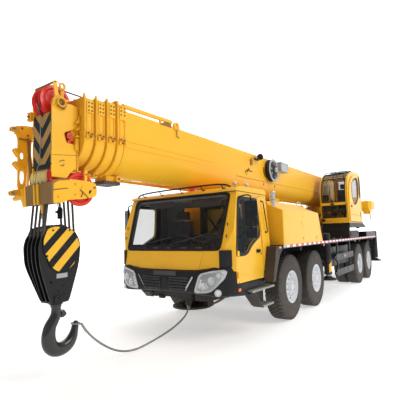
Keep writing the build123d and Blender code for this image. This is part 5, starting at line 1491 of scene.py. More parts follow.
# skirt and valve gear under the operator's cab
g.box(.470, 1.372, 4.470, 5.640, 1.428, 1.640, 0)
g.box(1.374, 1.388, 4.60, 5.50, 1.48, 1.60, 3)
g.box(-1.372, -.470, 5.05, 6.2, 1.470, 1.640, 0)
for k in range(4):
    g.tube([P(.50 + .035 * k, 4.462, 1.50 + .02 * k), P(.50 + .035 * k, 4.42, 1.70), P(.47 + .01 * k, 4.47, 1.95), P(.455, 4.70, 2.10 + .03 * k), P(.452, 5.0, 2.16)], .011, 3, 8, 2)
g.tube([P(.43, 4.72, 1.72), P(.40, 4.30, 2.02), P(.34, 4.05, 2.38), P(.25, 4.25, 2.47), P(.2, 4.6, 2.48)], .013, 3, 10, 3)
g.tube([P(.43, 4.76, 1.80), P(.42, 4.42, 2.10), P(.38, 4.18, 2.36), P(.28, 4.35, 2.46), P(.2, 4.7, 2.48)], .013, 3, 10, 3)
# platform plate, steps and rail behind the cab
g.box(.46, 1.380, 6.26, 7.29, 1.7405, 1.7465, 5)
for s in (6.50, 6.72, 6.94):
    g.box(.960, .966, s, s + .16, 1.82, 2.22, 0)
    g.cyl(P(.966, s + .03, 2.02), P(.974, s + .03, 2.02), .012, 2, 12)
for x in (.62, .84):
    g.box(x - .09, x + .09, 6.60, 7.10, 2.3005, 2.306, 0)
g.tube([P(-1.36, 5.25, 2.18), P(-1.36, 5.25, 2.34), P(-1.36, 6.85, 2.34), P(-1.36, 6.85, 2.18)], .014, 0, 10, 2)
g.lathe(P(-1.19, 5.6, 2.18), UP, [(0, .0), (0, .060), (.03, .060), (.045, .045), (.047, .0)], 8, 28, closed=False)
g.lathe(P(-1.19, 6.35, 2.18), UP, [(0, .0), (0, .085), (.10, .085), (.12, .06), (.122, .0)], 6, 28, closed=False)
g.box(-1.3845, -1.380, 5.40, 5.44, 1.80, 2.08, 8)
g.done(slot="black_paint")

# winch drum with its wound rope; its flanges are in the shaded yellow, painted shade
g = G("winch_drum_wound", "winch", [YEL_SHADED, ROPE, STEEL], bevel=0)
WC = P(0, 8.010, 2.020)
g.cyl(WC - LEFT * .446, WC + LEFT * .446, .060, 2, 32)
for x in (-.395, .355):
    g.lathe(WC + LEFT * x, LEFT, [(0, .061), (0, .292), (.006, .300), (.034, .300), (.040, .292), (.040, .061)], 0, 56)
prof = [(-.354, .062)]
n_ = 31
for i in range(n_):
    t = -.350 + .700 * (i + .5) / n_
    prof += [(t - .0108, .236), (t - .006, .2445), (t, .247), (t + .006, .2445), (t + .0108, .236)]
prof.append((.354, .062))
g.lathe(WC, LEFT, prof, 1, 56)
for sd_ in (-1, 1):
    for k in range(6):
        a = 2 * math.pi * k / 6
        g.bolt(WC + LEFT * sd_ * .395 + Vector((0, math.cos(a) * .19, math.sin(a) * .19)), LEFT * sd_, .014, .006, 2)
g.done(replaces="winch_drum", slot="cast_grey")
# rope from the boom's rear end down to the drum
g = G("hoist_rope_drum_run", None, [ROPE], bevel=0)
g.tube([P(.095, 7.545 + (8.235 - 7.545) * i / 16, 3.412 + (2.112 - 3.412) * i / 16) for i in range(17)], .0095, 0, 10, 0)
o = g.done(slot="cast_grey")
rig.blend(o, "boom_base", "superstructure", start=P(.095, 7.545, 3.412), end=P(.095, 8.235, 2.112))

# counterweight
soften("counterweight", "superstructure", [YEL], .022, 3, slot="yellow_paint")
g = G("counterweight_fittings", "superstructure", [YEL, YEL_SHADED, BLK, STEEL, REDL, CHEVB, ORANGE], bevel=.004)
for sd_ in (-1, 1):
    g.tube([P(sd_ * 1.05, 8.80, 2.758), P(sd_ * 1.05, 8.80, 2.830), P(sd_ * 1.05, 8.90, 2.830), P(sd_ * 1.05, 8.90, 2.758)], .014, 0, 10, 2)
    # ledge along the side in the shaded yellow, painted shade, with a black line above it
    g.px(sd_ * 1.262, sd_ * 1.3005, [(8.62, 2.500), (9.14, 2.500), (9.14, 2.504), (8.62, 2.504)], 1)
    g.px(sd_ * 1.292, sd_ * 1.302, [(8.60, 2.600), (9.16, 2.600), (9.16, 2.607), (8.60, 2.607)], 5)
    # stowage box and its hanging bracket below the weight; the box's underside takes the shaded yellow, painted shade
    g.box(sd_ * .96, sd_ * 1.235, 8.44, 8.92, 2.352, 2.446, 0)
    g.box(sd_ * .97, sd_ * 1.225, 8.62, 8.93, 2.344, 2.354, 1)
    g.px(sd_ * 1.205, sd_ * 1.240, [(8.44, 2.350), (8.60, 2.350), (8.60, 2.100), (8.55, 2.040), (8.52, 2.100), (8.52, 2.270), (8.44, 2.290)], 0)
    g.box(sd_ * 1.00, sd_ * 1.245, 8.44, 8.60, 2.255, 2.352, 0)
    for s in (8.60, 8.82):
        g.bolt(P(sd_ * 1.235, s, 2.40), LEFT * sd_, .012, .010, 3)
    c = P(sd_ * 1.02, 9.335, 2.62)
    g.box(sd_ * .92, sd_ * 1.12, 9.325, 9.349, 2.57, 2.67, 4)
for x in (-.45, 0, .45):
    g.box(x - .003, x + .003, 8.698, 8.701, 2.78, 2.95, 5)
g.box(-.78, .78, 9.298, 9.3035, 2.855, 2.862, 5)
g.done()

# ---- operator's cab ------------------------------------------------------------------------------------
OX0, OX1 = .590, 1.395
OPRO = [(4.470, 1.880), (4.420, 2.050), (4.402, 2.300), (4.400, 2.600), (4.415, 2.850), (4.480, 3.070), (4.620, 3.245), (4.880, 3.380), (5.220, 3.462),
        (5.650, 3.500), (6.060, 3.504), (6.190, 3.455), (6.230, 3.340), (6.232, 2.600), (6.230, 1.880)]


def arc_profile(pts, n=5):
    out = []
    q = [pts[0]] + pts + [pts[-1]]
    for i in range(1, len(q) - 2):
        for k in range(n):
            t = k / n
            out.append(tuple(.5 * (2 * b + (c_ - a) * t + (2 * a - 5 * b + 4 * c_ - d) * t * t + (3 * b - a - 3 * c_ + d) * t ** 3)
                             for a, b, c_, d in zip(q[i - 1], q[i], q[i + 1], q[i + 2])))
    out.append(pts[-1])
    return out


OFRONT = arc_profile(OPRO[:10])
OREST = OPRO[9:]


def along_front(u0, u1):
    """The part of the cab's front and roof line between two lengths measured from its foot."""
    out, u = [], 0.0
    prev = None
    for p in OFRONT:
        if prev is not None:
            L_ = math.hypot(p[0] - prev[0], p[1] - prev[1])
            for target in (u0, u1):
                if u < target < u + L_:
                    t = (target - u) / L_
                    out.append((target, (lerp(prev[0], p[0], t), lerp(prev[1], p[1], t))))
            u += L_
        if u0 <= u <= u1:
            out.append((u, p))
        prev = p
    out.sort(key=lambda e: e[0])
    return [p for _, p in out]


def band(g, x0, x1, pts, t0, t1, m_):
    """A strip of plate that follows pts, from t0 to t1 inward of them."""
    loops = []
    for i, p in enumerate(pts):
        a, b = pts[max(i - 1, 0)], pts[min(i + 1, len(pts) - 1)]
        d = Vector((b[0] - a[0], b[1] - a[1])).normalized()
        nx, nz = d.y, -d.x          # inward
        q0, q1 = (p[0] + nx * t0, p[1] + nz * t0), (p[0] + nx * t1, p[1] + nz * t1)
        loops.append([P(x0, *q0), P(x1, *q0), P(x1, *q1), P(x0, *q1)])
    return loft(g, loops, m_)


def u_at(z):
    u, prev = 0.0, None
    for p in OFRONT:
        if prev is not None:
            L_ = math.hypot(p[0] - prev[0], p[1] - prev[1])
            if prev[1] <= z <= p[1]:
                return u + L_ * (z - prev[1]) / (p[1] - prev[1])
            u += L_
        prev = p
    return u


U_END = sum(math.hypot(b[0] - a[0], b[1] - a[1]) for a, b in zip(OFRONT, OFRONT[1:])) - 1e-5
LOW = (u_at(2.045), u_at(2.385))
UPP = (u_at(2.505), u_at(3.215))
ROOFW = (u_at(3.262), u_at(3.262) + .62)
WX0, WX1 = .655, 1.318
g = G("operator_cab_shell", "superstructure", [YEL, LINING, BLK, TRIM, YEL_SHADED, STEEL], bevel=.006)
for x0, x1 in ((OX0 + .004, WX0), (WX1, OX1 - .004)):
    band(g, x0, x1, along_front(0.0, U_END), 0, .035, 0)
for u0, u1 in ((0.0, LOW[0]), (LOW[1], UPP[0]), (UPP[1], ROOFW[0]), (ROOFW[1], U_END)):
    band(g, WX0 - .002, WX1 + .002, along_front(u0, u1), 0, .035, 0)
band(g, OX0 + .004, OX1 - .004, OREST[:3], 0, .035, 0)
# rear wall round its window
band(g, OX0 + .004, OX1 - .004, [(6.060, 3.504), (6.190, 3.455), (6.230, 3.345)], 0, .035, 0)
RW = (2.450, 3.330)
g.box(OX0 + .004, OX1 - .004, 6.196, 6.231, 1.880, RW[0], 0)
g.box(OX0 + .004, OX0 + .09, 6.196, 6.231, RW[0], RW[1] + .01, 0)
g.box(OX1 - .09, OX1 - .004, 6.196, 6.231, RW[0], RW[1] + .01, 0)
# floor, step sill
g.px(OX0 + .01, OX1 - .01, [(4.470, 1.872), (4.460, 1.905), (6.22, 1.905), (6.22, 1.872)], 0)
outline = OFRONT + OREST[1:]
side_out = corner_round(outline, .006, 1)
DOOR_OPEN = corner_round([(4.600, 1.930), (4.540, 2.300), (4.545, 2.760), (4.640, 2.980), (4.820, 3.140), (5.150, 3.290), (5.560, 3.345), (5.730, 3.320),
                          (5.760, 3.150), (5.760, 1.930)], .05)
RSW = corner_round([(5.880, 2.830), (5.895, 3.375), (6.080, 3.392), (6.165, 3.330), (6.170, 2.780), (6.060, 2.700), (5.930, 2.720)], .05)
LSW = corner_round([(4.640, 2.250), (4.620, 2.800), (4.760, 3.040), (5.100, 3.240), (5.600, 3.330), (6.080, 3.340), (6.100, 2.250)], .07)
holed(g, [[P(OX1 - .035, *p) for p in side_out], [P(OX1 - .035, *p) for p in reversed(DOOR_OPEN)], [P(OX1 - .035, *p) for p in reversed(RSW)]], LEFT * .035, 0)
holed(g, [[P(OX0, *p) for p in side_out], [P(OX0, *p) for p in reversed(LSW)]], LEFT * .035, 0)
# black base, mounts and floor pan
g.box(.610, 1.380, 4.520, 6.200, 1.741, 1.874, 2)
for x in (.70, 1.28):
    for s in (4.70, 6.02):
        g.cyl(P(x, s, 1.700), P(x, s, 1.780), .050, 2, 20)
g.done(replaces=("operator_cab",), slot="yellow_paint")

g = G("operator_cab_glazing", "superstructure", [GLASS, BLK, TRIM], bevel=.0015)
for u0, u1 in (LOW, UPP, ROOFW):
    band(g, WX0, WX1, along_front(u0, u1), .010, .016, 0)
g.box(OX0 + .088, OX1 - .088, 6.206, 6.212, RW[0], RW[1], 0)
for x, hole in ((OX1 - .020, RSW), (OX0 + .012, LSW)):
    g.px(x, x + .006, hole, 0)
g.done(replaces="operator_cab_glass", slot="tinted_glass")


def ring_seal(g, x, hole, m_, w=.020, t=.010, side=1):
    """A rubber seal round an opening in a side plate."""
    cxm, czm = sum(p[0] for p in hole) / len(hole), sum(p[1] for p in hole) / len(hole)
    out = []
    for a, b, c_ in zip(hole[-1:] + hole[:-1], hole, hole[1:] + hole[:1]):
        d = Vector((c_[0] - a[0], c_[1] - a[1])).normalized()
        out.append((d.y, -d.x))
    area2 = sum(a[0] * b[1] - b[0] * a[1] for a, b in zip(hole, hole[1:] + hole[:1]))
    k = 1 if area2 > 0 else -1
    o1 = [(p[0] + k * n_[0] * w, p[1] + k * n_[1] * w) for p, n_ in zip(hole, out)]
    o2 = [(p[0] - k * n_[0] * w * .45, p[1] - k * n_[1] * w * .45) for p, n_ in zip(hole, out)]
    holed(g, [[P(x, *p) for p in o1], [P(x, *p) for p in reversed(o2)]], LEFT * side * t, m_)


g = G("operator_cab_seals", "superstructure", [BLK, TRIM, STEEL, YEL, SILVER, GREYBOX, LENS, FABRIC, CHEVB, ORANGE], bevel=.002)
for u0, u1 in (LOW, UPP, ROOFW):
    e = .020
    for x0, x1 in ((WX0 - e, WX0 + .010), (WX1 - .010, WX1 + e)):
        band(g, x0, x1, along_front(max(u0 - e, 0), u1 + e), -.006, .018, 0)
    for a, b in ((u0 - e, u0 + .010), (u1 - .010, u1 + e)):
        band(g, WX0, WX1, along_front(a, b), -.006, .018, 0)
ring_seal(g, OX1 - .002, RSW, 0, t=.007)
ring_seal(g, OX0 + .002, LSW, 0, side=-1, t=.007)
for x0, x1, z0, z1 in ((OX0 + .07, OX1 - .07, RW[0] - .02, RW[0] + .01), (OX0 + .07, OX1 - .07, RW[1] - .01, RW[1] + .02),
                       (OX0 + .07, OX0 + .10, RW[0], RW[1]), (OX1 - .10, OX1 - .07, RW[0], RW[1])):
    g.box(x0, x1, 6.229, 6.236, z0, z1, 0)
# guard rails over the roof glass
for x in (.690, .985, 1.290):
    g.tube([P(x, 4.520, 3.150), P(x, 4.500, 3.245), P(x, 4.640, 3.350), P(x, 4.900, 3.462), P(x, 5.230, 3.518), P(x, 5.700, 3.527), P(x, 6.05, 3.527), P(x, 6.13, 3.480)],
           .012, 0, 10, 2)
for s, z in ((4.640, 3.345), (5.020, 3.482), (5.500, 3.523), (5.95, 3.527)):
    g.tube([P(.690, s, z), P(1.290, s, z)], .013, 0, 10, 0)
# wiper, work lamp, horn, handles
g.cyl(P(.955, 4.392, 2.445), P(.955, 4.372, 2.445), .022, 0, 18)
g.tube([P(.955, 4.376, 2.445), P(.930, 4.374, 2.60), P(.880, 4.378, 2.86)], .006, 0, 8, 1)
g.tube([P(.865, 4.384, 2.60), P(.885, 4.388, 2.84), P(.915, 4.402, 3.00)], .006, 0, 8, 1)
g.box(.905, 1.005, 4.376, 4.398, 2.415, 2.455, 0)
g.tube([P(1.345, 4.400, 2.15), P(1.355, 4.350, 2.16), P(1.355, 4.350, 2.44), P(1.345, 4.400, 2.45)], .009, 0, 8, 2)
g.lathe(P(.665, 4.430, 1.960), Vector((0, -1, .1)), [(0, 0), (0, .045), (.05, .050), (.058, .044), (.058, 0)], 0, 24, closed=False)
g.box(1.392, 1.400, 5.985, 6.060, 2.06, 2.24, 8)
g.box(1.390, 1.3975, 4.60, 6.15, 1.905, 1.918, 0)
g.box(1.388, 1.3985, 5.785, 5.800, 1.93, 3.33, 0)
# door's top and bottom tracks
g.box(1.393, 1.400, 4.62, 6.20, 1.886, 1.902, 0)
# interior: seat, arm rests with levers, console, screen
sx = .955
g.px(sx - .24, sx + .24, corner_round([(5.40, 2.235), (5.42, 2.345), (5.95, 2.330), (5.95, 2.235)], .05), 7)
g.px(sx - .22, sx + .22, corner_round([(5.86, 2.32), (5.90, 2.98), (5.97, 3.02), (6.04, 2.98), (6.01, 2.30)], .05), 7)
g.px(sx - .13, sx + .13, corner_round([(5.925, 3.03), (5.93, 3.19), (6.0, 3.20), (6.01, 3.03)], .03), 7)
g.cyl(P(sx, 5.75, 1.906), P(sx, 5.75, 2.24), .09, 0, 20)
for sd_ in (-1, 1):
    x = sx + sd_ * .31
    g.px(x - .055, x + .055, corner_round([(5.36, 2.42), (5.36, 2.52), (5.88, 2.50), (5.88, 2.40)], .03), 1)
    g.cyl(P(x, 5.44, 2.51), P(x, 5.41, 2.64), .010, 0, 10)
    g.ball(P(x, 5.405, 2.66), .026, 0)
    g.box(x - .05, x + .05, 5.50, 5.85, 1.91, 2.42, 1)
g.px(.64, .80, corner_round([(4.62, 1.91), (4.56, 2.42), (4.66, 2.52), (4.90, 2.44), (4.95, 1.91)], .03), 1)
g.box(.62, .80, 4.58, 4.62, 2.56, 2.74, 8)
g.cyl(P(.70, 4.66, 2.48), P(.70, 4.62, 2.60), .012, 0, 10)
for x in (.86, 1.02, 1.14):
    g.slab(P(x, 4.66, 2.03), Vector((.04, 0, 0)), Vector((0, .02, .06)), Vector((0, .008, -.003)), 2)
    g.cyl(P(x, 4.66, 1.91), P(x, 4.67, 2.01), .010, 0, 8)
g.ball(P(.78, 4.60, 2.20), .045, 9, (1.3, .6, 1))
g.done(slot="black_paint")

# sliding door with its tall curved window
g = G("operator_cab_door_leaf", "operator_door", [YEL, GLASS, BLK, TRIM, STEEL], bevel=.004)
DO = corner_round([(4.515, 1.912), (4.500, 2.300), (4.505, 2.770), (4.600, 3.010), (4.790, 3.180), (5.130, 3.330), (5.560, 3.392), (5.740, 3.385),
                   (5.782, 3.320), (5.785, 1.912)], .03)
DW = corner_round([(4.860, 2.640), (4.800, 2.850), (4.860, 3.040), (5.060, 3.185), (5.400, 3.285), (5.620, 3.300), (5.700, 3.200), (5.720, 2.900),
                   (5.640, 2.660), (5.400, 2.500), (5.120, 2.430), (4.960, 2.480)], .08)
holed(g, [[P(1.402, *p) for p in DO], [P(1.402, *p) for p in reversed(DW)]], LEFT * .026, 0)
g.px(1.410, 1.416, DW, 1)
ring_seal(g, 1.426, DW, 2, w=.018, t=.006)
g.px(1.427, 1.440, corner_round([(4.640, 2.335), (4.640, 2.395), (4.760, 2.395), (4.760, 2.335)], .015), 2)
g.tube([P(1.430, 4.665, 2.36), P(1.446, 4.690, 2.362), P(1.446, 4.74, 2.362), P(1.430, 4.755, 2.36)], .007, 4, 8, 1)
g.px(1.4275, 1.4305, [(4.56, 2.110), (5.74, 2.110), (5.74, 2.117), (4.56, 2.117)], 3)
g.done(replaces="operator_cab_door", slot="yellow_paint")

# ---- luffing cylinder ------------------------------------------------------------------------------------
o = soften("luffing_cylinder_barrel", "luff_barrel", [YELB, BLK], .006, 2, slot="yellow_paint")
o = soften("luffing_cylinder_rod", "luff_rod", [ROD, YELB], .005, 2, slot="chromed_rod",
           paint=lambda x, s, z, n: 1 if math.hypot(s - 2.1, z - 2.35) < .16 else 0)
A_, B_ = P(0, 5.400, 1.850), P(0, 2.100, 2.350)
LD = (B_ - A_).normalized()
LN = Vector((0, -LD.z, LD.y))
g = G("luff_barrel_fittings", "luff_barrel", [YELB, BLK, STEEL, TRIM], bevel=.003)
for t, r0, r1, w_ in ((2.955, .149, .172, .062), (2.70, .149, .163, .03), (.62, .149, .163, .03), (1.6, .149, .158, .02)):
    g.lathe(A_ + LD * t, LD, [(0, r0), (0, r1), (w_, r1), (w_, r0)], 0, 48)
for k in range(10):
    a = 2 * math.pi * k / 10
    g.bolt(A_ + LD * 3.017 + LN * math.cos(a) * .161 + LEFT * math.sin(a) * .161, LD, .008, .009, 2)
for x in (.06, -.06):
    g.tube([A_ + LD * .35 + LN * .155 + LEFT * x, A_ + LD * .42 + LN * .19 + LEFT * x, A_ + LD * 2.80 + LN * .19 + LEFT * x, A_ + LD * 2.88 + LN * .155 + LEFT * x], .013, 2, 10, 2)
g.slab(A_ + LD * .33 + LN * .165, LD * .06, LEFT * .10, LN * .035, 1)
g.done()

# ---- boom --------------------------------------------------------------------------------------
SECT = [("boom_base", "boom_base", .760, 3.440, 2.500, 7.560, -3.560, .130), ("boom_section_2", "boom_2", .680, 3.395, 2.545, 6.600, -3.720, .080),
        ("boom_section_3", "boom_3", .600, 3.350, 2.590, 6.500, -3.880, .080), ("boom_section_4", "boom_4", .520, 3.305, 2.635, 6.400, -4.040, .080),
        ("boom_section_5", "boom_5", .440, 3.260, 2.680, 6.300, -4.115, .0)]


def u_line(w, top, bottom, s, n=24):
    """Outline of a boom section in a plane across it: flat top, straight sides, half-round bottom."""
    h = w / 2
    zc = bottom + h
    pts = [P(-h, s, top), P(h, s, top), P(h, s, zc)]
    pts += [P(h * math.cos(t), s, zc - h * math.sin(t)) for t in [math.pi * k / n for k in range(1, n)]]
    return pts + [P(-h, s, zc)]


HV = [.405, .388, .370, .350]               # half width, top and bottom of the finished mouths
TV = [3.432, 3.408, 3.392, 3.378]
BV = [2.475, 2.496, 2.520, 2.548]
FV = [3.458, 3.447, 3.440, 3.436]           # tips of the corner fins


def slope_top(o, top, front, collar, drop, inner):
    """The base's top falls a little towards its mouth; the inner tubes are that much lower all along."""
    for v in o.data.vertices:
        s = v.co.y - Y0
        if top - .025 < v.co.z < top + .006 and (inner or s < front + collar + .006):
            v.co.z -= drop
        elif collar and v.co.z >= top + .006 and s < front + collar + .006:
            v.co.z -= .045


for name, body, w_, top, bottom, rear, front, collar in SECT:
    def boom_paint(x, s, z, n, f=front, c_=collar, w2=w_ / 2):
        # faces of a collar that look forward take the shaded yellow: painted shade on the side turned from the light
        if c_ and n.y < -.6 and s < f + .02:
            return 2
        if c_ and s < f + c_ and abs(x) > w2 + .01:
            return 1
        return 0
    o = soften(name, body, [YELB, YELB, YEL_SHADED], .003, 2, slot="yellow_paint", paint=boom_paint, tri=True)
    slope_top(o, top, front, collar, .078, body != "boom_base")

for k, (name, body, w_, top, bottom, rear, front, collar) in enumerate(SECT):
    if not collar:
        continue
    # each mouth's flanges, fins, brackets, rope guides and pad holder take the shaded yellow, and its bolts and nuts
    # the shaded ochre: painted shade
    g = G(body + "_mouth", body, [YEL_SHADED, YELB, OCHRE_SHADED, STEEL, PADM], bevel=.0025)
    h, tv, bv = HV[k], TV[k], BV[k]
    zc = bv + h
    if k:
        # sleeve that fills the step to the mouth behind it
        holed(g, [u_line(2 * h, tv, bv, front + .004), list(reversed(u_line(w_ - .004, top - .082, bottom + .002, front + .004)))],
              Vector((0, .150, 0)), 1)
    # thin flange round the mouth
    holed(g, [u_line(2 * h + .020, tv + .008, bv - .010, front + .002), list(reversed(u_line(w_ + .010, top - .060, bottom - .004, front + .002)))],
          Vector((0, .012, 0)), 0)
    if k == 0:
        holed(g, [u_line(2 * h + .016, tv + .006, bv - .008, front + .118), list(reversed(u_line(w_ + .040, top - .060, bottom - .020, front + .118)))],
              Vector((0, .012, 0)), 0)
    for sd_ in (-1, 1):
        # pointed corner fin on the front flange
        fin = [(h - .022, 2.925), (h + .010, 2.925), (h + .018, 2.955), (h + .018, tv - .04), (h + .010, tv + .005), (h - .004, FV[k]),
               (h - .018, tv + .02), (h - .024, tv - .04)]
        g.py(front - .004, front + .026, [(sd_ * a, b) for a, b in fin], 0)
        # box of the side guide with its bolts, ribs below it
        s0, s1 = front + .034, front + (.148 if k == 0 else .134)
        x0, x1 = sd_ * (h - .006), sd_ * (h + .020)
        g.box(x0, x1, s0, s1, 3.205 - k * .004, tv - .030, 1)
        for i in range(2):
            for j in range(3):
                g.bolt(P(x1, s0 + .026 + i * (s1 - s0 - .052), tv - .058 - j * .050), LEFT * sd_, .0085, .012, 2)
        for sa in (s0 + .002, s1 - .016):
            g.box(x0, sd_ * (h + .012), sa, sa + .014, 2.955, 3.206, 1)
        g.box(x0, sd_ * (h + .004), s0 + .028, s1 - .026, 2.975, 3.185, 1)
        # lower adjusting gear: bracket, nuts and tommy bars
        g.box(x0, sd_ * (h + .024), s0 - .006, s0 + .030, 2.868, 2.955, 0)
        g.box(x0, sd_ * (h + .018), s0 + .056, s1 + .004, 2.900, 2.948, 0)
        for ds, dz in ((.012, 2.930), (.072, 2.925), (.050, 2.885)):
            c = P(sd_ * (h + .018), s0 + ds, dz)
            g.cyl(c, c + LEFT * sd_ * .026, .0105, 2, 6)
            g.cyl(c + LEFT * sd_ * .026, c + LEFT * sd_ * .038, .006, 3, 8)
        c = P(sd_ * (h + .034), s0 + .042, 2.936)
        g.tube([c - UP * .030 - BACK * .016, c, c + UP * .026 + BACK * .022], .0065, 0, 8, 1)
        c = P(sd_ * (h + .030), s0 + .088, 2.892)
        g.tube([c - UP * .022 + BACK * .018, c, c + UP * .030 - BACK * .012], .0065, 0, 8, 1)
        # small weld tabs along the round bottom
        for a in (12, 30, 48, 66, 80):
            t = math.radians(a)
            r_ = h + .006
            c = P(sd_ * r_ * math.cos(t), front + .010, zc - r_ * math.sin(t))
            out_ = Vector((sd_ * math.cos(t), 0, -math.sin(t)))
            tan_ = Vector((sd_ * math.sin(t), 0, math.cos(t)))
            g.slab(c + BACK * .012, out_ * .010, BACK * .018, tan_ * .011, 1)
    # rope guides across the top
    for x in (-.14, -.05, .05, .14):
        g.box(x - .006, x + .006, front + .004, front + .060, tv - .01, tv + .026, 0)
    # lower adjusting knob and wear pad holder under the mouth
    if k:
        c = P(.105, front + .030, bv - .030)
        g.cyl(c - LEFT * .03, c + LEFT * .035, .030, 1, 20)
        g.cyl(c + LEFT * .035, c + LEFT * .046, .017, 2, 6)
        g.box(.070, .138, front + .010, front + .050, bv - .034, bv + .016, 1)
        g.box(-.15, -.05, front + .010, front + .050, bv - .030, bv + .016, 0)
    else:
        c = P(.120, front + .245, bottom - .045)
        g.cyl(c - LEFT * .05, c + LEFT * .045, .040, 1, 22)
        g.cyl(c + LEFT * .045, c + LEFT * .057, .022, 2, 6)
        g.box(-.135, .135, front + .020, front + .300, bottom - .128, bottom - .082, 4)
        g.box(-.115, .115, front + .060, front + .270, bottom - .084, bottom - .008, 0)
        for x in (-.10, .10):
            for ds in (.06, .26):
                g.bolt(P(x, front + ds, bottom - .128), -UP, .012, .010, 3)
    g.done(slot="yellow_paint")

# the cheek plate, seams, brackets, clips and cable pieces below that take the shaded yellow or shaded ochre carry
# painted shade
g = G("boom_base_fittings", "boom_base", [YEL_SHADED, YELB, OCHRE_SHADED, STEEL, BLK, GREYBOX, TRIM, REDR, ALU, RED], bevel=.0025)
for sd_ in (-1, 1):
    # cheek plate behind the mouth (shaded yellow, painted shade) and top rail above a slot; the support plate under the
    # rail's rear end is shaded ochre, painted shade
    g.box(sd_ * .374, sd_ * .408, -3.424, -3.396, 2.862, 3.415, 0)
    xr = (sd_ * .345, sd_ * .386)
    g.px(xr[0], xr[1], [(-3.432, 3.404), (-3.432, 3.452), (-2.372, 3.472), (-2.372, 3.424)], 1)
    g.px(xr[0] + sd_ * .006, xr[1] + sd_ * .006, [(-2.640, 3.352), (-2.580, 3.400), (-2.420, 3.410), (-2.400, 3.352)], 2)
    for s in (-3.432, -2.66):
        g.box(sd_ * .350, sd_ * .380, s, s + .030, 3.345, 3.425, 1)
    # eye plate and clip at the rail's end
    t0 = corner_round([(-2.345, 3.330), (-2.345, 3.420), (-2.300, 3.470), (-2.235, 3.470), (-2.195, 3.420), (-2.205, 3.330)], .03)
    hole = [(-2.270 + .022 * math.cos(a), 3.425 + .022 * math.sin(a)) for a in [2 * math.pi * i / 16 for i in range(16)]]
    holed(g, [[P(sd_ * .360, *p) for p in t0], [P(sd_ * .360, *p) for p in reversed(hole)]], LEFT * sd_ * .030, 1)
    g.px(sd_ * .378, sd_ * .396, [(-2.360, 3.395), (-2.205, 3.395), (-2.225, 3.345), (-2.290, 3.325), (-2.345, 3.345)], 0)
    g.tube([P(sd_ * .392, -2.285, 3.345), P(sd_ * .400, -2.280, 3.285), P(sd_ * .398, -2.290, 3.235), P(sd_ * .398, -2.225, 3.218)], .0075, 2, 8, 1)
    # weld seams along the side, drawn in the shaded yellow and, lowest, the shaded ochre: painted shade along the
    # beads; small ribs and plates below in the shaded ochre
    for x_, pts in ((.3805, [(-3.40, 2.944), (-1.90, 2.960), (-1.20, 2.967)]), (.3798, [(-3.40, 2.858), (-2.0, 2.880), (-.9, 2.894)]),
                    (.3785, [(-.35, 2.820), (.93, 2.826), (2.6, 2.848), (4.95, 2.872)])):
        for (sa, za), (sb, zb) in zip(pts, pts[1:]):
            g.px(sd_ * (x_ - .012), sd_ * (x_ + .0026), [(sa, za - .0035), (sb, zb - .0035), (sb, zb + .0035), (sa, za + .0035)], 2 if x_ < .379 else 0)
    for s in (.93, 1.55):
        g.px(sd_ * .362, sd_ * .3785, [(s, 2.745), (s + .006, 2.745), (s + .006, 2.830), (s, 2.830)], 2)
    for s, z0, z1 in ((2.463, 3.27, 3.425), (3.84, 3.33, 3.41)):
        g.box(sd_ * .377, sd_ * .3835, s, s + .012, z0, z1, 2)
    g.box(sd_ * .30, sd_ * .384, 2.448, 2.482, 3.398, 3.428, 4)
g.px(.02, .05, [(-1.56, 2.507), (-1.30, 2.507), (-1.405, 2.445), (-1.435, 2.445)], 9)
# foot pin caps
for sd_ in (-1, 1):
    c = P(sd_ * .398, 7.300, 2.800)
    g.cyl(c, c + LEFT * sd_ * .006, .120, 1, 32)
# work lamp, cable reel with its grey box
c = P(.395, .560, 3.315)
g.box(.379, .420, .46, .66, 3.275, 3.300, 4)
g.tube([P(.400, .56, 3.290), P(.430, .56, 3.300), P(.440, .55, 3.330)], .012, 4, 10, 2)
g.lathe(P(.470, .640, 3.335), Vector((.35, -1, -.08)), [(-.01, 0), (.0, .045), (.05, .062), (.17, .068), (.185, .062), (.187, .050), (.175, .0)], 4, 28, closed=False)
g.box(.379, .405, .27, .35, 3.13, 3.25, 2)
g.tube([P(.385, .30, 3.25), P(.410, .32, 3.29), P(.42, .38, 3.30), P(.44, .46, 3.31)], .008, 2, 8, 2)
R0 = P(0, 1.245, 3.118)
g.lathe(R0 + LEFT * .379, LEFT, [(0, .0), (.0, .085), (.028, .085), (.028, .262), (.034, .268), (.042, .262), (.042, .150), (.120, .150), (.120, .268), (.128, .274),
                                 (.136, .268), (.138, .225), (.130, .215), (.130, .135), (.150, .120), (.165, .095), (.168, .0)], 4, 56, closed=False,
        mats=[6, 6, 6, 4, 4, 4, 4, 6, 4, 5, 5, 5, 6, 6, 4, 4, 4])
for i in range(9):
    a = 2 * math.pi * i / 9 + .2
    d = Vector((0, math.cos(a), math.sin(a)))
    t = Vector((0, -math.sin(a), math.cos(a)))
    c = R0 + LEFT * .514 + d * .172
    g.slab(c, LEFT * .006, d * .045, t * .010, 5 if i % 3 else 4)
for i in range(26):
    rr = .155 + (i % 13) * .007
    g.lathe(R0 + LEFT * (.429 + .010 * (i // 13 + (i % 2))), LEFT, [(0, rr), (.009, rr + .0045), (.018, rr), (.009, rr - .0045)], 6, 36)
g.lathe(R0 + LEFT * .545, LEFT, [(0, .062), (.03, .060), (.036, .05), (.036, .0)], 5, 28, closed=False)
g.box(.430, .600, 1.475, 1.905, 3.118, 3.338, 5)
g.box(.424, .606, 1.465, 1.915, 3.325, 3.343, 5)
g.box(.600, .604, 1.520, 1.860, 3.150, 3.300, 5)
for s in (1.50, 1.88):
    for z in (3.135, 3.308):
        g.bolt(P(.600, s, z), LEFT, .008, .008, 3)
g.box(.378, .432, 1.50, 1.88, 3.15, 3.30, 0)
g.box(.378, .402, 1.10, 1.39, 3.05, 3.19, 0)
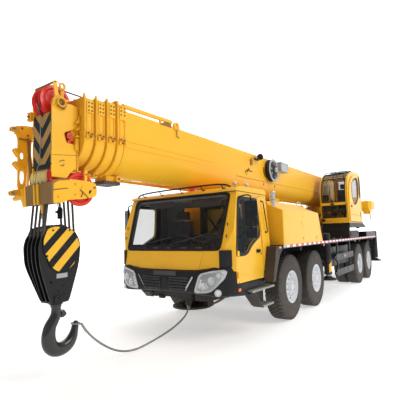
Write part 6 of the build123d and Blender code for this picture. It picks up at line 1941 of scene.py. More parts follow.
# cable leading forward and a clip on the side
g.tube([P(.440, 1.03, 2.98), P(.410, .96, 2.93), P(.392, .93, 3.02), P(.388, .92, 3.16)], .008, 4, 8, 2)
g.tube([P(.384, .02, 2.930), P(.392, .06, 2.975), P(.394, .16, 3.015), P(.394, .24, 2.990), P(.392, .33, 2.985)], .008, 4, 8, 2)
g.tube([P(.386, .12, 2.945), P(.394, .15, 3.010), P(.394, .19, 3.045)], .007, 4, 8, 1)
g.tube([P(.386, .08, 2.925), P(.392, .06, 2.88)], .005, 2, 8, 0)
g.done(slot="yellow_paint")

# hoist rope: drum, over the boom's rear end, along its top and out to the head
RX, RR = .095, .011


g = G("hoist_rope_head_run", "boom_5", [ROPE], bevel=0)
SH0 = (-4.270, 3.300, .186)          # visual centre and rope radius of the top sheaves
pts = [P(RX, SH0[0] + SH0[2] * math.cos(a), SH0[1] + SH0[2] * math.sin(a) * .97) for a in [math.radians(d) for d in range(186, 76, -6)]]
g.tube([P(RX, SH0[0] - SH0[2] - .012, 3.10)] + pts + [P(RX, -4.20, 3.480), P(RX, -4.046, 3.482)], .0095, 0, 10, 1)
g.done()
for nm, b0, b1, sa, sb in (("a", "boom_5", "boom_4", -4.046, -4.02), ("b", "boom_4", "boom_3", -4.02, -3.86), ("c", "boom_3", "boom_2", -3.86, -3.70),
                           ("d", "boom_2", "boom_base", -3.70, -3.54)):
    g = G("hoist_rope_span_" + nm, None, [ROPE], bevel=0)
    g.tube([P(RX, sa + (sb - sa) * i / 4, 3.482) for i in range(5)], .0095, 0, 10, 0)
    o = g.done()
    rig.blend(o, b0, b1, start=P(RX, sa, 3.482), end=P(RX, sb, 3.482))
g = G("hoist_rope_base_run", "boom_base", [ROPE, STEEL, YEL_SHADED, RED], bevel=0)
g.tube([P(RX, -3.54, 3.482), P(RX, 0, 3.480), P(RX, 4, 3.480), P(RX, 7.30, 3.481), P(RX, 7.42, 3.476), P(RX, 7.50, 3.452), P(RX, 7.545, 3.412)], .0095, 0, 10, 1)
g.lathe(P(RX - .02, 7.40, 3.335), LEFT, [(0, .03), (0, .135), (.012, .135), (.020, .124), (.028, .135), (.040, .135), (.040, .03)], 3, 40)
g.cyl(P(RX - .06, 7.40, 3.335), P(RX + .06, 7.40, 3.335), .028, 1, 20)
# guard plates beside the sheave, in the shaded yellow: painted shade
for x in (RX - .05, RX + .036):
    g.px(x, x + .014, [(7.28, 3.30), (7.52, 3.30), (7.46, 3.42), (7.34, 3.42)], 2)
g.done(slot="yellow_paint")

# ---- boom head -----------------------------------------------------------------------------------
def clip_poly(pts, x0, x1, z0, z1):
    """Cuts an outline down to a rectangle."""
    def cut(ps, f, at):
        out = []
        for a, b in zip(ps, ps[1:] + ps[:1]):
            if f(a) >= 0:
                out.append(a)
            if (f(a) >= 0) != (f(b) >= 0):
                t = f(a) / (f(a) - f(b))
                out.append((a[0] + (b[0] - a[0]) * t, a[1] + (b[1] - a[1]) * t))
        return out
    for f in (lambda p: p[0] - x0, lambda p: x1 - p[0], lambda p: p[1] - z0, lambda p: z1 - p[1]):
        if len(pts) < 3:
            return []
        pts = cut(pts, f, 0)
    return pts


# parts below drawn in the shaded yellow and shaded ochre carry painted shade: seams, door strip, gussets, rims,
# underside plates, rib lines, the ear and the lower front
g = G("boom_head_frame", "boom_5", [YELB, YEL_SHADED, OCHRE_SHADED, STEEL, BLK, TAN, CHEVB, ALU, RED], bevel=.003)
PL = [(-4.396, 2.440), (-4.398, 3.228), (-4.300, 3.262), (-4.130, 3.278), (-4.050, 3.262), (-4.048, 2.500), (-4.100, 2.475), (-4.150, 2.430), (-4.190, 2.375), (-4.210, 2.362), (-4.385, 2.362)]
OPEN_ = [(-4.245, 2.905), (-4.082, 2.990), (-4.070, 2.965), (-4.070, 2.800), (-4.095, 2.782), (-4.205, 2.786)]
OPEN_ = corner_round(OPEN_, .03)
ARM = corner_round([(-4.385, 2.052), (-4.405, 2.170), (-4.400, 2.300), (-4.330, 2.342), (-4.180, 2.352), (-3.900, 2.352), (-3.790, 2.332), (-3.777, 2.250),
                    (-3.782, 2.180), (-3.850, 2.150), (-4.012, 2.122), (-4.187, 2.105), (-4.262, 2.066)], .03)
for sd_ in (-1, 1):
    xa, xb = (.222, .242) if sd_ > 0 else (-.140, -.160)
    holed(g, [[P(xa, *p) for p in PL], [P(xa, *p) for p in reversed(OPEN_)]], LEFT * sd_ * .020, 0)
    # weld seam across the plate, door strip at the rear edge
    g.px(xb - sd_ * .004, xb + sd_ * .0025, [(-4.394, 2.612), (-4.054, 2.655), (-4.054, 2.661), (-4.394, 2.618)], 2)
    g.px(xb - sd_ * .004, xb + sd_ * .014, [(-4.064, 2.46), (-4.048, 2.46), (-4.048, 3.26), (-4.064, 3.26)], 1)
    # rim of the opening, and the rope guard's end seen in it
    g.tube([P(xb + sd_ * .001, *p) for p in OPEN_] + [P(xb + sd_ * .001, *OPEN_[0])], .0045, 1, 6, 0)
    g.cyl(P(xa - sd_ * .07, -4.150, 2.885), P(xa + sd_ * .008, -4.150, 2.885), .042, 8, 20)
    g.cyl(P(xa, -4.150, 2.885), P(xa + sd_ * .012, -4.150, 2.885), .016, 2, 12)
    g.box(xa - sd_ * .07, xa - sd_ * .004, -4.170, -4.090, 2.79, 2.835, 8)
    # gussets between the plate and the mouth of section 4
    for z0, z1, dz in ((3.045, 3.090, .060), (2.958, 2.990, .040), (2.872, 2.905, -.020)):
        g.px(xb - sd_ * .012, xb + sd_ * .046, [(-4.112, z0), (-4.051, z0 + .006), (-4.051, z1 + dz), (-4.074, z1)], 1)
    g.px(xb - sd_ * .01, xb + sd_ * .030, [(-4.105, 2.74), (-4.051, 2.70), (-4.051, 2.86), (-4.090, 2.865)], 1)
    # small engraved hook-shaped rope dog
    g.tube([P(xb + sd_ * .004, -4.300, 2.545), P(xb + sd_ * .006, -4.262, 2.572), P(xb + sd_ * .004, -4.232, 2.566)], .005, 2, 6, 1)
    g.tube([P(xb + sd_ * .004, -4.285, 2.508), P(xb + sd_ * .006, -4.250, 2.500), P(xb + sd_ * .004, -4.235, 2.528)], .005, 2, 6, 1)
    # lower arm that carries the guide sheave; its rib lines and marks are shaded ochre, painted shade
    g.px(sd_ * .236, sd_ * .272, ARM, 0)
    g.px(sd_ * .268, sd_ * .276, [(-4.392, 2.200), (-4.200, 2.236), (-4.200, 2.246), (-4.392, 2.214)], 2)
    g.px(sd_ * .268, sd_ * .278, [(-4.392, 2.300), (-4.335, 2.338), (-4.18, 2.350), (-4.18, 2.342), (-4.32, 2.322), (-4.392, 2.280)], 2)
    g.cyl(P(sd_ * .262, -3.985, 2.250), P(sd_ * .284, -3.985, 2.250), .036, 0, 28)
    g.tube([P(sd_ * .276, -4.035, 2.232), P(sd_ * .280, -3.975, 2.195), P(sd_ * .276, -3.895, 2.120)], .0055, 2, 6, 1)
    g.tube([P(sd_ * .276, -3.990, 2.235), P(sd_ * .280, -3.998, 2.19), P(sd_ * .276, -4.02, 2.145)], .0055, 2, 6, 1)
    g.px(sd_ * .268, sd_ * .279, [(-3.905, 2.225), (-3.868, 2.232), (-3.868, 2.240), (-3.894, 2.237), (-3.888, 2.196), (-3.896, 2.194)], 2)
    g.px(sd_ * .268, sd_ * .279, [(-3.840, 2.270), (-3.812, 2.300), (-3.800, 2.272), (-3.806, 2.262), (-3.815, 2.282), (-3.832, 2.262)], 2)
    g.px(sd_ * .258, sd_ * .276, [(-3.968, 2.345), (-3.932, 2.345), (-3.930, 2.455), (-3.940, 2.482), (-3.962, 2.482), (-3.972, 2.455)], 0)
    g.cyl(P(sd_ * .274, -3.951, 2.430), P(sd_ * .284, -3.951, 2.430), .011, 2, 6)
    for s, z in ((-4.33, 2.13), (-4.10, 2.17), (-4.10, 2.30)):
        g.bolt(P(sd_ * .272, s, z), LEFT * sd_, .010, .010, 1)
    # ear of the top axle, its boss and keeper: shaded yellow with a shaded-ochre cap, painted shade for the hollow boss
    ear = corner_round([(-4.398, 3.20), (-4.398, 3.262), (-4.372, 3.315), (-4.300, 3.345), (-4.225, 3.318), (-4.200, 3.262), (-4.210, 3.18)], .03)
    g.px(xa + sd_ * .003, xb + sd_ * .014, ear, 1)
    holed(g, [[P(xb + sd_ * .010, -4.300 + .058 * math.cos(a), 3.252 + .058 * math.sin(a)) for a in [2 * math.pi * i / 28 for i in range(28)]],
              [P(xb + sd_ * .010, -4.300 - .043 * math.cos(a), 3.252 + .043 * math.sin(a)) for a in [2 * math.pi * i / 28 for i in range(28)]]],
          LEFT * sd_ * .038, 1)
    g.cyl(P(xb + sd_ * .010, -4.300, 3.252), P(xb + sd_ * .022, -4.300, 3.252), .044, 2, 28)
    g.px(xb + sd_ * .008, xb + sd_ * .052, [(-4.262, 3.262), (-4.190, 3.290), (-4.190, 3.304), (-4.270, 3.290)], 1)
    g.px(xb + sd_ * .008, xb + sd_ * .040, [(-4.345, 3.200), (-4.255, 3.176), (-4.222, 3.262), (-4.262, 3.270), (-4.285, 3.215), (-4.338, 3.222)], 2)
# cross plates of the nose and bridge
g.box(-.142, .224, -4.386, -4.368, 2.470, 3.060, 4)
g.box(-.218, .218, -4.130, -4.116, 2.690, 3.240, 0)
g.box(-.142, .224, -4.370, -4.060, 2.440, 2.456, 1)
g.box(-.262, .150, -4.300, -3.960, 2.395, 2.410, 1)
g.box(.100, .222, -4.114, -4.052, 3.120, 3.262, 4)
g.box(-.142, .224, -4.116, -4.052, 3.238, 3.254, 1)
# chevrons on the nose: tan and black Vs
X0, X1, Z0, Z1, XC = -.158, .238, 2.520, 3.130, .045
g.box(X0, X1, -4.3945, -4.3855, Z0, Z1, 6)
g.box(X0, X1, -4.400, -4.386, Z0 - .018, Z0, 6)
for apex in (2.455, 2.708, 2.960, 3.212):
    # each V: a band .125 high whose arms climb .30 to the sides
    for sd_ in (-1, 1):
        arm = [(XC, apex), (XC + sd_ * .24, apex + .262), (XC + sd_ * .24, apex + .262 + .128), (XC, apex + .128)]
        poly = clip_poly(arm, X0 + .001, X1 - .001, Z0, Z1 - .001)
        if len(poly) > 2:
            g.py(-4.3975, -4.392, poly, 5)
# lower front: cross plate in the dark shaded ochre, painted shade on the face turned from the light, with two ribs
# between the arms
g.py(-4.422, -4.400, [(-.235, 2.046), (.285, 2.052), (.290, 2.300), (-.268, 2.292)], 2)
for x in (-.034, .034):
    g.py(-4.440, -4.414, [(x - .013, 2.050), (x + .013, 2.050), (x - .009, 2.290), (x - .033, 2.290)], 0)
g.py(-4.430, -4.404, [(-.252, 2.052), (-.226, 2.052), (-.256, 2.292), (-.282, 2.292)], 0)
# tongue below the plate
g.py(-4.412, -4.400, [(.030, 2.060), (.086, 2.060), (.098, 1.955), (.070, 1.945)], 1)
g.px(-.270, .270, [(-4.410, 2.285), (-4.395, 2.295), (-4.385, 2.285), (-4.395, 2.278)], 1)
g.box(-.262, .262, -4.330, -4.300, 2.055, 2.110, 2)
# axles with their end plates
for s, z, r, xe in ((-4.222, 2.385, .034, .215), (-4.220, 2.120, .024, .262)):
    g.cyl(P(-.262, s, z), P(xe, s, z), r, 3, 24)
g.cyl(P(-.160, -4.270, 3.300), P(.242, -4.270, 3.300), .034, 3, 24)
g.cyl(P(-.262, -3.985, 2.250), P(.262, -3.985, 2.250), .033, 3, 24)
# rope guard over the top sheaves: strap to the axle, cross bar, ring tab
for x in (.232, -.150):
    g.px(x - .009, x + .009, [(-4.352, 3.290), (-4.306, 3.290), (-4.334, 3.492), (-4.352, 3.508), (-4.384, 3.500), (-4.380, 3.480)], 0)
g.cyl(P(-.165, -4.362, 3.496), P(.245, -4.362, 3.496), .012, 2, 14)
ring = [(-4.262 + .044 * math.cos(a), 3.462 + .052 * math.sin(a)) for a in [2 * math.pi * i / 20 for i in range(20)]]
rin = [(-4.264 + .022 * math.cos(a), 3.468 + .024 * math.sin(a)) for a in [2 * math.pi * i / 16 for i in range(16)]]
holed(g, [[P(.226, *p) for p in ring], [P(.226, *p) for p in reversed(rin)]], LEFT * .018, 1)
g.px(.224, .244, [(-4.282, 3.425), (-4.238, 3.425), (-4.250, 3.300), (-4.290, 3.300)], 1)
g.tube([P(.235, -4.300, 3.485), P(.235, -4.32, 3.505), P(.235, -4.35, 3.503)], .006, 1, 8, 1)
# bolts beside the sheaves at the left of the nose
g.box(-.215, -.150, -4.430, -4.395, 3.085, 3.195, 1)
for z in (3.105, 3.140, 3.178):
    g.cyl(P(-.190, -4.425, z), P(-.190, -4.446, z), .017, 2 if z == 3.140 else 1, 6)
g.cyl(P(-.215, -4.412, 3.16), P(-.245, -4.412, 3.16), .017, 1, 6)
g.cyl(P(-.215, -4.412, 3.11), P(-.243, -4.412, 3.11), .015, 2, 6)
# thin pull line in front of the nose
g.tube([P(.055, -4.482, 3.235), P(.048, -4.428, 3.13), P(.036, -4.412, 2.85), P(.022, -4.410, 2.55), P(.018, -4.452, 2.43), P(.016, -4.454, 2.30)], .0048, 7, 8, 2)
g.done(replaces="boom_head", slot="yellow_paint")

# sheaves: turned rims with a rope groove, thin web and hub
g = G("head_sheaves_turned", "boom_5", [RED, NYLON, STEEL, YEL_SHADED], bevel=0)


def sheave(g, x, s, z, r, t, ax, m_, hub=None):
    c = P(x, s, z)
    h = t / 2
    hub = hub or ax * 1.9
    prof = [(-h, r), (-h * .82, r + .002), (-h * .35, r - .030), (0, r - .034), (h * .35, r - .030), (h * .82, r + .002), (h, r), (h, r - .036),
            (h * .62, r - .044), (h * .30, r - .052), (h * .30, hub + .012), (h * .62, hub + .004), (h * .95, hub), (h * .95, ax + .001),
            (-h * .95, ax + .001), (-h * .95, hub), (-h * .62, hub + .004), (-h * .30, hub + .012), (-h * .30, r - .052), (-h * .62, r - .044), (-h, r - .036)]
    g.lathe(c, LEFT, prof, m_, 64)


for x in (-.035, .095):
    sheave(g, x, -4.270, 3.300, .203, .056, .036, 0)
    # hub sleeve in the shaded yellow: painted shade
    g.lathe(P(x, -4.270, 3.300), LEFT, [(-.029, .037), (-.029, .062), (.029, .062), (.029, .037)], 3, 32)
sheave(g, .195, -3.985, 2.250, .205, .044, .034, 0)
for i, x in enumerate((-.176, -.088, 0, .088, .172)):
    if i == 4:
        sheave(g, x, -4.222, 2.385, .175, .060, .034, 0)
    else:
        for dx in (-.022, .022):
            sheave(g, x + dx, -4.222, 2.385, .162, .040, .034, 1)
g.done(replaces="head_sheaves", slot="red_nylon")

# dead-end socket with its pin
soften("rope_socket", "rope_hanger", STEEL, .003, 2, slot="cast_grey")

# ---- folded lattice jib on the far side -------------------------------------------------------------
# braces, ties and brackets of the far-side jib take the shaded yellow and its chords the boom yellow: painted shade on
# the unlit side
g = G("lattice_jib_tubes", "boom_base", [YEL_SHADED, YELB, OCHRE_SHADED, STEEL], bevel=0)
JX_, JZ_, JS_ = (-.930, -.590), (2.650, 3.130), (4.500, -3.950)
for x in JX_:
    for z in JZ_:
        g.cyl(P(x, JS_[1], z), P(x, JS_[0], z), .030, 1, 20)
nj = 10
for k in range(nj + 1):
    s = JS_[1] + .028 + k * ((JS_[0] - JS_[1] - .056) / nj)
    for x in JX_:
        g.cyl(P(x, s, JZ_[0]), P(x, s, JZ_[1]), .018, 0, 12)
    for z in JZ_:
        g.cyl(P(JX_[0], s, z), P(JX_[1], s, z), .018, 0, 12)
    if k < nj:
        t = s + (JS_[0] - JS_[1] - .056) / nj
        lo_, hi_ = (0, 1) if k % 2 else (1, 0)
        for x in JX_:
            g.cyl(P(x, s, JZ_[lo_]), P(x, t, JZ_[hi_]), .016, 0, 12)
        for z in JZ_:
            g.cyl(P(JX_[lo_], s, z), P(JX_[hi_], t, z), .016, 0, 12)
for s in (-2.600, 2.600):
    g.box(-.590, -.560, s - .060, s + .060, 2.600, 2.690, 0)
    g.box(-.590, -.560, s - .060, s + .060, 3.050, 3.110, 0)
    g.box(-.618, -.562, s - .060, s + .060, 2.600, 3.130, 0)
g.done(replaces="lattice_jib", slot="yellow_paint")
# lugs, cross tubes and braces here take the shaded yellow, and bolts, strap and small braces the shaded ochre: painted
# shade on the jib's unlit side
g = G("lattice_jib_front", "boom_base", [YEL_SHADED, YELB, OCHRE_SHADED, STEEL], bevel=.004)
OUT = [(-4.400, 3.050), (-4.372, 3.062), (-4.376, 3.118), (-4.300, 3.140), (-4.130, 3.160), (-3.950, 3.166), (-3.950, 3.094), (-4.130, 2.985),
       (-4.205, 2.950), (-4.222, 2.60), (-4.238, 2.345), (-4.200, 2.300), (-4.330, 2.290), (-4.345, 2.340), (-4.345, 2.560), (-4.352, 2.940),
       (-4.372, 3.000), (-4.400, 3.018)]
oval = [(-4.290 + .032 * math.cos(a), 2.460 + .095 * math.sin(a)) for a in [2 * math.pi * i / 24 for i in range(24)]]
oval2 = [(-4.296 + .026 * math.cos(a), 2.735 + .044 * math.sin(a)) for a in [2 * math.pi * i / 20 for i in range(20)]]
x = -.590
holed(g, [[P(x - .012, *p) for p in OUT], [P(x - .012, *p) for p in reversed(oval)], [P(x - .012, *p) for p in reversed(oval2)]], LEFT * .024, 1)
for dx in (-.034, .014):
    g.px(x + dx, x + dx + .020, [(-4.412, 2.790), (-4.392, 2.826), (-4.372, 2.818), (-4.335, 2.768), (-4.335, 2.712), (-4.352, 2.712)], 1)
    g.px(x + dx, x + dx + .020, [(-4.412, 2.615), (-4.392, 2.655), (-4.370, 2.648), (-4.330, 2.606), (-4.240, 2.572), (-4.240, 2.532), (-4.345, 2.545)], 1)
    g.px(x + dx - .01, x + dx + .010, [(-4.442, 3.045), (-4.440, 3.096), (-4.380, 3.106), (-4.340, 3.100), (-4.340, 3.040)], 0)
    g.px(x + dx - .01, x + dx + .010, [(-4.435, 2.212), (-4.440, 2.262), (-4.370, 2.290), (-4.300, 2.295), (-4.300, 2.200)], 0)
for z in (3.072, 2.238):
    g.cyl(P(x - .056, -4.410, z), P(x + .050, -4.410, z), .014, 3, 14)
    g.tube([P(x + .05, -4.410, z), P(x + .058, -4.405, z - .03), P(x + .05, -4.395, z - .05)], .005, 3, 6, 1)
g.cyl(P(x, -4.285, 2.310), P(x, -4.212, 2.078), .050, 1, 24)
g.cyl(P(x, -4.300, 2.275), P(x, -4.200, 2.300), .030, 0, 18)
for s, z in ((-4.30, 3.10), (-4.15, 3.12), (-4.22, 3.02)):
    g.bolt(P(x + .012, s, z), LEFT, .011, .010, 2)
g.box(x - .012, x + .040, -4.345, -4.16, 2.944, 2.958, 2)
g.px(x - .010, x + .028, [(-4.238, 2.98), (-4.205, 2.98), (-4.120, 2.30), (-4.165, 2.30)], 2)
g.cyl(P(-.93, -4.15, 3.085), P(-.59, -4.15, 3.085), .030, 0, 18)
g.cyl(P(-.93, -4.20, 2.205), P(-.59, -4.20, 2.205), .030, 0, 18)
g.cyl(P(-.59, -4.18, 2.95), P(-.93, -4.02, 2.35), .018, 0, 12)
# slanting braces towards the boom's side: turnbuckle and hook
g.tube([P(-.575, -4.10, 3.030), P(-.50, -4.05, 3.060), P(-.46, -4.02, 3.085)], .020, 0, 12, 1)
g.tube([P(-.575, -4.05, 2.95), P(-.53, -4.06, 2.80), P(-.50, -4.04, 2.66)], .016, 2, 10, 1)
g.box(-.600, -.530, -4.12, -4.04, 2.945, 3.01, 0)
g.cyl(P(-.535, -4.08, 2.975), P(-.515, -4.08, 2.975), .030, 2, 12)
g.tube([P(-.585, -4.02, 2.55), P(-.53, -4.0, 2.66), P(-.50, -3.98, 2.70)], .009, 2, 8, 1)
g.done(slot="yellow_paint")

# ---- falls between the head and the hook block ----------------------------------------------------------
FALLS = []
for i, x in enumerate((-.118, -.040, .040, .118)):
    xt = (-.154, -.066, .022, .110)[i]
    FALLS.append((xt, -4.222 - .128, 2.385, x, -4.220 - .222, 1.560))
    FALLS.append((xt + .044, -4.222 + .140, 2.385, x, -4.220 + .222, 1.560))
FALLS.append((.172, -4.222 - .141, 2.385, .150, -4.22 - .222, 1.560))
g = G("hoist_falls", None, [ROPE], bevel=0)
for xt, st_, zt, xb, sb, zb in FALLS:
    n_ = 24
    g.tube([P(lerp(xt, xb, i / n_), lerp(st_, sb, i / n_), lerp(zt, zb, i / n_)) for i in range(n_ + 1)], .0135, 0, 10, 0)
o = g.done(slot="cast_grey")
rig.blend(o, "rope_hanger", "hook", start=P(0, -4.22, 2.05), end=P(0, -4.22, 1.86))
# dead end below its socket
g = G("hoist_dead_end", None, [ROPE, STEEL], bevel=0)
g.tube([P(-.199, -4.220, 1.925 - i * (.185 / 12)) for i in range(13)], .0135, 0, 10, 0)
o = g.done(slot="cast_grey")
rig.blend(o, "rope_hanger", "hook", start=P(0, -4.22, 1.905), end=P(0, -4.22, 1.82))
# small weight of the hoist limit switch, clipped round one of the rear falls
g = G("limit_switch_weight", "rope_hanger", [BLK, ROPE, STEEL], bevel=.003)
g.tube([P(-.150, -4.055, 2.10), P(-.146, -4.055, 2.06), P(-.140, -4.052, 2.03)], .006, 1, 6, 0)
g.lathe(P(-.1165, -4.044, 1.900), UP, [(0, .015), (0, .026), (.012, .032), (.12, .032), (.14, .024), (.15, .015)], 0, 24)
g.px(-.150, -.138, [(-4.110, 1.985), (-4.060, 2.010), (-4.050, 1.965)], 0)
g.done(slot="black_paint")

# ---- hook block ----------------------------------------------------------------------------------------------
g = G("hook_block_frame", "hook", [HOOKB, YEL, CHEVB, STEEL, GREYBOX, BLK, NUT], bevel=.004)
CH = corner_round([(-4.300, 1.795), (-4.220, 1.828), (-4.130, 1.795), (-3.990, 1.700), (-3.945, 1.580), (-3.958, 1.400), (-3.985, 1.280), (-4.095, .940),
                   (-4.120, .915), (-4.320, .915), (-4.345, .940), (-4.455, 1.280), (-4.480, 1.400), (-4.492, 1.580), (-4.450, 1.700)], .05, 3)
for x in (-.165, -.088, -.009, .070, .147):
    fs = g.px(x, x + .018, CH, 0)
    # the far cheeks lean in towards the trunnion
    if x < .05:
        for v in {v for f in fs for v in f.verts}:
            if v.co.z < 1.36:
                v.co.x = lerp(v.co.x, v.co.x * .25, min(1, (1.36 - v.co.z) / .44))
for s, z in ((-4.400, 1.44), (-4.030, 1.44), (-4.330, 1.75), (-4.110, 1.75)):
    g.cyl(P(-.165, s, z), P(.165, s, z), .016, 3, 14)
for s, z in ((-4.34, 1.16), (-4.10, 1.16)):
    g.cyl(P(-.09, s, z), P(.165, s, z), .016, 0, 14)
OCT = [(-4.403, 1.772), (-4.452, 1.650), (-4.449, 1.534), (-4.352, 1.328), (-4.268, 1.268), (-4.142, 1.262), (-4.050, 1.330), (-3.962, 1.470), (-3.952, 1.560),
       (-4.018, 1.722), (-4.120, 1.782), (-4.300, 1.805)]
OCT = corner_round(OCT, .03, 3)
for sd_ in (-1, 1):
    # striped weight plate: black with yellow diagonals
    xa, xb = sd_ * .163, sd_ * .177
    g.px(xa, xb, OCT, 2)
    for k in range(-3, 6):
        z0 = 1.300 + k * .250
        band = [(-4.52, z0 - .300), (-3.90, z0 + .330), (-3.90, z0 + .330 + .132), (-4.52, z0 - .300 + .132)]
        # keep the part inside the plate's outline
        poly = band
        hull = [p for p in OCT]
        area2 = sum(a[0] * b[1] - b[0] * a[1] for a, b in zip(hull, hull[1:] + hull[:1]))
        if area2 < 0:
            hull = hull[::-1]
        cxm, czm = sum(p[0] for p in hull) / len(hull), sum(p[1] for p in hull) / len(hull)
        hull = [(cxm + (a - cxm) * .965, czm + (b - czm) * .965) for a, b in hull]
        for a, b in zip(hull, hull[1:] + hull[:1]):
            out = []
            f = lambda p: (b[0] - a[0]) * (p[1] - a[1]) - (b[1] - a[1]) * (p[0] - a[0])
            for p, q in zip(poly, poly[1:] + poly[:1]):
                if f(p) >= 0:
                    out.append(p)
                if (f(p) >= 0) != (f(q) >= 0):
                    t = f(p) / (f(p) - f(q))
                    out.append((p[0] + (q[0] - p[0]) * t, p[1] + (q[1] - p[1]) * t))
            poly = out
            if len(poly) < 3:
                break
        if len(poly) > 2 and max(abs(p[1] - q[1]) for p in poly for q in poly) > .01:
            g.px(xb - sd_ * .003, xb + sd_ * .0018, poly, 1)
    # blank plate and bolts
    g.px(sd_ * .164, sd_ * .1675, [(-4.272, 1.196), (-4.128, 1.200), (-4.128, 1.252), (-4.272, 1.248)], 4)
    for s, z in ((-4.236, 1.047), (-4.185, 1.105)):
        g.cyl(P(sd_ * .164, s, z), P(sd_ * .174, s, z), .012, 0, 6)
    for s, z in ((-4.400, 1.46), (-4.030, 1.46), (-4.330, 1.75), (-4.110, 1.75)):
        g.cyl(P(sd_ * .164, s, z), P(sd_ * .181, s, z), .014, 0, 6)
    # trunnion end plate
    if sd_ > 0:
        g.px(sd_ * .163, sd_ * .176, [(-4.30, .925), (-4.14, .925), (-4.14, 1.005), (-4.30, 1.005)], 0)
        g.cyl(P(sd_ * .172, -4.220, .965), P(sd_ * .182, -4.220, .965), .026, 0, 24)
# rope guards over the top and cross pieces
for s in (-4.452, -3.985):
    g.box(-.160, .160, s - .008, s + .008, 1.53, 1.58, 0)
g.box(-.040, .160, -4.335, -4.105, .918, .940, 0)
g.cyl(P(-.163, -4.220, 1.560), P(.163, -4.220, 1.560), .040, 3, 24)
# trunnion, nut and its thrust ring
g.box(-.040, .145, -4.290, -4.150, .928, 1.008, 0)
g.lathe(P(0, -4.200, .0), UP, [(1.008, .0), (1.008, .062), (1.040, .062), (1.044, .056), (1.100, .056), (1.106, .048), (1.106, .0)], 3, 32, closed=False)
g.lathe(P(0, -4.170, .0), UP, [(.928, .0), (.928, .078), (.898, .082), (.880, .078), (.876, .060), (.876, .0)], 0, 32, closed=False)
g.done(replaces="hook_block", slot="black_paint")
g = G("hook_block_sheaves", "hook", [NYLON, BLK], bevel=0)
for x in (-.118, -.040, .040, .118):
    sheave(g, x, -4.220, 1.560, .232, .054, .041, 1)
g.done(slot="black_paint")

# forged hook: round section that swells in the bowl and thins towards the point
g = G("forged_hook", "hook", [FORGED, STEEL, ORANGE], bevel=0)
SPINE = [(-4.168, .885, .052, .052), (-4.168, .800, .054, .054), (-4.175, .745, .058, .056), (-4.205, .690, .062, .058), (-4.240, .635, .068, .060),
         (-4.258, .570, .076, .062), (-4.262, .500, .082, .064), (-4.246, .430, .086, .064), (-4.205, .378, .086, .064), (-4.150, .352, .085, .063),
         (-4.090, .347, .082, .062), (-4.030, .360, .078, .060), (-3.975, .395, .072, .057), (-3.935, .450, .060, .051), (-3.910, .515, .046, .043),
         (-3.898, .570, .040, .040), (-3.888, .612, .030, .032), (-3.884, .632, .014, .016)]


def catmull(ps, n):
    out = []
    q = [ps[0]] + ps + [ps[-1]]
    for i in range(1, len(q) - 2):
        for k in range(n):
            t = k / n
            out.append(tuple(.5 * (2 * b + (c_ - a) * t + (2 * a - 5 * b + 4 * c_ - d) * t * t + (3 * b - a - 3 * c_ + d) * t ** 3)
                             for a, b, c_, d in zip(q[i - 1], q[i], q[i + 1], q[i + 2])))
    out.append(ps[-1])
    return out


sp_ = catmull(SPINE, 4)
loops = []
for i, (s, z, ra, rx) in enumerate(sp_):
    a, b = sp_[max(i - 1, 0)], sp_[min(i + 1, len(sp_) - 1)]
    t = Vector((0, b[0] - a[0], b[1] - a[1])).normalized()
    nrm = Vector((0, -t.z, t.y))
    c = P(0, s, z)
    lp = []
    for j in range(28):
        k = 2 * math.pi * j / 28
        # a rounded trapezium: wider at the inside of the bowl
        u, v = math.cos(k), math.sin(k)
        w_in = 1.0 + .10 * u
        lp.append(c + nrm * (ra * math.copysign(abs(u) ** .88, u)) + LEFT * (rx * w_in * math.copysign(abs(v) ** .88, v)))
    loops.append(lp)
loft(g, loops, 0)
# shoulder knob opposite the point
g.ball(P(0, -4.082, .742), .030, 0, (1.1, 1.5, 1.2), 20, 12)
g.px(-.030, .030, [(-4.110, .790), (-4.075, .800), (-4.040, .752), (-4.052, .728), (-4.100, .730)], 0)
g.lathe(P(0, -4.168, 0), UP, [(.902, .0), (.902, .058), (.890, .064), (.852, .064), (.842, .058), (.842, .0)], 0, 32, closed=False)
g.done(slot="black_paint")

# ---- floor, backdrop and light ---------------------------------------------------------------
FLOORM = mat("studio_floor", (0.80, 0.80, 0.79), rough=0.75, vary=0.012, vary_scale=0.12, bump=0.04, bump_scale=30)
nt = FLOORM.node_tree
geo = nt.nodes.new("ShaderNodeNewGeometry")
dot = nt.nodes.new("ShaderNodeVectorMath")
dot.operation = "DOT_PRODUCT"
dot.inputs[1].default_value = tuple(Vector((fw.x, fw.y, 0)).normalized())
nt.links.new(geo.outputs["Position"], dot.inputs[0])
mr = nt.nodes.new("ShaderNodeMapRange")
for k_, v_ in (("From Min", -7.0), ("From Max", 16.0), ("To Min", 0.36), ("To Max", 0.92)):
    mr.inputs[k_].default_value = v_
nt.links.new(dot.outputs["Value"], mr.inputs["Value"])
nt.nodes["Principled BSDF"].inputs["Emission Color"].default_value = (1, 1, 1, 1)
nt.links.new(mr.outputs["Result"], nt.nodes["Principled BSDF"].inputs["Emission Strength"])
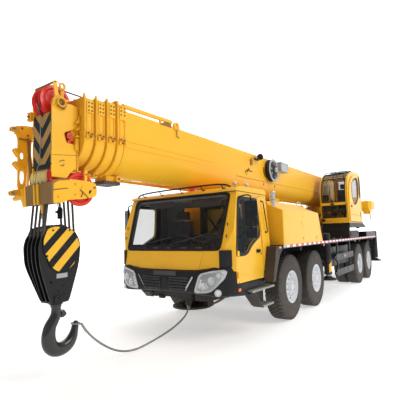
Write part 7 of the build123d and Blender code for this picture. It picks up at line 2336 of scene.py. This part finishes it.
prof = [(-30.0, 0.0), (22.0, 0.0)] + [(22 + 9 * math.sin(a), 9 - 9 * math.cos(a)) for a in [math.radians(k * 7.5) for k in range(1, 13)]] + [(31.0, 60.0)]
bm = bmesh.new()
fl = Vector((fw.x, fw.y, 0)).normalized()
sd = Vector((fl.y, -fl.x, 0))
o0 = P(0, 0, 0)
rows = [[bm.verts.new(Vector((o0.x, o0.y, 0)) + fl * d + sd * w + Vector((0, 0, h))) for w in (-60, 60)] for d, h in prof]
for a, b in zip(rows, rows[1:]):
    f = bm.faces.new((a[0], a[1], b[1], b[0]))
    f.smooth = True
me = bpy.data.meshes.new("studio_sweep")
bm.to_mesh(me)
bm.free()
me.materials.append(FLOORM)
sweep = bpy.data.objects.new("studio_sweep", me)
bpy.context.scene.collection.objects.link(sweep)
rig.stage(sweep)


def area(name, pos, aim, size, power, color=(1, 1, 1)):
    ld = bpy.data.lights.new(name, "AREA")
    ld.shape, ld.size, ld.size_y, ld.energy, ld.color = "RECTANGLE", size[0], size[1], power, color
    lo = bpy.data.objects.new(name, ld)
    bpy.context.scene.collection.objects.link(lo)
    lo.location = pos
    lo.rotation_euler = (aim - pos).to_track_quat("-Z", "Y").to_euler()
    return lo


area("key_soft", P(14, 1.5, 11), P(0.5, 1.5, 1.6), (9, 9), 1220, (1.0, 0.985, 0.96))
area("fill_front", P(-2, -16, 5), P(0, -2, 1.5), (9, 6), 60, (0.97, 0.98, 1.0))
area("top_soft", P(0, 3, 14), P(0, 3, 0), (10, 16), 430)
w = bpy.data.worlds.new("studio")
bpy.context.scene.world = w
w.use_nodes = True
w.node_tree.nodes["Background"].inputs["Color"].default_value = (0.93, 0.945, 0.96, 1)
w.node_tree.nodes["Background"].inputs["Strength"].default_value = 0.47
vs = bpy.context.scene.view_settings
vs.view_transform = "Standard"
vs.look = "None"
vs.exposure = 0.0

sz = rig.bounds()
with open("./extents.json", "w") as fh:
    json.dump({"cad": [list(v) for v in CAD_BOX], "visual": [list(v) for v in sz]}, fh)
